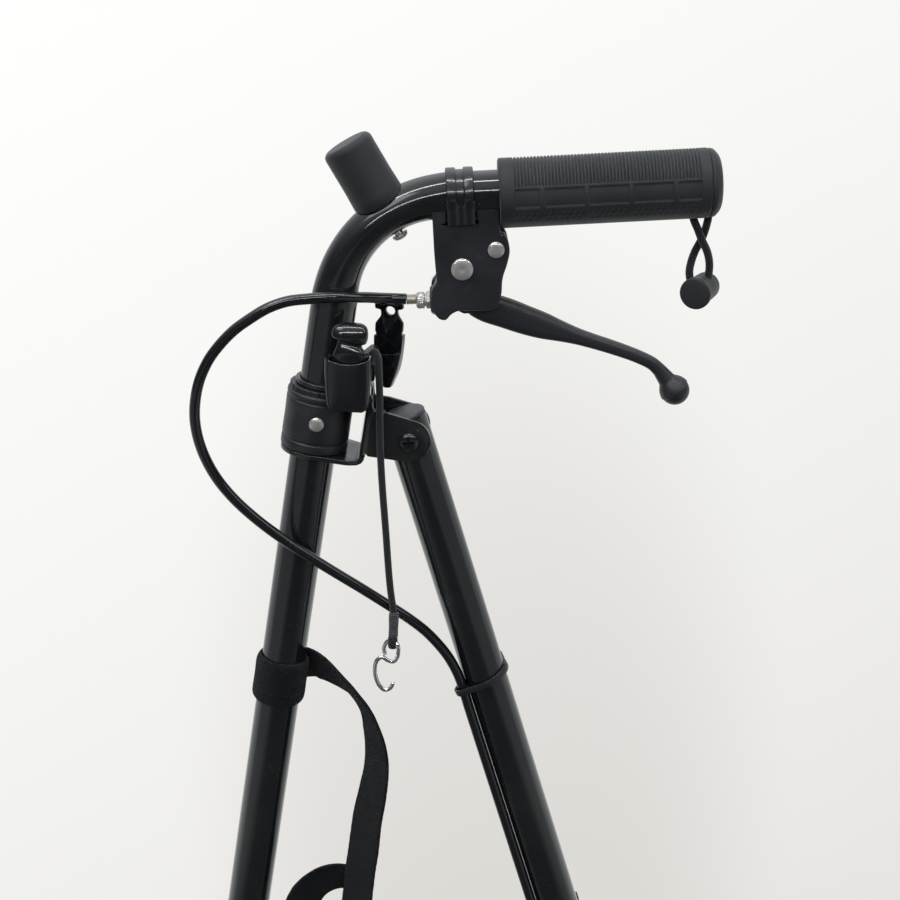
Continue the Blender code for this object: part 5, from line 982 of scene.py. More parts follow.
class CANE_OT_rear_leg(bpy.types.Operator):
    """Rear leg tube, spun from its wall's profile, and the flat plug in its top with its stop nose"""

    bl_idname = "cane.rear_leg"
    bl_label = "Rear leg"

    def execute(self, context):
        sizes = context.scene.cane_sizes
        r = sizes.tube_diameter / 2
        top, low = 9.8 * MM, AXLE_ALONG + 13.5 * MM
        lip = 0.35 * MM
        rows = [(r - lip, top), (r, top - lip)]
        rows += [(r, z) for z in np.linspace(top - 4 * MM, low + 4 * MM, 40)]
        rows += [(r, low + lip), (r - lip, low), (r - WALL, low), (r - WALL, top)]
        tube = turned(rows, LEG.put, steps=80, closed=True)
        piece(context, "rear_leg_run", tube, "paint", "rear_leg", "rear_leg_tube")
        cap = rounded(mm((0.0, 12.5), (11.7, 12.5), (12.5, 11.6), (12.5, 10.1), (11.0, 10.1), (11.0, -11.9),
                         (0.0, -11.9)), 0.35 * MM, 4)
        nose = plate(rounded(mm((-22.7, 6.0), (-14.4, 6.0), (-14.4, 9.2), (-22.7, 9.2)), 0.6 * MM, 4, True),
                     -6.0 * MM, 6.0 * MM, 0.5 * MM, Frame(PIVOT, MAIN_LEAN).put)
        piece(context, "rear_leg_cap", [turned(cap, LEG.put, steps=64), nose], "cap", "rear_leg",
              "leg_top_plug")
        return {"FINISHED"}


# Grip


class CANE_OT_grip(bpy.types.Operator):
    """Ribbed rubber grip, a polar height field over its length and turn, and its end plug"""

    bl_idname = "cane.grip"
    bl_label = "Grip"

    def execute(self, context):
        sizes = context.scene.cane_sizes
        piece(context, "ribbed_grip", self.sleeve(sizes), "rubber", "frame", "grip", sharp=60.0)
        piece(context, "grip_end_cap", self.plug(), "rubber", "frame", "grip_end_plug")
        return {"FINISHED"}

    def sleeve(self, sizes):
        """Radius R less ribs over the upper half, framed panels at both sides and two rows of dimples."""
        long, first, last = 112.6, 7.4, 107.2        # mm: the sleeve, and where its ribs start and stop
        ribbed = np.linspace(first, last, sizes.grip_ribs * 8 + 1)
        x = np.concatenate((np.linspace(0.0, first, 14), ribbed[1:], np.linspace(last, long, 14)[1:])) * MM
        first, last, long, panel_pitch, soft = first * MM, last * MM, long * MM, 23.6 * MM, 0.9 * MM
        a = angles(200)
        X, A = x[:, None], a[None, :]
        up = np.sin(A)
        phase = (X - first) / (last - first) * sizes.grip_ribs
        inside = smoothstep((X - first) / (0.8 * MM)) * smoothstep((last - X) / (0.8 * MM))
        valley = 1 - smoothstep(np.abs(np.cos(pi * phase)) / 0.86)
        rib = valley * sizes.rib_depth * inside * smoothstep((up - 0.315) / 0.05)
        nearest = np.abs((X - 22.3 * MM + panel_pitch / 2) % panel_pitch - panel_pitch / 2)
        between = smoothstep((nearest - 0.9 * MM) / (0.6 * MM)) * inside
        panel = between * smoothstep((0.275 - up) / 0.03) * smoothstep((up + 0.285) / 0.03) * 0.75 * MM
        dimples = 0.0
        for row, shift, deep in ((-0.49, 0.0, 0.8), (-0.62, 0.5, 0.45)):
            along = ((X - 9.0 * MM) / (3.3 * MM) + shift) % 1.0 - 0.5
            spot = np.exp(-((along / 0.26) ** 2)) * np.exp(-(((up - row) / 0.045) ** 2))
            dimples = dimples + spot * deep * MM * between
        edge = np.minimum(X, long - X)
        ease = soft * (1 - np.sqrt(np.clip(1 - (1 - np.clip(edge / soft, 0, 1)) ** 2, 0, 1)))
        R = sizes.grip_diameter / 2 - rib - panel - dimples - ease
        outer = np.stack(np.broadcast_arrays(X, R * np.cos(A), R * np.sin(A)), -1)
        bore = sizes.tube_diameter / 2 + 0.3 * MM
        ends = np.array((long, 0.0))[:, None]
        inner = np.stack(np.broadcast_arrays(ends, bore * np.cos(A), bore * np.sin(A)), -1)
        return skin(Frame(PIVOT + (GRIP_START, 0.0, GRIP_Z)).put(np.concatenate((outer, inner))),
                    round_rows=True)

    def plug(self):
        """Domed cap, narrow neck and a spigot in the tube, spun about the grip's axis."""
        rows = mm((0.0, 7.0), (9.5, 6.9), (15.0, 5.9), (18.3, 2.6), (18.5, 0.45), (17.4, 0.35),
                  (17.0, -0.3), (10.9, -0.3), (10.9, -18.0), (0.0, -18.0))
        rows = rounded(rows, mm(0, 4, 4.0, 3.0, 0.3, 0.3, 0.2, 0.2, 0.5, 0), 7)
        return turned(rows, Frame(PIVOT + (GRIP_END, 0.0, GRIP_Z)).put, "X", 96)


class CANE_OT_bumper(bpy.types.Operator):
    """Rubber stop on the bend: a spun barrel whose foot is pressed to the tube's skin, and its screw"""

    bl_idname = "cane.bumper"
    bl_label = "Bumper"

    def execute(self, context):
        sizes = context.scene.cane_sizes
        point, out = bend_place(BUMPER_SHARE)
        put = Frame(point, atan2(out[0], out[2]) + BUMPER_TURN).put
        seat = sizes.tube_diameter / 2 * (1 - sizes.bend_squeeze * float(squeezed(BUMPER_SHARE)))
        piece(context, "bend_bumper", self.barrel(put, seat, sizes), "rubber", "frame", "bumper")
        head = mm((0.0, -3.0), (2.2, -2.9), (3.9, -2.0), (4.5, -0.8), (4.5, 0.0), (2.5, 0.0), (2.5, 30.0),
                  (0.0, 30.0))
        screw = turned(rounded(head, 0.3 * MM, 4) + (0.0, -seat - 1.5 * MM), put, steps=40)
        piece(context, "bend_screw", screw, "steel", "frame", "bumper_screw")
        return {"FINISHED"}

    def eased(self, level):
        """Level kept above 7 mm with a soft turn: (a + b + sqrt((a - b)^2 + k^2)) / 2."""
        low = 7.2 * MM
        return 0.5 * (level + low + np.sqrt((level - low) ** 2 + (1.6 * MM) ** 2))

    def barrel(self, put, seat, sizes):
        """Rows from the rim down the side; the foot row's height is the tube's skin under each point."""
        a = angles(96)
        x, y = np.cos(a), np.sin(a)
        r = sizes.bumper_diameter / 2
        height, rim, skirt, sole_rise = seat + 33.2 * MM, 3.6 * MM, 12 * MM, 2.0 * MM
        rise = arc((r - rim, height - rim), rim, 90, 0, 11)
        side = np.stack((np.full(14, r), np.linspace(height - 5 * MM, seat + sole_rise, 14)), 1)
        wide = sizes.tube_diameter / 2 * 1.06 + 0.3 * MM
        bend = BEND_RADIUS + seat

        def under(along, across):
            """Height of the tube's skin under a point, and how far the bend has fallen away there."""
            drop = np.clip(1 - (np.clip(np.abs(across), 0, wide * 0.985) / wide) ** 2, 0.0, 1.0) ** 0.5
            return seat * drop + 0.2 * MM, bend - np.sqrt(np.maximum(bend**2 - along**2, 0))

        tube, curl = under(x * r, y * r)
        foot = self.eased(tube) - curl
        rows = np.concatenate((rise, side))
        radius = np.repeat(rows[:, 0][:, None], 96, 1)
        level = np.repeat(rows[:, 1][:, None], 96, 1)
        pull = smoothstep((seat + skirt - rows[:, 1]) / skirt)[:, None]
        stretch = (seat + skirt - foot) / (skirt - sole_rise)
        level = np.where(level < seat + skirt, foot + (level - seat - sole_rise) * stretch, level)
        radius = radius + 0.4 * MM * pull
        share = np.linspace(0.98, 0.02, 10)[:, None]
        tube, curl = under(x * r * share, y * r * share)
        sole = self.eased(tube) + (tube - self.eased(tube)) * smoothstep((0.99 - share) / 0.14) - curl
        radius = np.concatenate((radius, np.repeat(share * r, 96, 1)))
        level = np.concatenate((level, sole))
        drawn = 1 - 0.13 * smoothstep(1 - (level - level[len(rows) - 1]) / (4 * MM))
        grid = np.stack((radius * x, radius * drawn * y, level), -1)
        return skin(put(grid), tips=(put((0.0, 0.0, height)), None))


# Brake housing, clamp and lever


def block(size, centre, edge, put):
    """A box with eased edges: a rounded rectangle in x and z, thickened along y."""
    x, y, z = (v / 2 for v in size)
    corners = np.array(((-x, -z), (x, -z), (x, z), (-x, z))) + (centre[0], centre[2])
    outline = rounded(corners, edge, 5, True)
    return plate(outline, centre[1] - y, centre[1] + y, edge, put)


def domed_pin(shank, head, rise, half, put, dimple):
    """A pin across -Y: domed near head with an eased rim and a centre dimple, shank, flatter far head."""
    far_rise = 1.2 * MM
    a = np.linspace(0.0, pi / 2, 12)
    r = head / 2 * np.sin(a)
    h = half + rise * (0.35 + 0.65 * np.cos(a)) - dimple * np.exp(-((r / (0.15 * head)) ** 2))
    near = np.stack((r, h), 1)
    rest = np.array(((head / 2, half + 0.15 * rise), (head / 2 - 0.2 * MM, half), (shank / 2, half),
                     (shank / 2, -half), (0.40 * head, -half), (0.42 * head, -half - 0.3 * MM),
                     (0.38 * head, -half - far_rise), (0.0, -half - far_rise)))
    return turned(np.concatenate((near, rest)), put, "-Y", 56)


HOUSING_EDGE = (
    (19.6, 122.5), (19.6, 105.5), (19.9, 95.5), (20.3, 88.2), (17.6, 85.6), (16.7, 80.3), (16.6, 75.6),
    (18.0, 71.0), (20.6, 67.6), (24.2, 66.8), (27.0, 70.2), (30.6, 71.9), (51.5, 71.4), (55.0, 79.0),
    (55.5, 87.0), (56.5, 91.0), (58.6, 96.2), (60.5, 103.3), (59.8, 109.3), (57.8, 113.4), (55.6, 113.6),
    (55.6, 122.5), (43.0, 122.5), (42.9, 120.7), (27.3, 120.7), (27.2, 122.5),
)


class CANE_OT_housing(bpy.types.Operator):
    """Lever housing of two cheek plates and a core, clamp band, pins, and the cable's adjuster and ferrule"""

    bl_idname = "cane.housing"
    bl_label = "Brake housing"

    def execute(self, context):
        edge = np.array(HOUSING_EDGE) * MM
        soft = np.full(len(edge), 1.6 * MM)
        soft[2:4], soft[4:11], soft[12:19] = 5 * MM, 2.8 * MM, 4.0 * MM
        soft[-5:] = 0.5 * MM
        outline = rounded(edge[::-1], soft[::-1], 7, True)
        cheeks = [plate(outline, low * MM, high * MM, 1.1 * MM, TOP.put, steps=6)
                  for low, high in ((-11.5, -5.0), (5.0, 11.5))]
        core = mm((20.6, 120.0), (20.6, 89.0), (18.6, 85.0), (17.6, 80.3), (17.5, 75.8), (19.0, 72.0),
                  (22.8, 68.4), (24.2, 69.0), (25.8, 72.0), (25.8, 106.0), (44.0, 106.0), (46.0, 100.0),
                  (50.5, 92.0), (54.0, 90.0), (57.6, 97.0), (59.4, 103.5), (58.6, 109.0), (55.2, 112.8),
                  (54.8, 120.0))
        cheeks.append(plate(rounded(core[::-1], 1.2 * MM, 5, True), -7.2 * MM, 7.2 * MM, 0.3 * MM, TOP.put))
        cheeks.append(self.nose())
        cheeks += [self.saddle(low, high) for low, high in ((19.6, 27.1), (43.2, 55.6))]
        piece(context, "lever_housing", cheeks, "moulding", "frame", "brake_housing")
        piece(context, "clamp_over_tube", self.clamp(), "paint_plain", "frame", "brake_clamp_band")
        lever_pin = domed_pin(5 * MM, 12 * MM, 1.8 * MM, 11.8 * MM, LEVER.put, 0.5 * MM)
        piece(context, "lever_rivet", lever_pin, "steel", "frame", "lever_pin")
        at = Frame(from_pivot((52.9, 0.0, 105.1)))
        piece(context, "clamp_rivet", domed_pin(4 * MM, 9 * MM, 1.8 * MM, 11.8 * MM, at.put, 0.15 * MM),
              "steel", "frame", "clamp_pin")
        self.adjuster(context)
        return {"FINISHED"}

    def saddle(self, low, high):
        """Lip under the tube, a section with a hollow of the tube's radius carried along the grip."""
        x = np.linspace(low, high, 24) * MM
        path = Frame(PIVOT + (0.0, 0.0, GRIP_Z)).put(np.stack((x, 0 * x, 0 * x), 1))
        hollow = arc((0.0, 0.0), 12.95, -63, 63, 30)
        rows = np.concatenate((((12.6, -11.5), (5.9, -11.6)), hollow, ((5.9, 11.6), (12.6, 11.5)))) * MM
        ends = round_end(path, 1.0 * MM)
        return carried(path, rows[::-1], scale=np.stack((1 + 0 * ends, 0.94 + 0.06 * ends), 1))

    def nose(self):
        """Short boss round the cable's entry, spun about the cable."""
        rows = rounded(mm((4.3, 15.9), (7.0, 16.2), (8.2, 17.6), (8.6, 21.0), (4.3, 21.0)), 0.9 * MM, 5, True)
        return turned(rows, Frame(from_pivot((0.0, 0.0, 76.2))).put, "X", 48, closed=True)

    def clamp(self):
        """A ribbed section carried over the tube and down both sides: P(s) + t N(s) + x X."""
        inner = 13.0 * MM
        a = np.linspace(0.0, pi, 60)
        arch = np.stack((-inner * np.cos(a), inner * np.sin(a)), 1)
        down = np.linspace(-13.3 * MM, -0.5 * MM, 10)
        path = np.concatenate((np.stack((np.full(10, -inner), down), 1), arch,
                               np.stack((np.full(10, inner), down[::-1]), 1)))
        normal = np.concatenate((np.tile((-1.0, 0.0), (10, 1)), arch / inner, np.tile((1.0, 0.0), (10, 1))))
        rib = smoothstep((path[:, 1] + 4 * MM) / (4 * MM))
        x = mm(0.0, 0.15, 0.7, 5.0, 5.4, 5.7, 9.4, 9.7, 10.1, 14.4, 14.95, 15.1, 15.1, 0.0)
        t = mm(0.3, 1.0, 1.2, 1.2, 1.1, 1.0, 1.0, 1.1, 1.2, 1.2, 1.0, 0.3, 0.0, 0.0)
        raised = np.array((0, 0.7, 1, 1, 0.8, 0, 0, 0.8, 1, 1, 0.7, 0, 0, 0)) * 0.9 * MM
        thick = t + raised * rib[:, None]
        y = path[:, :1] + normal[:, :1] * thick
        z = path[:, 1:] + normal[:, 1:] * thick
        grid = np.stack((x + 0 * thick, y, z), -1)
        return skin(Frame(PIVOT + (27.5 * MM, 0.0, GRIP_Z)).put(grid))

    def adjuster(self, context):
        """Spun adjuster with a knurled and a hexagonal band, the cable's ferrule, and the wire in them."""
        at, end = Frame(from_pivot((0.0, 0.0, 76.2))), Frame(from_pivot((0.8, 0.0, 77.0)))
        rows = mm((1.3, 25.5), (4.0, 25.5), (4.0, 16.5), (4.9, 16.4), (4.9, 14.1), (3.6, 13.8), (3.6, 13.1),
                  (4.6, 12.8), (4.6, 9.4), (3.4, 8.3), (1.3, 8.3))
        profile = rounded(rows, 0.30 * MM, 4, True)

        def knurled(a, p):
            """24 grooves round the wide band, and six flats round the nut."""
            grip_band = ((p[:, 1] > 9.2 * MM) & (p[:, 1] < 12.9 * MM) & (p[:, 0] > 4.2 * MM))[:, None]
            nut_band = ((p[:, 1] > 14.0 * MM) & (p[:, 1] < 16.45 * MM) & (p[:, 0] > 4.2 * MM))[:, None]
            hexed = 0.90 / np.maximum(np.cos((a % (pi / 3)) - pi / 6), 0.5)
            knurl = 0.055 * grip_band * (0.5 + 0.5 * np.cos(24 * a))
            return 1 - knurl + nut_band * (np.minimum(hexed, 1.0) - 1)

        piece(context, "cable_adjuster", turned(profile, at.put, "X", 144, True, knurled), "steel", "frame",
              "barrel_adjuster")
        rows = mm((1.1, 2.3), (2.2, 2.3), (2.75, 2.6), (2.75, 4.0), (2.55, 4.3), (2.75, 4.6), (2.75, 7.2),
                  (2.3, 7.9), (1.1, 7.9))
        ferrule = turned(rounded(rows, 0.25 * MM, 4, True), end.put, "X", 64, True)
        piece(context, "cable_end_ferrule", ferrule, "brass", "frame", "cable_ferrule")
        wire = np.stack((np.linspace(3.3, 26.2, 60) * MM, np.zeros(60), np.zeros(60)), 1)
        wire = carried(at.put(wire), stranded(0.8 * MM), twist=np.linspace(0, 14, 60))
        piece(context, "lever_wire", wire, "steel", "frame", "inner_wire")


def stranded(radius, strands=6, sides=48):
    """Round section with lobes for its strands: r (0.9 + 0.1 cos n a)."""
    a = angles(sides)
    r = radius * (0.90 + 0.10 * np.cos(strands * a))
    return np.stack((r * np.cos(a), r * np.sin(a)), 1)


# x, z, half height and half width of the lever, in mm from the fold pivot
LEVER_LINE = (
    (36.0, 74.5, 5.6, 5.0), (46.0, 70.6, 7.9, 5.2), (56.0, 67.0, 8.3, 5.2), (68.0, 61.9, 7.9, 5.2),
    (78.0, 58.0, 7.1, 5.1), (87.0, 54.6, 5.6, 4.9), (96.0, 51.2, 4.4, 4.6), (105.0, 47.8, 3.9, 4.4),
    (116.0, 43.6, 3.7, 4.2), (129.0, 38.0, 3.5, 4.1), (137.5, 33.2, 3.6, 3.9), (141.8, 28.9, 3.9, 4.0),
)


class CANE_OT_lever(bpy.types.Operator):
    """Brake lever: a superellipse carried along a falling line into a ball, with its root and nipple"""

    bl_idname = "cane.lever"
    bl_label = "Brake lever"

    def execute(self, context):
        line = spline(np.array(LEVER_LINE), 1.0)
        ball, ball_radius = np.array((150.1, 16.9)), 8.25
        far = np.linalg.norm(ball - line[-1, :2])
        ahead = (ball - line[-1, :2]) / far
        t = np.linspace(0.0, far + ball_radius - 0.01, 46)[1:]
        sphere = np.sqrt(np.clip(ball_radius**2 - (far - t) ** 2, 0.04, None))
        neck = np.interp(t, (0.0, 0.45 * far, far), (3.95, 4.9, 7.0))
        swell = np.where(t > far, sphere, (neck**6 + sphere**6) ** (1 / 6))
        tail = np.column_stack((line[-1, :2] + ahead * t[:, None], swell, swell))
        rows = np.concatenate((line, tail))
        rows[:6, 2:] *= np.sqrt(1 - np.linspace(0.85, 0.0, 6)[:, None] ** 2)
        path = from_pivot(np.stack((rows[:, 0], 0 * rows[:, 0], rows[:, 1]), 1))
        soft = np.interp(np.arange(len(rows)), (0, len(line) - 12, len(line) + 6), (3.4, 3.0, 2.0))
        a = angles(56)
        reach = superellipse(a, soft[:, None])
        tangent = unit(np.gradient(path, axis=0))
        across = np.array((0.0, 1.0, 0.0))
        up = np.cross(tangent, across)
        deep = (rows[:, 2:3] * MM * reach * np.cos(a))[..., None] * up[:, None]
        wide = (rows[:, 3:4] * MM * reach * np.sin(a))[..., None] * across
        blade = skin(path[:, None] + deep + wide)
        root = np.concatenate((arc((0.0, 0.0), 8.0 * MM, 20, 200, 24),
                               mm((-6.5, -14.0), (-3.6, -24.6), (0.0, -26.6), (12.0, -26.0),
                                  (12.0, -12.0))))
        root = plate(rounded(root, 0.6 * MM, 3, True), -5.9 * MM, 5.9 * MM, 0.8 * MM, LEVER.put)
        piece(context, "hand_lever", [blade, root], "lever", "lever", "brake_lever")
        nipple = mm((0.0, 5.9), (2.2, 5.9), (2.5, 5.6), (2.5, -5.6), (2.2, -5.9), (0.0, -5.9))
        at = Frame(LEVER_PIVOT + (0.0, 0.0, -19.1 * MM))
        piece(context, "lever_nipple", turned(nipple, at.put, "-Y", 32), "steel", "lever", "cable_nipple")
        return {"FINISHED"}


# Fold joint


class CANE_OT_collar(bpy.types.Operator):
    """Plastic sleeve round the main tube, spun, with a rivet in its near side"""

    bl_idname = "cane.collar"
    bl_label = "Fold collar"

    def execute(self, context):
        low, top, r = -15.4, 21.0, 18.9
        rows = [(r - 1.3, top), (r - 0.9, top - 0.4), (r - 0.9, top - 3.3), (r - 0.2, top - 3.7),
                (r, top - 4.0), (r, top - 6.0), (r - 0.7, top - 6.4), (r - 0.7, top - 7.4), (r, top - 7.8),
                (r - 0.05, top - 12.0), (r - 0.15, top - 18.0), (r - 0.05, low + 12.0), (r, low + 6.8),
                (r - 0.7, low + 6.4), (r - 0.7, low + 5.4), (r, low + 5.0), (r, low + 0.8), (r - 0.8, low),
                (13.0, low), (13.0, top)]
        profile = rounded(np.array(rows) * MM, 0.32 * MM, 4, True)

        def notched(a, p):
            """24 shallow notches round the upper ring."""
            ring = ((p[:, 1] > (top - 3.2) * MM) & (p[:, 0] > 15 * MM))[:, None]
            return 1 - 0.022 * ring * smoothstep((np.cos(24 * a) - 0.3) / 0.4)

        piece(context, "joint_collar", turned(profile, MAIN.put, steps=240, closed=True, wobble=notched),
              "moulding", "frame", "fold_collar")
        a = np.linspace(0.0, pi / 2, 14)
        dome = np.stack((4.1 * np.sin(a), 1.9 * (0.30 + 0.70 * np.cos(a))), 1)
        rows = np.concatenate((dome, ((4.1, 0.2), (3.9, 0.0), (2.0, 0.0), (2.0, -8.6), (0.0, -8.6)))) * MM
        at = MAIN.put((0.0, -19.1 * MM, 3.2 * MM))
        piece(context, "collar_stud", turned(rows, Frame(at, MAIN_LEAN).put, "-Y", 64), "steel", "frame",
              "collar_rivet")
        return {"FINISHED"}


def plan(frame_here):
    """Puts (x, thickness, y) points flat: the thickness goes up."""
    return lambda p: frame_here.put(np.asarray(p)[..., [0, 2, 1]])


class CANE_OT_bracket(bpy.types.Operator):
    """Bent sheet bracket: ring plates round the tube, web with round bends, two ears, pivot bolt and nut"""

    bl_idname = "cane.bracket"
    bl_label = "Hinge bracket"

    def execute(self, context):
        skins = [self.channel()]
        for width, low, way in ((37.0, -18.5, 1), (30.4, 21.3, -1)):
            skins.append(self.ring_plate(width / 2, low))
            skins.append(self.bend(low, way))
        piece(context, "bent_bracket", skins, "bracket", "frame", "hinge_bracket")
        near = Frame(PIVOT + (0.0, -16.3 * MM, 0.0))
        bolt = [crossed_head(5.4 * MM, 3.2 * MM, near.put)]
        shank = mm((0.0, -0.2), (3.0, -0.2), (3.0, -38.6), (2.6, -39.1), (0.0, -39.1))
        bolt.append(turned(shank, near.put, "-Y", 40))
        piece(context, "fold_bolt", bolt, "bolt", "frame", "pivot_bolt")
        far = Frame(PIVOT + (0.0, 16.3 * MM, 0.0))
        piece(context, "fold_nut", hexagon(10 * MM, 3.3 * MM, 5 * MM, far.put, "Y"), "steel", "frame",
              "pivot_nut")
        return {"FINISHED"}

    def channel(self):
        """Sheet bent round two corners in plan; its lower and upper edges follow the side view's outline."""
        half, front, far = 14.6, 27.3, 64.0
        corner = rounded(np.array(((far, -half), (front, -half), (front, half), (far, half))), 3.4, 14)
        straight = 51.7 + 12.3 * np.sin(np.linspace(pi / 2, 0.0, 26))
        xs = np.concatenate((straight, np.linspace(51.7, 31.0, 24)[1:]))
        near = np.stack((xs, np.full(len(xs), -half)), 1)
        middle = corner[(corner[:, 0] < 30.9)]
        path = np.concatenate((near, middle, near[::-1] * (1, -1)))
        path = path[np.concatenate(((True,), np.linalg.norm(np.diff(path, axis=0), axis=1) > 1e-6))]
        x = path[:, 0]
        low = np.where(x > 30.7, -12.3, np.interp(x, (27.4, 28.8, 30.7), (-17.0, -10.6, -12.3)))
        top = np.interp(x, (27.4, 28.9, 30.5, 38.7, 54.3), (22.6, 18.0, 14.3, 14.3, 12.0))
        reach = np.sqrt(np.clip(12.3**2 - (x - 51.7) ** 2, 0.09, None))
        round_off = x > 51.7
        low, top = np.where(round_off, -reach, low), np.where(x > 54.2, reach, top)
        top = np.where(round_off, np.minimum(top, np.maximum(reach, 0.3)), top)
        tangent = unit(np.gradient(path, axis=0))
        normal = np.stack((tangent[:, 1], -tangent[:, 0]), 1)
        t = np.array((-1.4, -1.25, -0.9, 0.9, 1.25, 1.4, 1.4, 1.25, 0.9, -0.9, -1.25, -1.4))
        lift = np.array((0.5, 0.12, 0.0, 0.0, 0.12, 0.5, -0.5, -0.12, 0.0, 0.0, -0.12, -0.5))
        side = np.array((0, 0, 0, 0, 0, 0, 1, 1, 1, 1, 1, 1))
        share = np.minimum(1.0, (top - low) / 3.0)[:, None]
        z = np.where(side == 0, low[:, None], top[:, None]) + lift * share
        xy = path[:, None] + normal[:, None] * t[None, :, None]
        grid = np.concatenate((xy, z[..., None]), 2) * MM
        return skin(MAIN.put(grid))

    def ring_plate(self, r, low):
        """Plate round the tube, out to the web, with the tube's hole in it."""
        neck = 26.0 * MM
        edge = min(r, 15.8) * MM
        outline = np.concatenate((arc((0.0, 0.0), r * MM, 90, 270, 60),
                                  ((neck - 6 * MM, -max(edge, r * MM)), (neck, -edge), (neck, edge),
                                   (neck - 6 * MM, max(edge, r * MM)))))
        outline = resampled(rounded(outline, 1.0 * MM, 4, True), 150, True)
        return plate(outline, low * MM, (low + 2.8) * MM, 0.45 * MM, plan(MAIN), hole=(0.0, 0.0, 12.95 * MM))

    def bend(self, low, way):
        """Quarter bend from an end plate into the web: a flat section carried round an arc."""
        outer, sheet = 3.8, 2.78
        middle = low + (0.0 if way > 0 else 2.8) + way * outer
        a = np.linspace(-0.15, pi / 2 + 0.15, 20)
        path = np.stack((28.7 - outer + (outer - sheet / 2) * np.sin(a), 0 * a,
                         middle - way * (outer - sheet / 2) * np.cos(a)), 1)
        path = np.concatenate(((path[0] - (1.2, 0, 0),), path, (path[-1] + (0, 0, 1.2 * way),)))
        section = oblong(sheet / 2 * MM, 15.6 * MM, 9.0, 64)
        return carried(MAIN.put(path * MM), section)


def crossed_head(radius, rise, put):
    """Pan head as a polar height field: dome less a cross-shaped recess with sloping walls."""
    depth = 0.62 * rise
    r = np.concatenate((np.linspace(0.02, 0.92, 40), np.sin(np.linspace(1.2, pi / 2, 10)))) * radius
    a = angles(128)
    R, A = r[:, None], a[None, :] + 0.5
    dome = rise * (0.30 + 0.70 * np.sqrt(np.clip(1 - (R / radius) ** 2.6, 0.0, 1.0)))
    u, v = np.abs(R * np.cos(A)), np.abs(R * np.sin(A))
    arm = smoothstep((0.13 * radius - np.minimum(u, v)) / (0.05 * radius))
    inside = smoothstep((0.62 * radius - np.maximum(u, v)) / (0.10 * radius))
    height = dome - arm * inside * depth
    grid = np.stack((R * np.cos(A), -height, R * np.sin(A)), -1)
    rim = np.stack((np.full(128, radius * 0.985) * np.cos(A[0]), np.zeros(128),
                    radius * 0.985 * np.sin(A[0])), -1)
    return skin(put(np.concatenate((grid, rim[None]))))


def hexagon(across, bore, height, put, axis):
    """Hexagon nut: radius (w/2) / cos(a mod 60 - 30), its outer face trimmed by a cone."""
    r, chamfer = across / 2, 0.8 * MM
    rows = np.array(((bore, 0.0), (r, 0.0), (r, 0.2 * height), (r, 0.8 * height),
                     (r * 0.999, height - chamfer * 0.4), (r * 0.93, height), (bore + 0.3 * MM, height),
                     (bore, height - 0.3 * MM)))

    def sides(a, p):
        """Six flats on the outside, and a round bore."""
        hexed = 1 / np.cos((a % (pi / 3)) - pi / 6)
        level = p[:, 1][:, None]
        limit = np.where(level > height - chamfer, 1.155 - 0.155 * (level - height + chamfer) / chamfer, 1.16)
        outside = (p[:, 0] > bore + 0.5 * MM)[:, None]
        return np.where(outside, np.minimum(hexed, limit), 1.0)

    return turned(rows, put, axis, 144, True, sides)


# Clips beside the tube


# Half width and half depth of the cups as shares of their own, and height as a share, from the foot up
NEAR_SHARES = ((0.60, 0.50, 0.0), (0.72, 0.64, 0.01), (0.82, 0.76, 0.035), (0.88, 0.84, 0.08),
               (0.93, 0.92, 0.16), (0.955, 0.96, 0.28), (0.97, 0.98, 0.40), (0.985, 0.99, 0.58),
               (1.0, 1.0, 0.75), (0.99, 1.0, 0.90), (0.985, 1.0, 0.965))
FAR_SHARES = ((0.22, 0.45, 0.0), (0.30, 0.55, 0.015), (0.38, 0.68, 0.076), (0.46, 0.78, 0.14),
              (0.57, 0.87, 0.21), (0.67, 0.93, 0.29), (0.75, 0.97, 0.37), (0.84, 1.0, 0.52),
              (0.93, 1.0, 0.73), (0.98, 1.0, 0.90), (0.985, 1.0, 0.965))
# Half width, half depth and height of each cup in mm, and the power of its oblong
NEAR_CUP, FAR_CUP = (12.8, 6.0, 31.0, 4.6), (8.8, 5.2, 33.0, 3.6)
NEAR_CLIP = Frame(from_pivot((-31.8, -22.2, 22.4)))
NEAR_CLIP.turn = np.array(Matrix.Rotation(radians(-6.0), 3, "Z") @ Matrix.Rotation(radians(4.0), 3, "Y"))
FAR_CLIP = Frame(from_pivot((-7.4, 17.0, 21.6)), 0.0, radians(160.0))


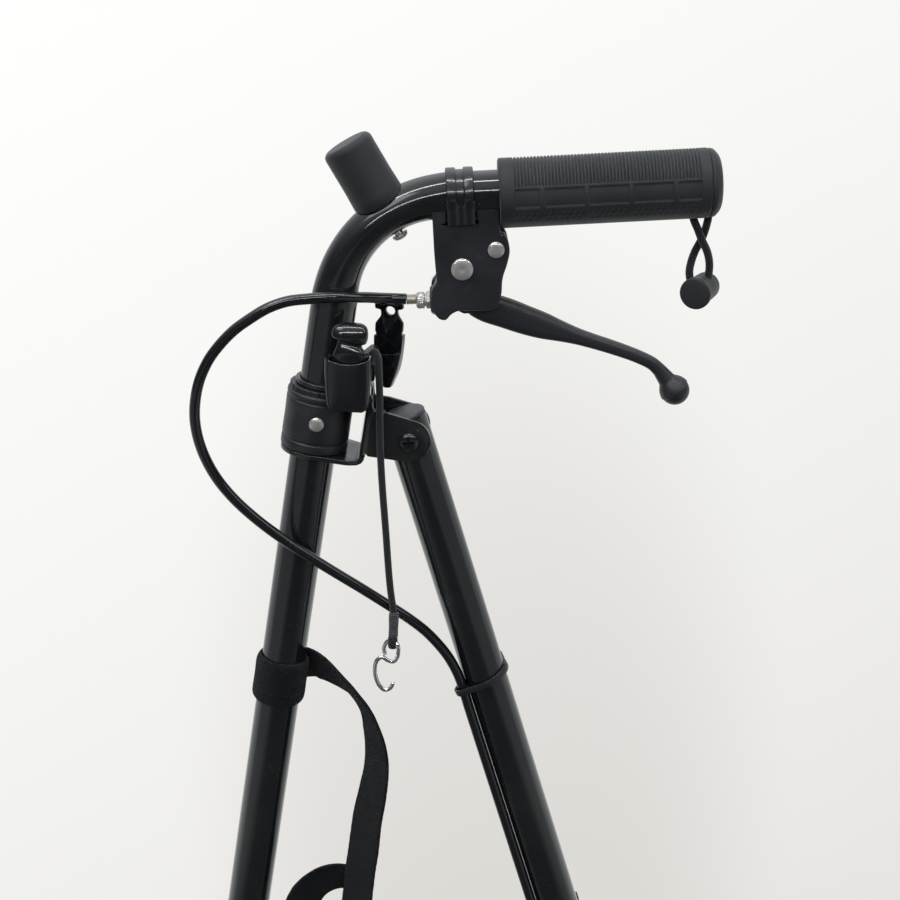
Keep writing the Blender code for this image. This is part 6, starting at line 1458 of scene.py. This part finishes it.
class CANE_OT_clips(bpy.types.Operator):
    """Two pocket clips with T-headed tongues, and the band that carries them on the main tube"""

    bl_idname = "cane.clips"
    bl_label = "Clips"

    def execute(self, context):
        near = [self.cup(NEAR_CLIP, *NEAR_CUP, NEAR_SHARES), self.rim()]
        far = self.cup(FAR_CLIP, *FAR_CUP, FAR_SHARES, 2.9, 10.5)
        for word, cup, insert in (("near", near, self.domed_insert()), ("far", far, self.flat_insert())):
            piece(context, f"pocket_clip_{word}", cup, "gloss", "frame", f"clip_cup_{word}", sharp=50.0)
            piece(context, f"clip_insert_{word}", insert, "gloss", "frame", f"clip_tongue_{word}")
        self.band(context)
        return {"FINISHED"}

    def cup(self, at, w, d, h, power, shares, lean=0.0, cut=0.0):
        """Rounded oblong sections up the outside, over a lip that dips in the middle, and down inside.

        The foot is carried sideways by lean (0.2 + (1 - z/h)^1.5), and the front wall ends lower by cut.
        """
        across, deep, high = np.array(shares).T
        a = angles(128)
        reach = superellipse(a, power)
        outside = [(w * x, d * y, h * z) for x, y, z in shares]
        lip = [(w * 0.985, d * 0.995, h * 0.985), (w * 0.96, d * 0.965, h * 0.998), (w * 0.93, d * 0.91, h),
               (w - 1.35, d - 1.0, h * 0.995), (w - 1.55, d - 1.45, h * 0.975)]
        inside = [(w * np.interp(s, high, across) - 1.65, d * np.interp(s, high, deep) - 1.65, h * s)
                  for s in (0.93, 0.80, 0.6, 0.42, 0.28, 0.18)]
        inside.append((w * np.interp(5 / h, high, across) - 1.9, d - 3.4, 5.0))
        rows = np.array(outside + lip + inside)
        x = rows[:, 0][:, None] * reach * np.cos(a)
        y = rows[:, 1][:, None] * reach * np.sin(a)
        rim = np.minimum(1.0, 1 + (22.6 - np.sqrt(26.0**2 - np.clip(x, -12.8, 12.8) ** 2)) / h)
        share = smoothstep((rows[:, 2] / h - 0.55) / 0.45)[:, None]
        z = rows[:, 2][:, None] * (1 + (rim - 1) * share)
        z = z - cut * np.clip(z / h - 0.35, 0.0, 1.0) / 0.65 * smoothstep((y / d - 0.35) / 0.35)
        x = x + lean * (0.2 + (1 - np.minimum(z / h, 1.0)) ** 1.5)
        return skin(at.put(np.stack((x, y, z), -1) * MM))

    def rim(self):
        """Thin bead down one front corner of the near cup, across its foot and up the other."""
        w, d, h, power = NEAR_CUP
        c = 0.5 ** (1 / power)
        side = np.array([(w * x * c, -d * y * c, h * z) for x, y, z in NEAR_SHARES])
        half = spline(side * MM, 0.5 * MM)[::-1]
        other = half[::-1] * (-1, 1, 1)
        across = np.linspace(half[-1], other[0], 14)[1:-1]
        return carried(NEAR_CLIP.put(np.concatenate((half, across, other))), circle(0.42 * MM, 12))

    def domed_insert(self):
        """Swelling sections up the tongue, a neck whose rows slope down to the right, and a domed head."""
        rows = ((6.6, 2.0, 5.3), (9.4, 3.0, 9.3), (9.7, 3.4, 20.0), (9.6, 3.9, 29.0), (9.0, 4.3, 32.0),
                (8.0, 4.2, 34.2), (7.0, 3.5, 36.2), (6.6, 2.8, 37.7), (7.0, 2.9, 38.7), (8.9, 4.2, 39.8),
                (9.8, 4.9, 41.7), (9.7, 4.9, 44.6), (8.8, 4.3, 46.9), (6.8, 3.0, 48.3), (4.4, 1.6, 48.7))
        rows = spline(np.array(rows) * MM, 0.45 * MM)
        a = angles(120)
        reach = superellipse(a, 2.7)
        x, y = rows[:, :1] * reach * np.cos(a), rows[:, 1:2] * reach * np.sin(a)
        z = rows[:, 2:] - 0.19 * x * np.exp(-((rows[:, 2:] / MM - 38.4) / 3.6) ** 2)
        y = y + 0.26 * np.maximum(rows[:, 2:] - 40.0 * MM, 0.0)
        grid = np.stack((x, y, z), -1)
        return skin(NEAR_CLIP.put(grid + (0.8 * MM, 0.0, 0.0)))

    def flat_insert(self):
        """Flat tongue with shoulders, a neck and a T bar, with a slot through the neck."""
        right = [(4.0, 9.0), (5.6, 16.0), (6.7, 24.0), (7.0, 30.0), (8.3, 33.4), (8.3, 37.8), (5.3, 42.0),
                 (5.0, 43.2), (5.0, 45.6), (8.4, 46.2), (8.4, 50.0)]
        outline = np.array(right + [(-x, z) for x, z in right[::-1]])
        outline[:, 0] += np.interp(outline[:, 1], (9.0, 16.0, 24.0, 33.0, 42.0), (2.8, 1.8, 1.2, 0.6, -0.5))
        outline = outline * MM
        outline = resampled(rounded(outline, 0.9 * MM, 6, True), 240, True)
        slot = (-1.2 * MM, 45.2 * MM, 2.5 * MM, 1.1)
        return plate(outline, -1.3 * MM, 1.3 * MM, 0.6 * MM, FAR_CLIP.put, hole=slot, steps=5)

    def band(self, context):
        """An open C round the main tube, with an arm to each clip."""
        rows = rounded(mm((15.2, 42.0), (15.2, 30.0), (13.0, 30.0), (13.0, 42.0)), 0.5 * MM, 5, True)
        a = np.linspace(radians(-66.0), radians(128.0), 70)[:, None]
        r, z = rows[None, :, 0], rows[None, :, 1]
        skins = [skin(MAIN.put(np.stack((r * np.cos(a), r * np.sin(a), z + 0 * a), -1)))]
        skins.append(block((16 * MM, 7.6 * MM, 9.4 * MM), (21.6 * MM, 0.0, 36 * MM), 0.8 * MM, MAIN.put))
        skins.append(block((8 * MM, 13.6 * MM, 9.4 * MM), (24 * MM, -8.6 * MM, 36 * MM), 0.8 * MM, MAIN.put))
        skins.append(block((5 * MM, 18.4 * MM, 8.2 * MM), (9.2 * MM, 9.7 * MM, 21 * MM), 0.8 * MM,
                           FAR_CLIP.put))
        piece(context, "clip_band_round_tube", skins, "moulding", "frame", "clip_band")


# Strap


# Place in mm from the fold pivot, then the direction of the strap's width
STRAP_STOPS = (
    (-80.6, 18.0, -153.7, 0.04, -0.42, 0.91), (-74.3, 17.2, -150.6, 0.04, -0.42, 0.91),
    (-68.4, 14.0, -147.8, 0.05, -0.43, 0.90), (-61.9, 8.0, -146.8, 0.11, -0.54, 0.83),
    (-55.5, 1.5, -147.7, 0.17, -0.67, 0.72), (-50.1, -4.0, -149.7, 0.19, -0.78, 0.60),
    (-44.9, -9.0, -152.7, 0.20, -0.86, 0.47), (-39.4, -13.5, -158.1, 0.21, -0.87, 0.44),
    (-34.5, -16.5, -165.5, 0.26, -0.86, 0.43), (-31.5, -19.0, -174.6, 0.36, -0.84, 0.41),
    (-29.9, -19.4, -185.1, 0.46, -0.81, 0.35), (-29.6, -19.7, -195.3, 0.53, -0.80, 0.26),
    (-30.8, -20.0, -206.6, 0.57, -0.80, 0.21), (-33.5, -20.0, -219.3, 0.62, -0.77, 0.14),
    (-37.7, -20.0, -236.3, 0.66, -0.74, 0.13), (-40.8, -20.0, -253.8, 0.68, -0.71, 0.15),
    (-44.8, -20.0, -274.7, 0.68, -0.71, 0.15), (-47.7, -20.0, -292.7, 0.68, -0.71, 0.17),
    (-53.0, -19.0, -315.5, 0.65, -0.76, 0.03), (-63.0, -17.0, -334.6, 0.37, -0.87, -0.34),
    (-76.7, -14.0, -341.2, -0.14, -0.83, -0.54), (-85.4, -11.0, -330.2, -0.67, -0.70, -0.24),
    (-85.2, -8.5, -313.6, -0.82, -0.56, 0.11), (-82.2, -7.0, -301.7, -0.81, -0.50, 0.30),
    (-78.0, -6.0, -294.7, -0.73, -0.45, 0.52), (-72.1, -5.0, -289.9, -0.59, -0.42, 0.69),
    (-65.8, -4.0, -287.3, -0.41, -0.39, 0.82), (-59.0, -3.0, -287.0, -0.16, -0.39, 0.91),
    (-51.8, -2.4, -288.9, -0.01, -0.42, 0.91), (-46.4, -2.2, -291.9, 0.11, -0.42, 0.90),
)


class CANE_OT_strap(bpy.types.Operator):
    """Hook and loop strap: a wrap round the main tube, and a free tail carried along its fall"""

    bl_idname = "cane.strap"
    bl_label = "Strap"

    def execute(self, context):
        sizes = context.scene.cane_sizes
        piece(context, "strap_round_tube", self.wrap(), "webbing", "frame", "strap_wrap")
        stops, wides = np.array(STRAP_STOPS)[:, :3], np.array(STRAP_STOPS)[:, 3:]
        path = from_pivot(stops)
        line = spline(path, 1.5 * MM)
        share = distances(stops)
        u = np.linspace(0.0, share[-1], len(line))
        wide = np.stack([np.interp(u, share, column) for column in wides.T], 1)
        ends = round_end(line, 1.2 * MM)
        rng = np.random.default_rng(7)
        wave = np.cumsum(rng.normal(0.0, 1.0, (len(line), 2)), 0)
        wave = (wave - np.linspace(0, 1, len(line))[:, None] * wave[-1]) / np.abs(wave).max()
        wave[:, 1] = wave[:, 1] * 0.4 + rng.normal(0.0, 0.35, len(line))
        section = oblong(1.1 * MM, sizes.strap_width / 2, 8.0, 72)
        scale = np.stack((ends * (1 + 0.10 * wave[:, 0]), 1 + 0.02 * wave[:, 1]), 1)
        tail = self.ribbon(line, wide, section, scale)
        tail = piece(context, "strap_free_end", tail, "webbing", "frame", "strap_tail")
        return {"FINISHED"}

    def ribbon(self, line, wide, section, scale):
        """P(s) + x T x W + y W, with the width direction W interpolated along the strap."""
        tangent = unit(np.gradient(line, axis=0))
        wide = unit(wide - tangent * np.sum(tangent * wide, 1)[:, None])
        thick = np.cross(tangent, wide)
        x = section[:, 0] * scale[:, :1]
        y = section[:, 1] * scale[:, 1:]
        return skin(line[:, None] + x[..., None] * thick[:, None] + y[..., None] * wide[:, None])

    def wrap(self):
        """A spiral band: radius grows by one strap thickness over the overlap, with rolled edges."""
        h, up, inner = 28.0, -162.6, 13.0
        z = np.concatenate((np.linspace(-h / 2, h / 2, 40), np.linspace(h / 2, -h / 2, 12)))
        swell = 0.25 * np.sin(np.linspace(0, 9, 40)) * 0.3
        edge = 1 - np.abs(np.linspace(-1, 1, 40)) ** 10
        r = np.concatenate((inner + 0.9 + (1.9 + swell) * edge, np.full(12, inner)))
        a = angles(120)
        step = smoothstep((np.cos(a + 1.9) - 0.2) / 0.3)
        out = np.concatenate((np.ones(40), np.zeros(12)))[:, None]
        R = r[:, None] - out * 0.35 * (1 - step)
        grid = np.stack(np.broadcast_arrays(R * np.cos(a), R * np.sin(a), z[:, None] + up), -1) * MM
        return skin(MAIN.put(grid), round_rows=True)


# Ties and fittings on the rear leg


def belt(extra, count=160):
    """Outline round the leg and the cable: c + (r + extra) u of the one whose c.u + r is larger."""
    a = angles(count)
    u = np.stack((np.cos(a), np.sin(a)), 1)
    leg = u * (12.7 * MM + extra)
    cable = u * (3.0 * MM + extra) + (-CABLE_SIDE, CABLE_LEG_Y)
    use_leg = np.sum(u * leg, 1) > np.sum(u * cable, 1)
    return resampled(np.where(use_leg[:, None], leg, cable), count, True)


class CANE_OT_leg_fittings(bpy.types.Operator):
    """Cable ties as bands round the leg and cable, the cable stop, and the wire below it"""

    bl_idname = "cane.leg_fittings"
    bl_label = "Rear leg fittings"

    def execute(self, context):
        run = -CABLE_END - 200 * MM
        for word, along, tilt in (("top", 158.5 * MM, -10.0), ("middle", 200 * MM + 0.40 * run, 0.0),
                                  ("low", 200 * MM + 0.69 * run, 0.0)):
            at = Frame(LEG.put((0.0, 0.0, -along)), radians(tilt) - REAR_LEAN)
            piece(context, f"zip_tie_{word}", self.tie(at), "moulding", "rear_leg", f"cable_tie_{word}")
        self.stop(context)
        return {"FINISHED"}

    def tie(self, at):
        """A belt round leg and cable, and the tie's square head."""
        levels = []
        for extra, z in ((0.8, -1.9), (1.9, -1.9), (2.1, -1.5), (2.1, 1.5), (1.9, 1.9), (0.8, 1.9)):
            ring = belt(extra * MM)
            levels.append(np.column_stack((ring, np.full(len(ring), z * MM))))
        head = block((5.4 * MM, 5.0 * MM, 5.4 * MM), (9.9 * MM, 12.8 * MM, 0.0), 0.7 * MM, at.put)
        return [skin(at.put(np.array(levels)), round_rows=True), head]

    def stop(self, context):
        """The clip that holds the cable's end, and the bare wire from there to the brake bar."""
        at = Frame(LEG.put((0.0, 0.0, AXLE_ALONG + 150 * MM)), -REAR_LEAN)
        rows = rounded(mm((15.4, 5.0), (15.4, -5.0), (13.0, -5.0), (13.0, 5.0)), 0.5 * MM, 5, True)
        skins = [turned(rows, at.put, steps=80, closed=True)]
        skins.append(block((9 * MM, 9 * MM, 10 * MM), (-CABLE_SIDE, CABLE_LOW_Y, 0.0), 1.2 * MM, at.put))
        skins.append(block((9 * MM, 7.6 * MM, 8 * MM), (-12.0 * MM, -9.8 * MM, 0.0), 0.8 * MM, at.put))
        piece(context, "cable_stop_clip", skins, "moulding", "rear_leg", "cable_stop")
        top, low = AXLE_ALONG + 154 * MM, AXLE_ALONG + 70.7 * MM
        z = np.linspace(top, low, 90)
        wire = LEG.put(np.stack((np.full(90, -CABLE_SIDE), np.full(90, CABLE_LOW_Y), z), 1))
        barrel = mm((0.0, 0.0), (2.6, 0.0), (3.0, -0.4), (3.0, -4.6), (2.6, -5.0), (0.0, -5.0))
        end = Frame(LEG.put((-CABLE_SIDE, CABLE_LOW_Y, low)), -REAR_LEAN)
        skins = [carried(wire, stranded(0.8 * MM), twist=np.linspace(0, 40, 90)),
                 turned(barrel, end.put, steps=32)]
        piece(context, "brake_pull_wire", skins, "steel", "rear_leg", "brake_wire")


class CANE_OT_axle(bpy.types.Operator):
    """Casting at the leg's foot, cross tube, axle rod and nuts"""

    bl_idname = "cane.axle"
    bl_label = "Rear axle"

    def execute(self, context):
        foot = Frame(REAR_AXLE, -REAR_LEAN)
        low = 9.5
        rows = mm((16.0, low), (16.0, 88.0), (15.4, 89.4), (13.0, 89.5), (13.0, low))
        sleeve = mm((12.8, -28.0), (12.8, 28.0), (9.8, 28.0), (9.8, -28.0))
        lug = np.concatenate((arc((-26.0, 75.0), 6.0, 90, 270, 20), ((-14.0, 69.0), (-14.0, 81.0)))) * MM
        skins = [turned(rounded(rows, 0.5 * MM, 5, True), foot.put, steps=96, closed=True),
                 turned(rounded(sleeve, 0.7 * MM, 5, True), foot.put, "Y", 96, True),
                 plate(rounded(lug, 0.3 * MM, 3, True), -8 * MM, 8 * MM, 0.9 * MM, foot.put)]
        piece(context, "leg_foot_casting", skins, "moulding", "rear_leg", "axle_tee")
        tube = rounded(mm((9.5, 84.0), (9.5, -84.0), (4.3, -84.0), (4.3, 84.0)), 0.5 * MM, 4, True)
        piece(context, "rear_cross_tube", turned(tube, foot.put, "Y", 80, True), "paint_plain", "rear_leg",
              "axle_cross_tube")
        rod = mm((0.0, 122.0), (3.5, 122.0), (4.0, 121.4), (4.0, -121.4), (3.5, -122.0), (0.0, -122.0))
        piece(context, "rear_axle_rod", turned(rod, foot.put, "Y", 48), "steel", "rear_leg", "rear_axle")
        for word, side in (("near", "-Y"), ("far", "Y")):
            way = -1 if word == "near" else 1
            at = Frame(REAR_AXLE + (0.0, way * 115.3 * MM, 0.0), -REAR_LEAN)
            piece(context, f"rear_axle_nut_{word}", hexagon(13 * MM, 4.3 * MM, 6 * MM, at.put, side),
                  "steel", "rear_leg", f"axle_nut_{word}")
        return {"FINISHED"}


class CANE_OT_brake_bar(bpy.types.Operator):
    """Brake bar with its arms as plates, and rubber shoes curved to the tyres"""

    bl_idname = "cane.brake_bar"
    bl_label = "Brake bar"

    def execute(self, context):
        angle, gap, half_shoe = radians(135.0), 2.9, 7.0
        back = TYRE + gap + 8.0 + 0.3
        spread = half_shoe / back

        def about(radius, turn):
            """A point round the rear axle, seen from the brake bar's pivot."""
            return np.stack((26.0 + radius * np.cos(turn), -75.0 + radius * np.sin(turn)), -1)

        pad = about(back, np.linspace(angle + spread, angle - spread, 10))
        outline = np.concatenate((about(back + 3, np.array((angle + spread,))), pad,
                                  arc((0.0, 0.0), 6.5, -20, 150, 20)))
        outline = rounded(outline * MM, 0.5 * MM, 3, True)
        bar = mm((0.0, 102.5), (3.5, 102.5), (4.0, 102.0), (4.0, -102.0), (3.5, -102.5), (0.0, -102.5))
        skins = [turned(bar, BRAKE.put, "Y", 40)]
        skins += [plate(outline, (y - 2.5) * MM, (y + 2.5) * MM, 0.6 * MM, BRAKE.put)
                  for y in (-100.0, 100.0)]
        arm = np.concatenate((arc((0.0, 0.0), 6.0, 60, 300, 20), arc((11.5, 0.0), 3.2, -90, 90, 12))) * MM
        skins.append(plate(arm, -16 * MM, -12 * MM, 0.5 * MM, BRAKE.put))
        piece(context, "brake_cross_bar", skins, "paint_plain", "brake", "brake_bar")
        for word, y in (("near", -100.0), ("far", 100.0)):
            turns = np.linspace(angle - half_shoe / 69.4, angle + half_shoe / 69.4, 16)
            inner, outer = about(TYRE + gap, turns), about(back - 0.3, turns[::-1])
            shoe = rounded(np.concatenate((inner, outer)) * MM, 0.5 * MM, 3, True)
            made = plate(shoe, (y - 10) * MM, (y + 10) * MM, 0.8 * MM, BRAKE.put)
            piece(context, f"shoe_pad_{word}", made, "shoe", "brake", f"brake_shoe_{word}")
        return {"FINISHED"}


# Wheels and caster


class CANE_OT_wheels(bpy.types.Operator):
    """Dished hubs with a boss, rings and six ribs, and tyres with a grooved tread, spun about their axles"""

    bl_idname = "cane.wheels"
    bl_label = "Wheels"

    def execute(self, context):
        sizes = context.scene.cane_sizes
        places = (("rear", "_near", REAR_AXLE + (0, -HALF_TRACK, 0)),
                  ("rear", "_far", REAR_AXLE + (0, HALF_TRACK, 0)), ("front", "", FRONT_AXLE))
        for end, tail, at in places:
            here, body = Frame(at), f"{end}_wheel{tail}"
            piece(context, f"{end}_wheel_hub{tail}", self.hub(here.put), "hub", body, f"{end}_hub{tail}")
            piece(context, f"{end}_wheel_tyre{tail}", self.tyre(here.put, sizes.wheel_diameter / 2), "tyre",
                  body, f"{end}_tyre{tail}")
        return {"FINISHED"}

    def hub(self, put):
        """Section from the bore over the boss, the dished web and the rim, mirrored for the other side."""
        near = np.array(((4.3, 15.0), (9.4, 15.0), (11.0, 14.2), (11.4, 4.6), (13.0, 3.2), (24.0, 2.5),
                         (25.5, 3.4), (28.5, 3.4), (30.0, 2.5), (42.6, 2.6), (44.4, 4.4), (44.7, 9.6),
                         (45.6, 11.0), (48.0, 11.0), (49.2, 10.6)))
        rows = np.concatenate((near, near[::-1] * (1, -1))) * MM
        profile = rounded(rows, 0.8 * MM, 5, True)
        skins = [turned(profile, put, "Y", 160, True)]
        spoke = mm((11.0, -1.5), (44.0, -1.1), (44.0, 1.1), (11.0, 1.5))
        for turn in np.arange(6) * pi / 3:
            c, s = cos(turn), sin(turn)
            outline = spoke @ np.array(((c, s), (-s, c)))
            skins.append(plate(rounded(outline, 0.4 * MM, 3, True), -8.2 * MM, 8.2 * MM, 0.6 * MM, put))
        return skins

    def tyre(self, put, radius):
        """Round-shouldered section with two grooves, and cross sipes cut into the shoulders."""
        r = radius / MM
        a = np.linspace(0.0, pi / 2, 9)
        shoulder = np.stack((r - 7.5 + 7.5 * np.sin(a), 6.5 + 7.5 * np.cos(a)), 1)
        crown = np.array(((r, 5.2), (r - 1.0, 4.7), (r - 1.0, 3.7), (r, 3.2), (r, 0.0)))
        half = np.concatenate((((r - 13.0, 11.0), (r - 10.0, 13.6)), shoulder, crown))
        rows = np.concatenate((half, half[:-1][::-1] * (1, -1))) * MM
        profile = rounded(rows, 0.25 * MM, 3, True)

        def siped(a, p):
            """44 cross cuts, on the shoulders only."""
            beside = smoothstep((np.abs(p[:, 1]) - 6.0 * MM) / (2.0 * MM))
            outer = smoothstep((p[:, 0] - (r - 6.0) * MM) / (2 * MM))
            cut = smoothstep((np.cos(44 * a) - 0.72) / 0.2)
            return 1 - 0.014 * (beside * outer)[:, None] * cut

        return turned(profile, put, "Y", 352, True, siped)


class CANE_OT_caster(bpy.types.Operator):
    """Caster head with its slanted socket, the fork with its crown and blades, and the front axle"""

    bl_idname = "cane.caster"
    bl_label = "Caster"

    def execute(self, context):
        low, top = 142.0, 200.0
        rows = mm((0.0, top), (14.6, top), (17.0, top - 2.4), (17.0, low + 6), (16.4, low + 5.4),
                  (16.4, low + 4.4), (17.0, low + 3.8), (17.0, low + 1), (16.0, low), (6.3, low),
                  (6.3, low + 42), (0.0, low + 42))
        head = turned(rounded(rows, 0.4 * MM, 4), CASTER.put, steps=128)
        foot = Frame(CASTER_AT + (0.0, 0.0, 196 * MM), MAIN_LEAN)
        socket = mm((16.0, -5.0), (16.0, 38.6), (15.6, 39.0), (13.0, 39.0), (13.0, -0.3), (10.0, -0.4),
                    (10.0, -5.0))
        sleeve = turned(rounded(socket, 0.4 * MM, 4, True), foot.put, steps=96, closed=True)
        piece(context, "caster_bearing_head", [head, sleeve], "moulding", "frame", "caster_head")
        crown_low, crown_top, sheet, half = 130.5, 141.4, 3.0, 17.0
        blade = np.concatenate((((-13.0, crown_top - 4), (-12.0, crown_low - 18)),
                                arc((25.0, 62.5), 11.0, 190, 350, 40),
                                ((24.0, crown_low - 14), (20.0, crown_top - 4)))) * MM
        blade = rounded(blade, 2.5 * MM, 5, True)
        middles = [side * (half + sheet / 2) * MM for side in (-1, 1)]
        skins = [plate(blade, y - sheet / 2 * MM, y + sheet / 2 * MM, 0.6 * MM, CASTER.put) for y in middles]
        skins.append(block((34 * MM, 40 * MM, 10.9 * MM), (3 * MM, 0.0, 135.95 * MM), 2.8 * MM, CASTER.put))
        stem = mm((0.0, 184.0), (5.2, 184.0), (6.0, 183.2), (6.0, 139.0), (0.0, 139.0))
        skins.append(turned(stem, CASTER.put, steps=48))
        piece(context, "caster_fork_arms", skins, "paint_plain", "caster", "caster_fork")
        at = Frame(FRONT_AXLE)
        rows = mm((0.0, 24.3), (4.6, 24.3), (6.2, 23.2), (6.5, 20.6), (6.3, 20.3), (4.0, 20.3),
                  (4.0, -26.8), (3.5, -27.3), (0.0, -27.3))
        piece(context, "front_axle_bolt", turned(rows, at.put, "Y", 56), "steel", "caster", "front_axle")
        near = Frame(FRONT_AXLE + (0.0, -20.3 * MM, 0.0))
        piece(context, "front_axle_lock_nut", hexagon(13 * MM, 4.3 * MM, 6 * MM, near.put, "-Y"), "steel",
              "caster", "front_axle_nut")
        return {"FINISHED"}


# Stage


# Name, place, aim, width and height in metres, watts
LAMPS = (
    ("key_panel", (-1.2, -0.9, 2.7), (0.0, 0.0, 0.6), (1.2, 0.9), 9.0),
    ("fill_panel", (1.7, -0.6, 1.9), (0.0, 0.0, 0.6), (0.7, 1.2), 4.0),
    ("strip_back", (0.05, -0.25, 1.94), (0.05, 0.0, 0.86), (1.7, 0.06), 6.5),
    ("strip_front", (0.05, -1.10, 1.45), (0.05, 0.0, 0.86), (1.7, 0.05), 5.0),
)


class CANE_OT_stage(bpy.types.Operator):
    """Pale floor, even surroundings, a broad soft key and two narrow strips above the grip"""

    bl_idname = "cane.stage"
    bl_label = "Stage"

    def execute(self, context):
        scene = context.scene
        scene.view_settings.view_transform = "Standard"
        self.floor(context)
        self.surroundings(scene)
        for lamp in LAMPS:
            self.lamp(context, *lamp)
        return {"FINISHED"}

    def seen(self, f):
        """1 for what the camera sees straight or through glass."""
        path = f.node("ShaderNodeLightPath", out="Is Camera Ray")
        through = Wire(f, path.socket.node.outputs["Is Transmission Ray"])
        return f.node("ShaderNodeMath", {"operation": "MAXIMUM"}, path, through)

    def floor(self, context):
        """A broad disc, lit softly and seen pale through a glow that carries painted shade and a painted
        shadow, that keeps a share of the object's real shadow.
        """
        wide, top, low = 14.0, -0.0004, -0.02
        rows = ((0.0, top), (wide, top), (wide, low), (0.0, low))
        mesh = written("studio_floor", [turned(rows, steps=96)])
        made = bpy.data.objects.new("studio_floor", mesh)
        context.scene.collection.objects.link(made)
        f = Finish("studio_paper", roughness=0.9, specular_ior_level=0.1)
        pale = tuple(context.scene.cane_colours.backdrop)
        x, y, _ = f.parts(f.place())
        far = y + 0.93                       # distance from the camera
        turn, near = x / far, 1.0 / far      # place across and up the picture
        shadow_x, shadow_y = (turn - 0.02) * 8.3, (near - 0.58) * 4.0
        # Painted shadow, a dimmer pool low in the middle, over painted shade, a tone that falls towards the
        # camera and to the right
        painted_shadow = (shadow_x * shadow_x + shadow_y * shadow_y).ramp(0.0, 3.0, 0.14, 0.0)
        tone = 1.075 - (near - 0.094) * 0.36 - (turn + 0.26) * 0.15 - painted_shadow
        tone = f.mixed(((tone - 0.70) * 2.5).clamped(), (0.70, 0.68, 0.645), (1.10, 1.10, 1.085))
        # Painted shade: the lit floor is darker towards the camera and in the middle, so that the glossy
        # parts reflect a darker room
        share = (y.ramp(-0.3, 0.7) + x.abs().ramp(0.35, 1.3) * 0.45).clamped()
        f.shade(base_color=f.mixed(share, lighter(pale, 0.10), pale))
        glow = f.node("ShaderNodeEmission", None, tone, 1.0)
        shown = self.seen(f) * 0.86
        mix = f.node("ShaderNodeMixShader", None, shown, Wire(f, f.shader.outputs[0]), glow)
        f.tree.links.new(mix.socket, f.tree.nodes["Material Output"].inputs["Surface"])
        mesh.materials.append(f.material)

    def surroundings(self, scene):
        """Light that grows upwards and ahead, and an even pale backdrop for the camera."""
        world = scene.world or bpy.data.worlds.new("studio_surroundings")
        scene.world = world
        world.use_nodes = True
        f = Nodes(world.node_tree)
        seen = self.seen(f)
        _, ahead, up = f.parts(f.place())
        level = up.ramp(0.25, 0.95) * 0.75 + ahead.ramp(0.0, 0.9) * 0.60 + 0.07
        light = f.node("ShaderNodeBackground", None, (0.93, 0.97, 1.0, 1.0), level)
        pale = f.node("ShaderNodeBackground", None, (1.0, 1.0, 0.985, 1.0), 1.0)
        mix = f.node("ShaderNodeMixShader", None, seen, light, pale)
        f.tree.links.new(mix.socket, f.tree.nodes["World Output"].inputs["Surface"])
        f.tree.nodes.remove(f.tree.nodes["Background"])

    def lamp(self, context, name, at, towards, size, power):
        """A rectangular lamp at a place, turned towards another."""
        data = bpy.data.lights.new(name, "AREA")
        data.shape = "RECTANGLE"
        data.size, data.size_y, data.energy = size[0], size[1], power
        made = bpy.data.objects.new(name, data)
        away = Vector(at) - Vector(towards)
        made.matrix_world = Matrix.Translation(at) @ away.to_track_quat("Z", "Y").to_matrix().to_4x4()
        context.scene.collection.objects.link(made)


# Panel and running order


OPERATORS = (
    CANE_OT_camera, CANE_OT_cords, CANE_OT_main_tube, CANE_OT_rear_leg, CANE_OT_grip, CANE_OT_bumper,
    CANE_OT_housing, CANE_OT_lever, CANE_OT_collar, CANE_OT_bracket, CANE_OT_clips, CANE_OT_strap,
    CANE_OT_leg_fittings, CANE_OT_axle, CANE_OT_brake_bar, CANE_OT_wheels, CANE_OT_caster, CANE_OT_stage,
)


class CANE_PT_panel(bpy.types.Panel):
    """Sizes, colours and the steps that build the cane"""

    bl_label = "Walking cane"
    bl_idname = "CANE_PT_panel"
    bl_space_type = "VIEW_3D"
    bl_region_type = "UI"
    bl_category = "Cane"

    def draw(self, context):
        for group in (context.scene.cane_sizes, context.scene.cane_colours):
            box = self.layout.box()
            for name in group.__annotations__:
                box.prop(group, name)
        for step in OPERATORS:
            self.layout.operator(step.bl_idname)


CLASSES = (CaneSizes, CaneColours, *OPERATORS, CANE_PT_panel)


def register():
    """Registers the classes and hangs the settings on the scene."""
    for made in CLASSES:
        bpy.utils.register_class(made)
    bpy.types.Scene.cane_sizes = PointerProperty(type=CaneSizes)
    bpy.types.Scene.cane_colours = PointerProperty(type=CaneColours)


def unregister():
    """Takes back what register did."""
    del bpy.types.Scene.cane_colours
    del bpy.types.Scene.cane_sizes
    for made in reversed(CLASSES):
        bpy.utils.unregister_class(made)


def main():
    register()
    for step in OPERATORS:
        group, name = step.bl_idname.split(".")
        getattr(getattr(bpy.ops, group), name)()


if __name__ == "__main__":
    main()
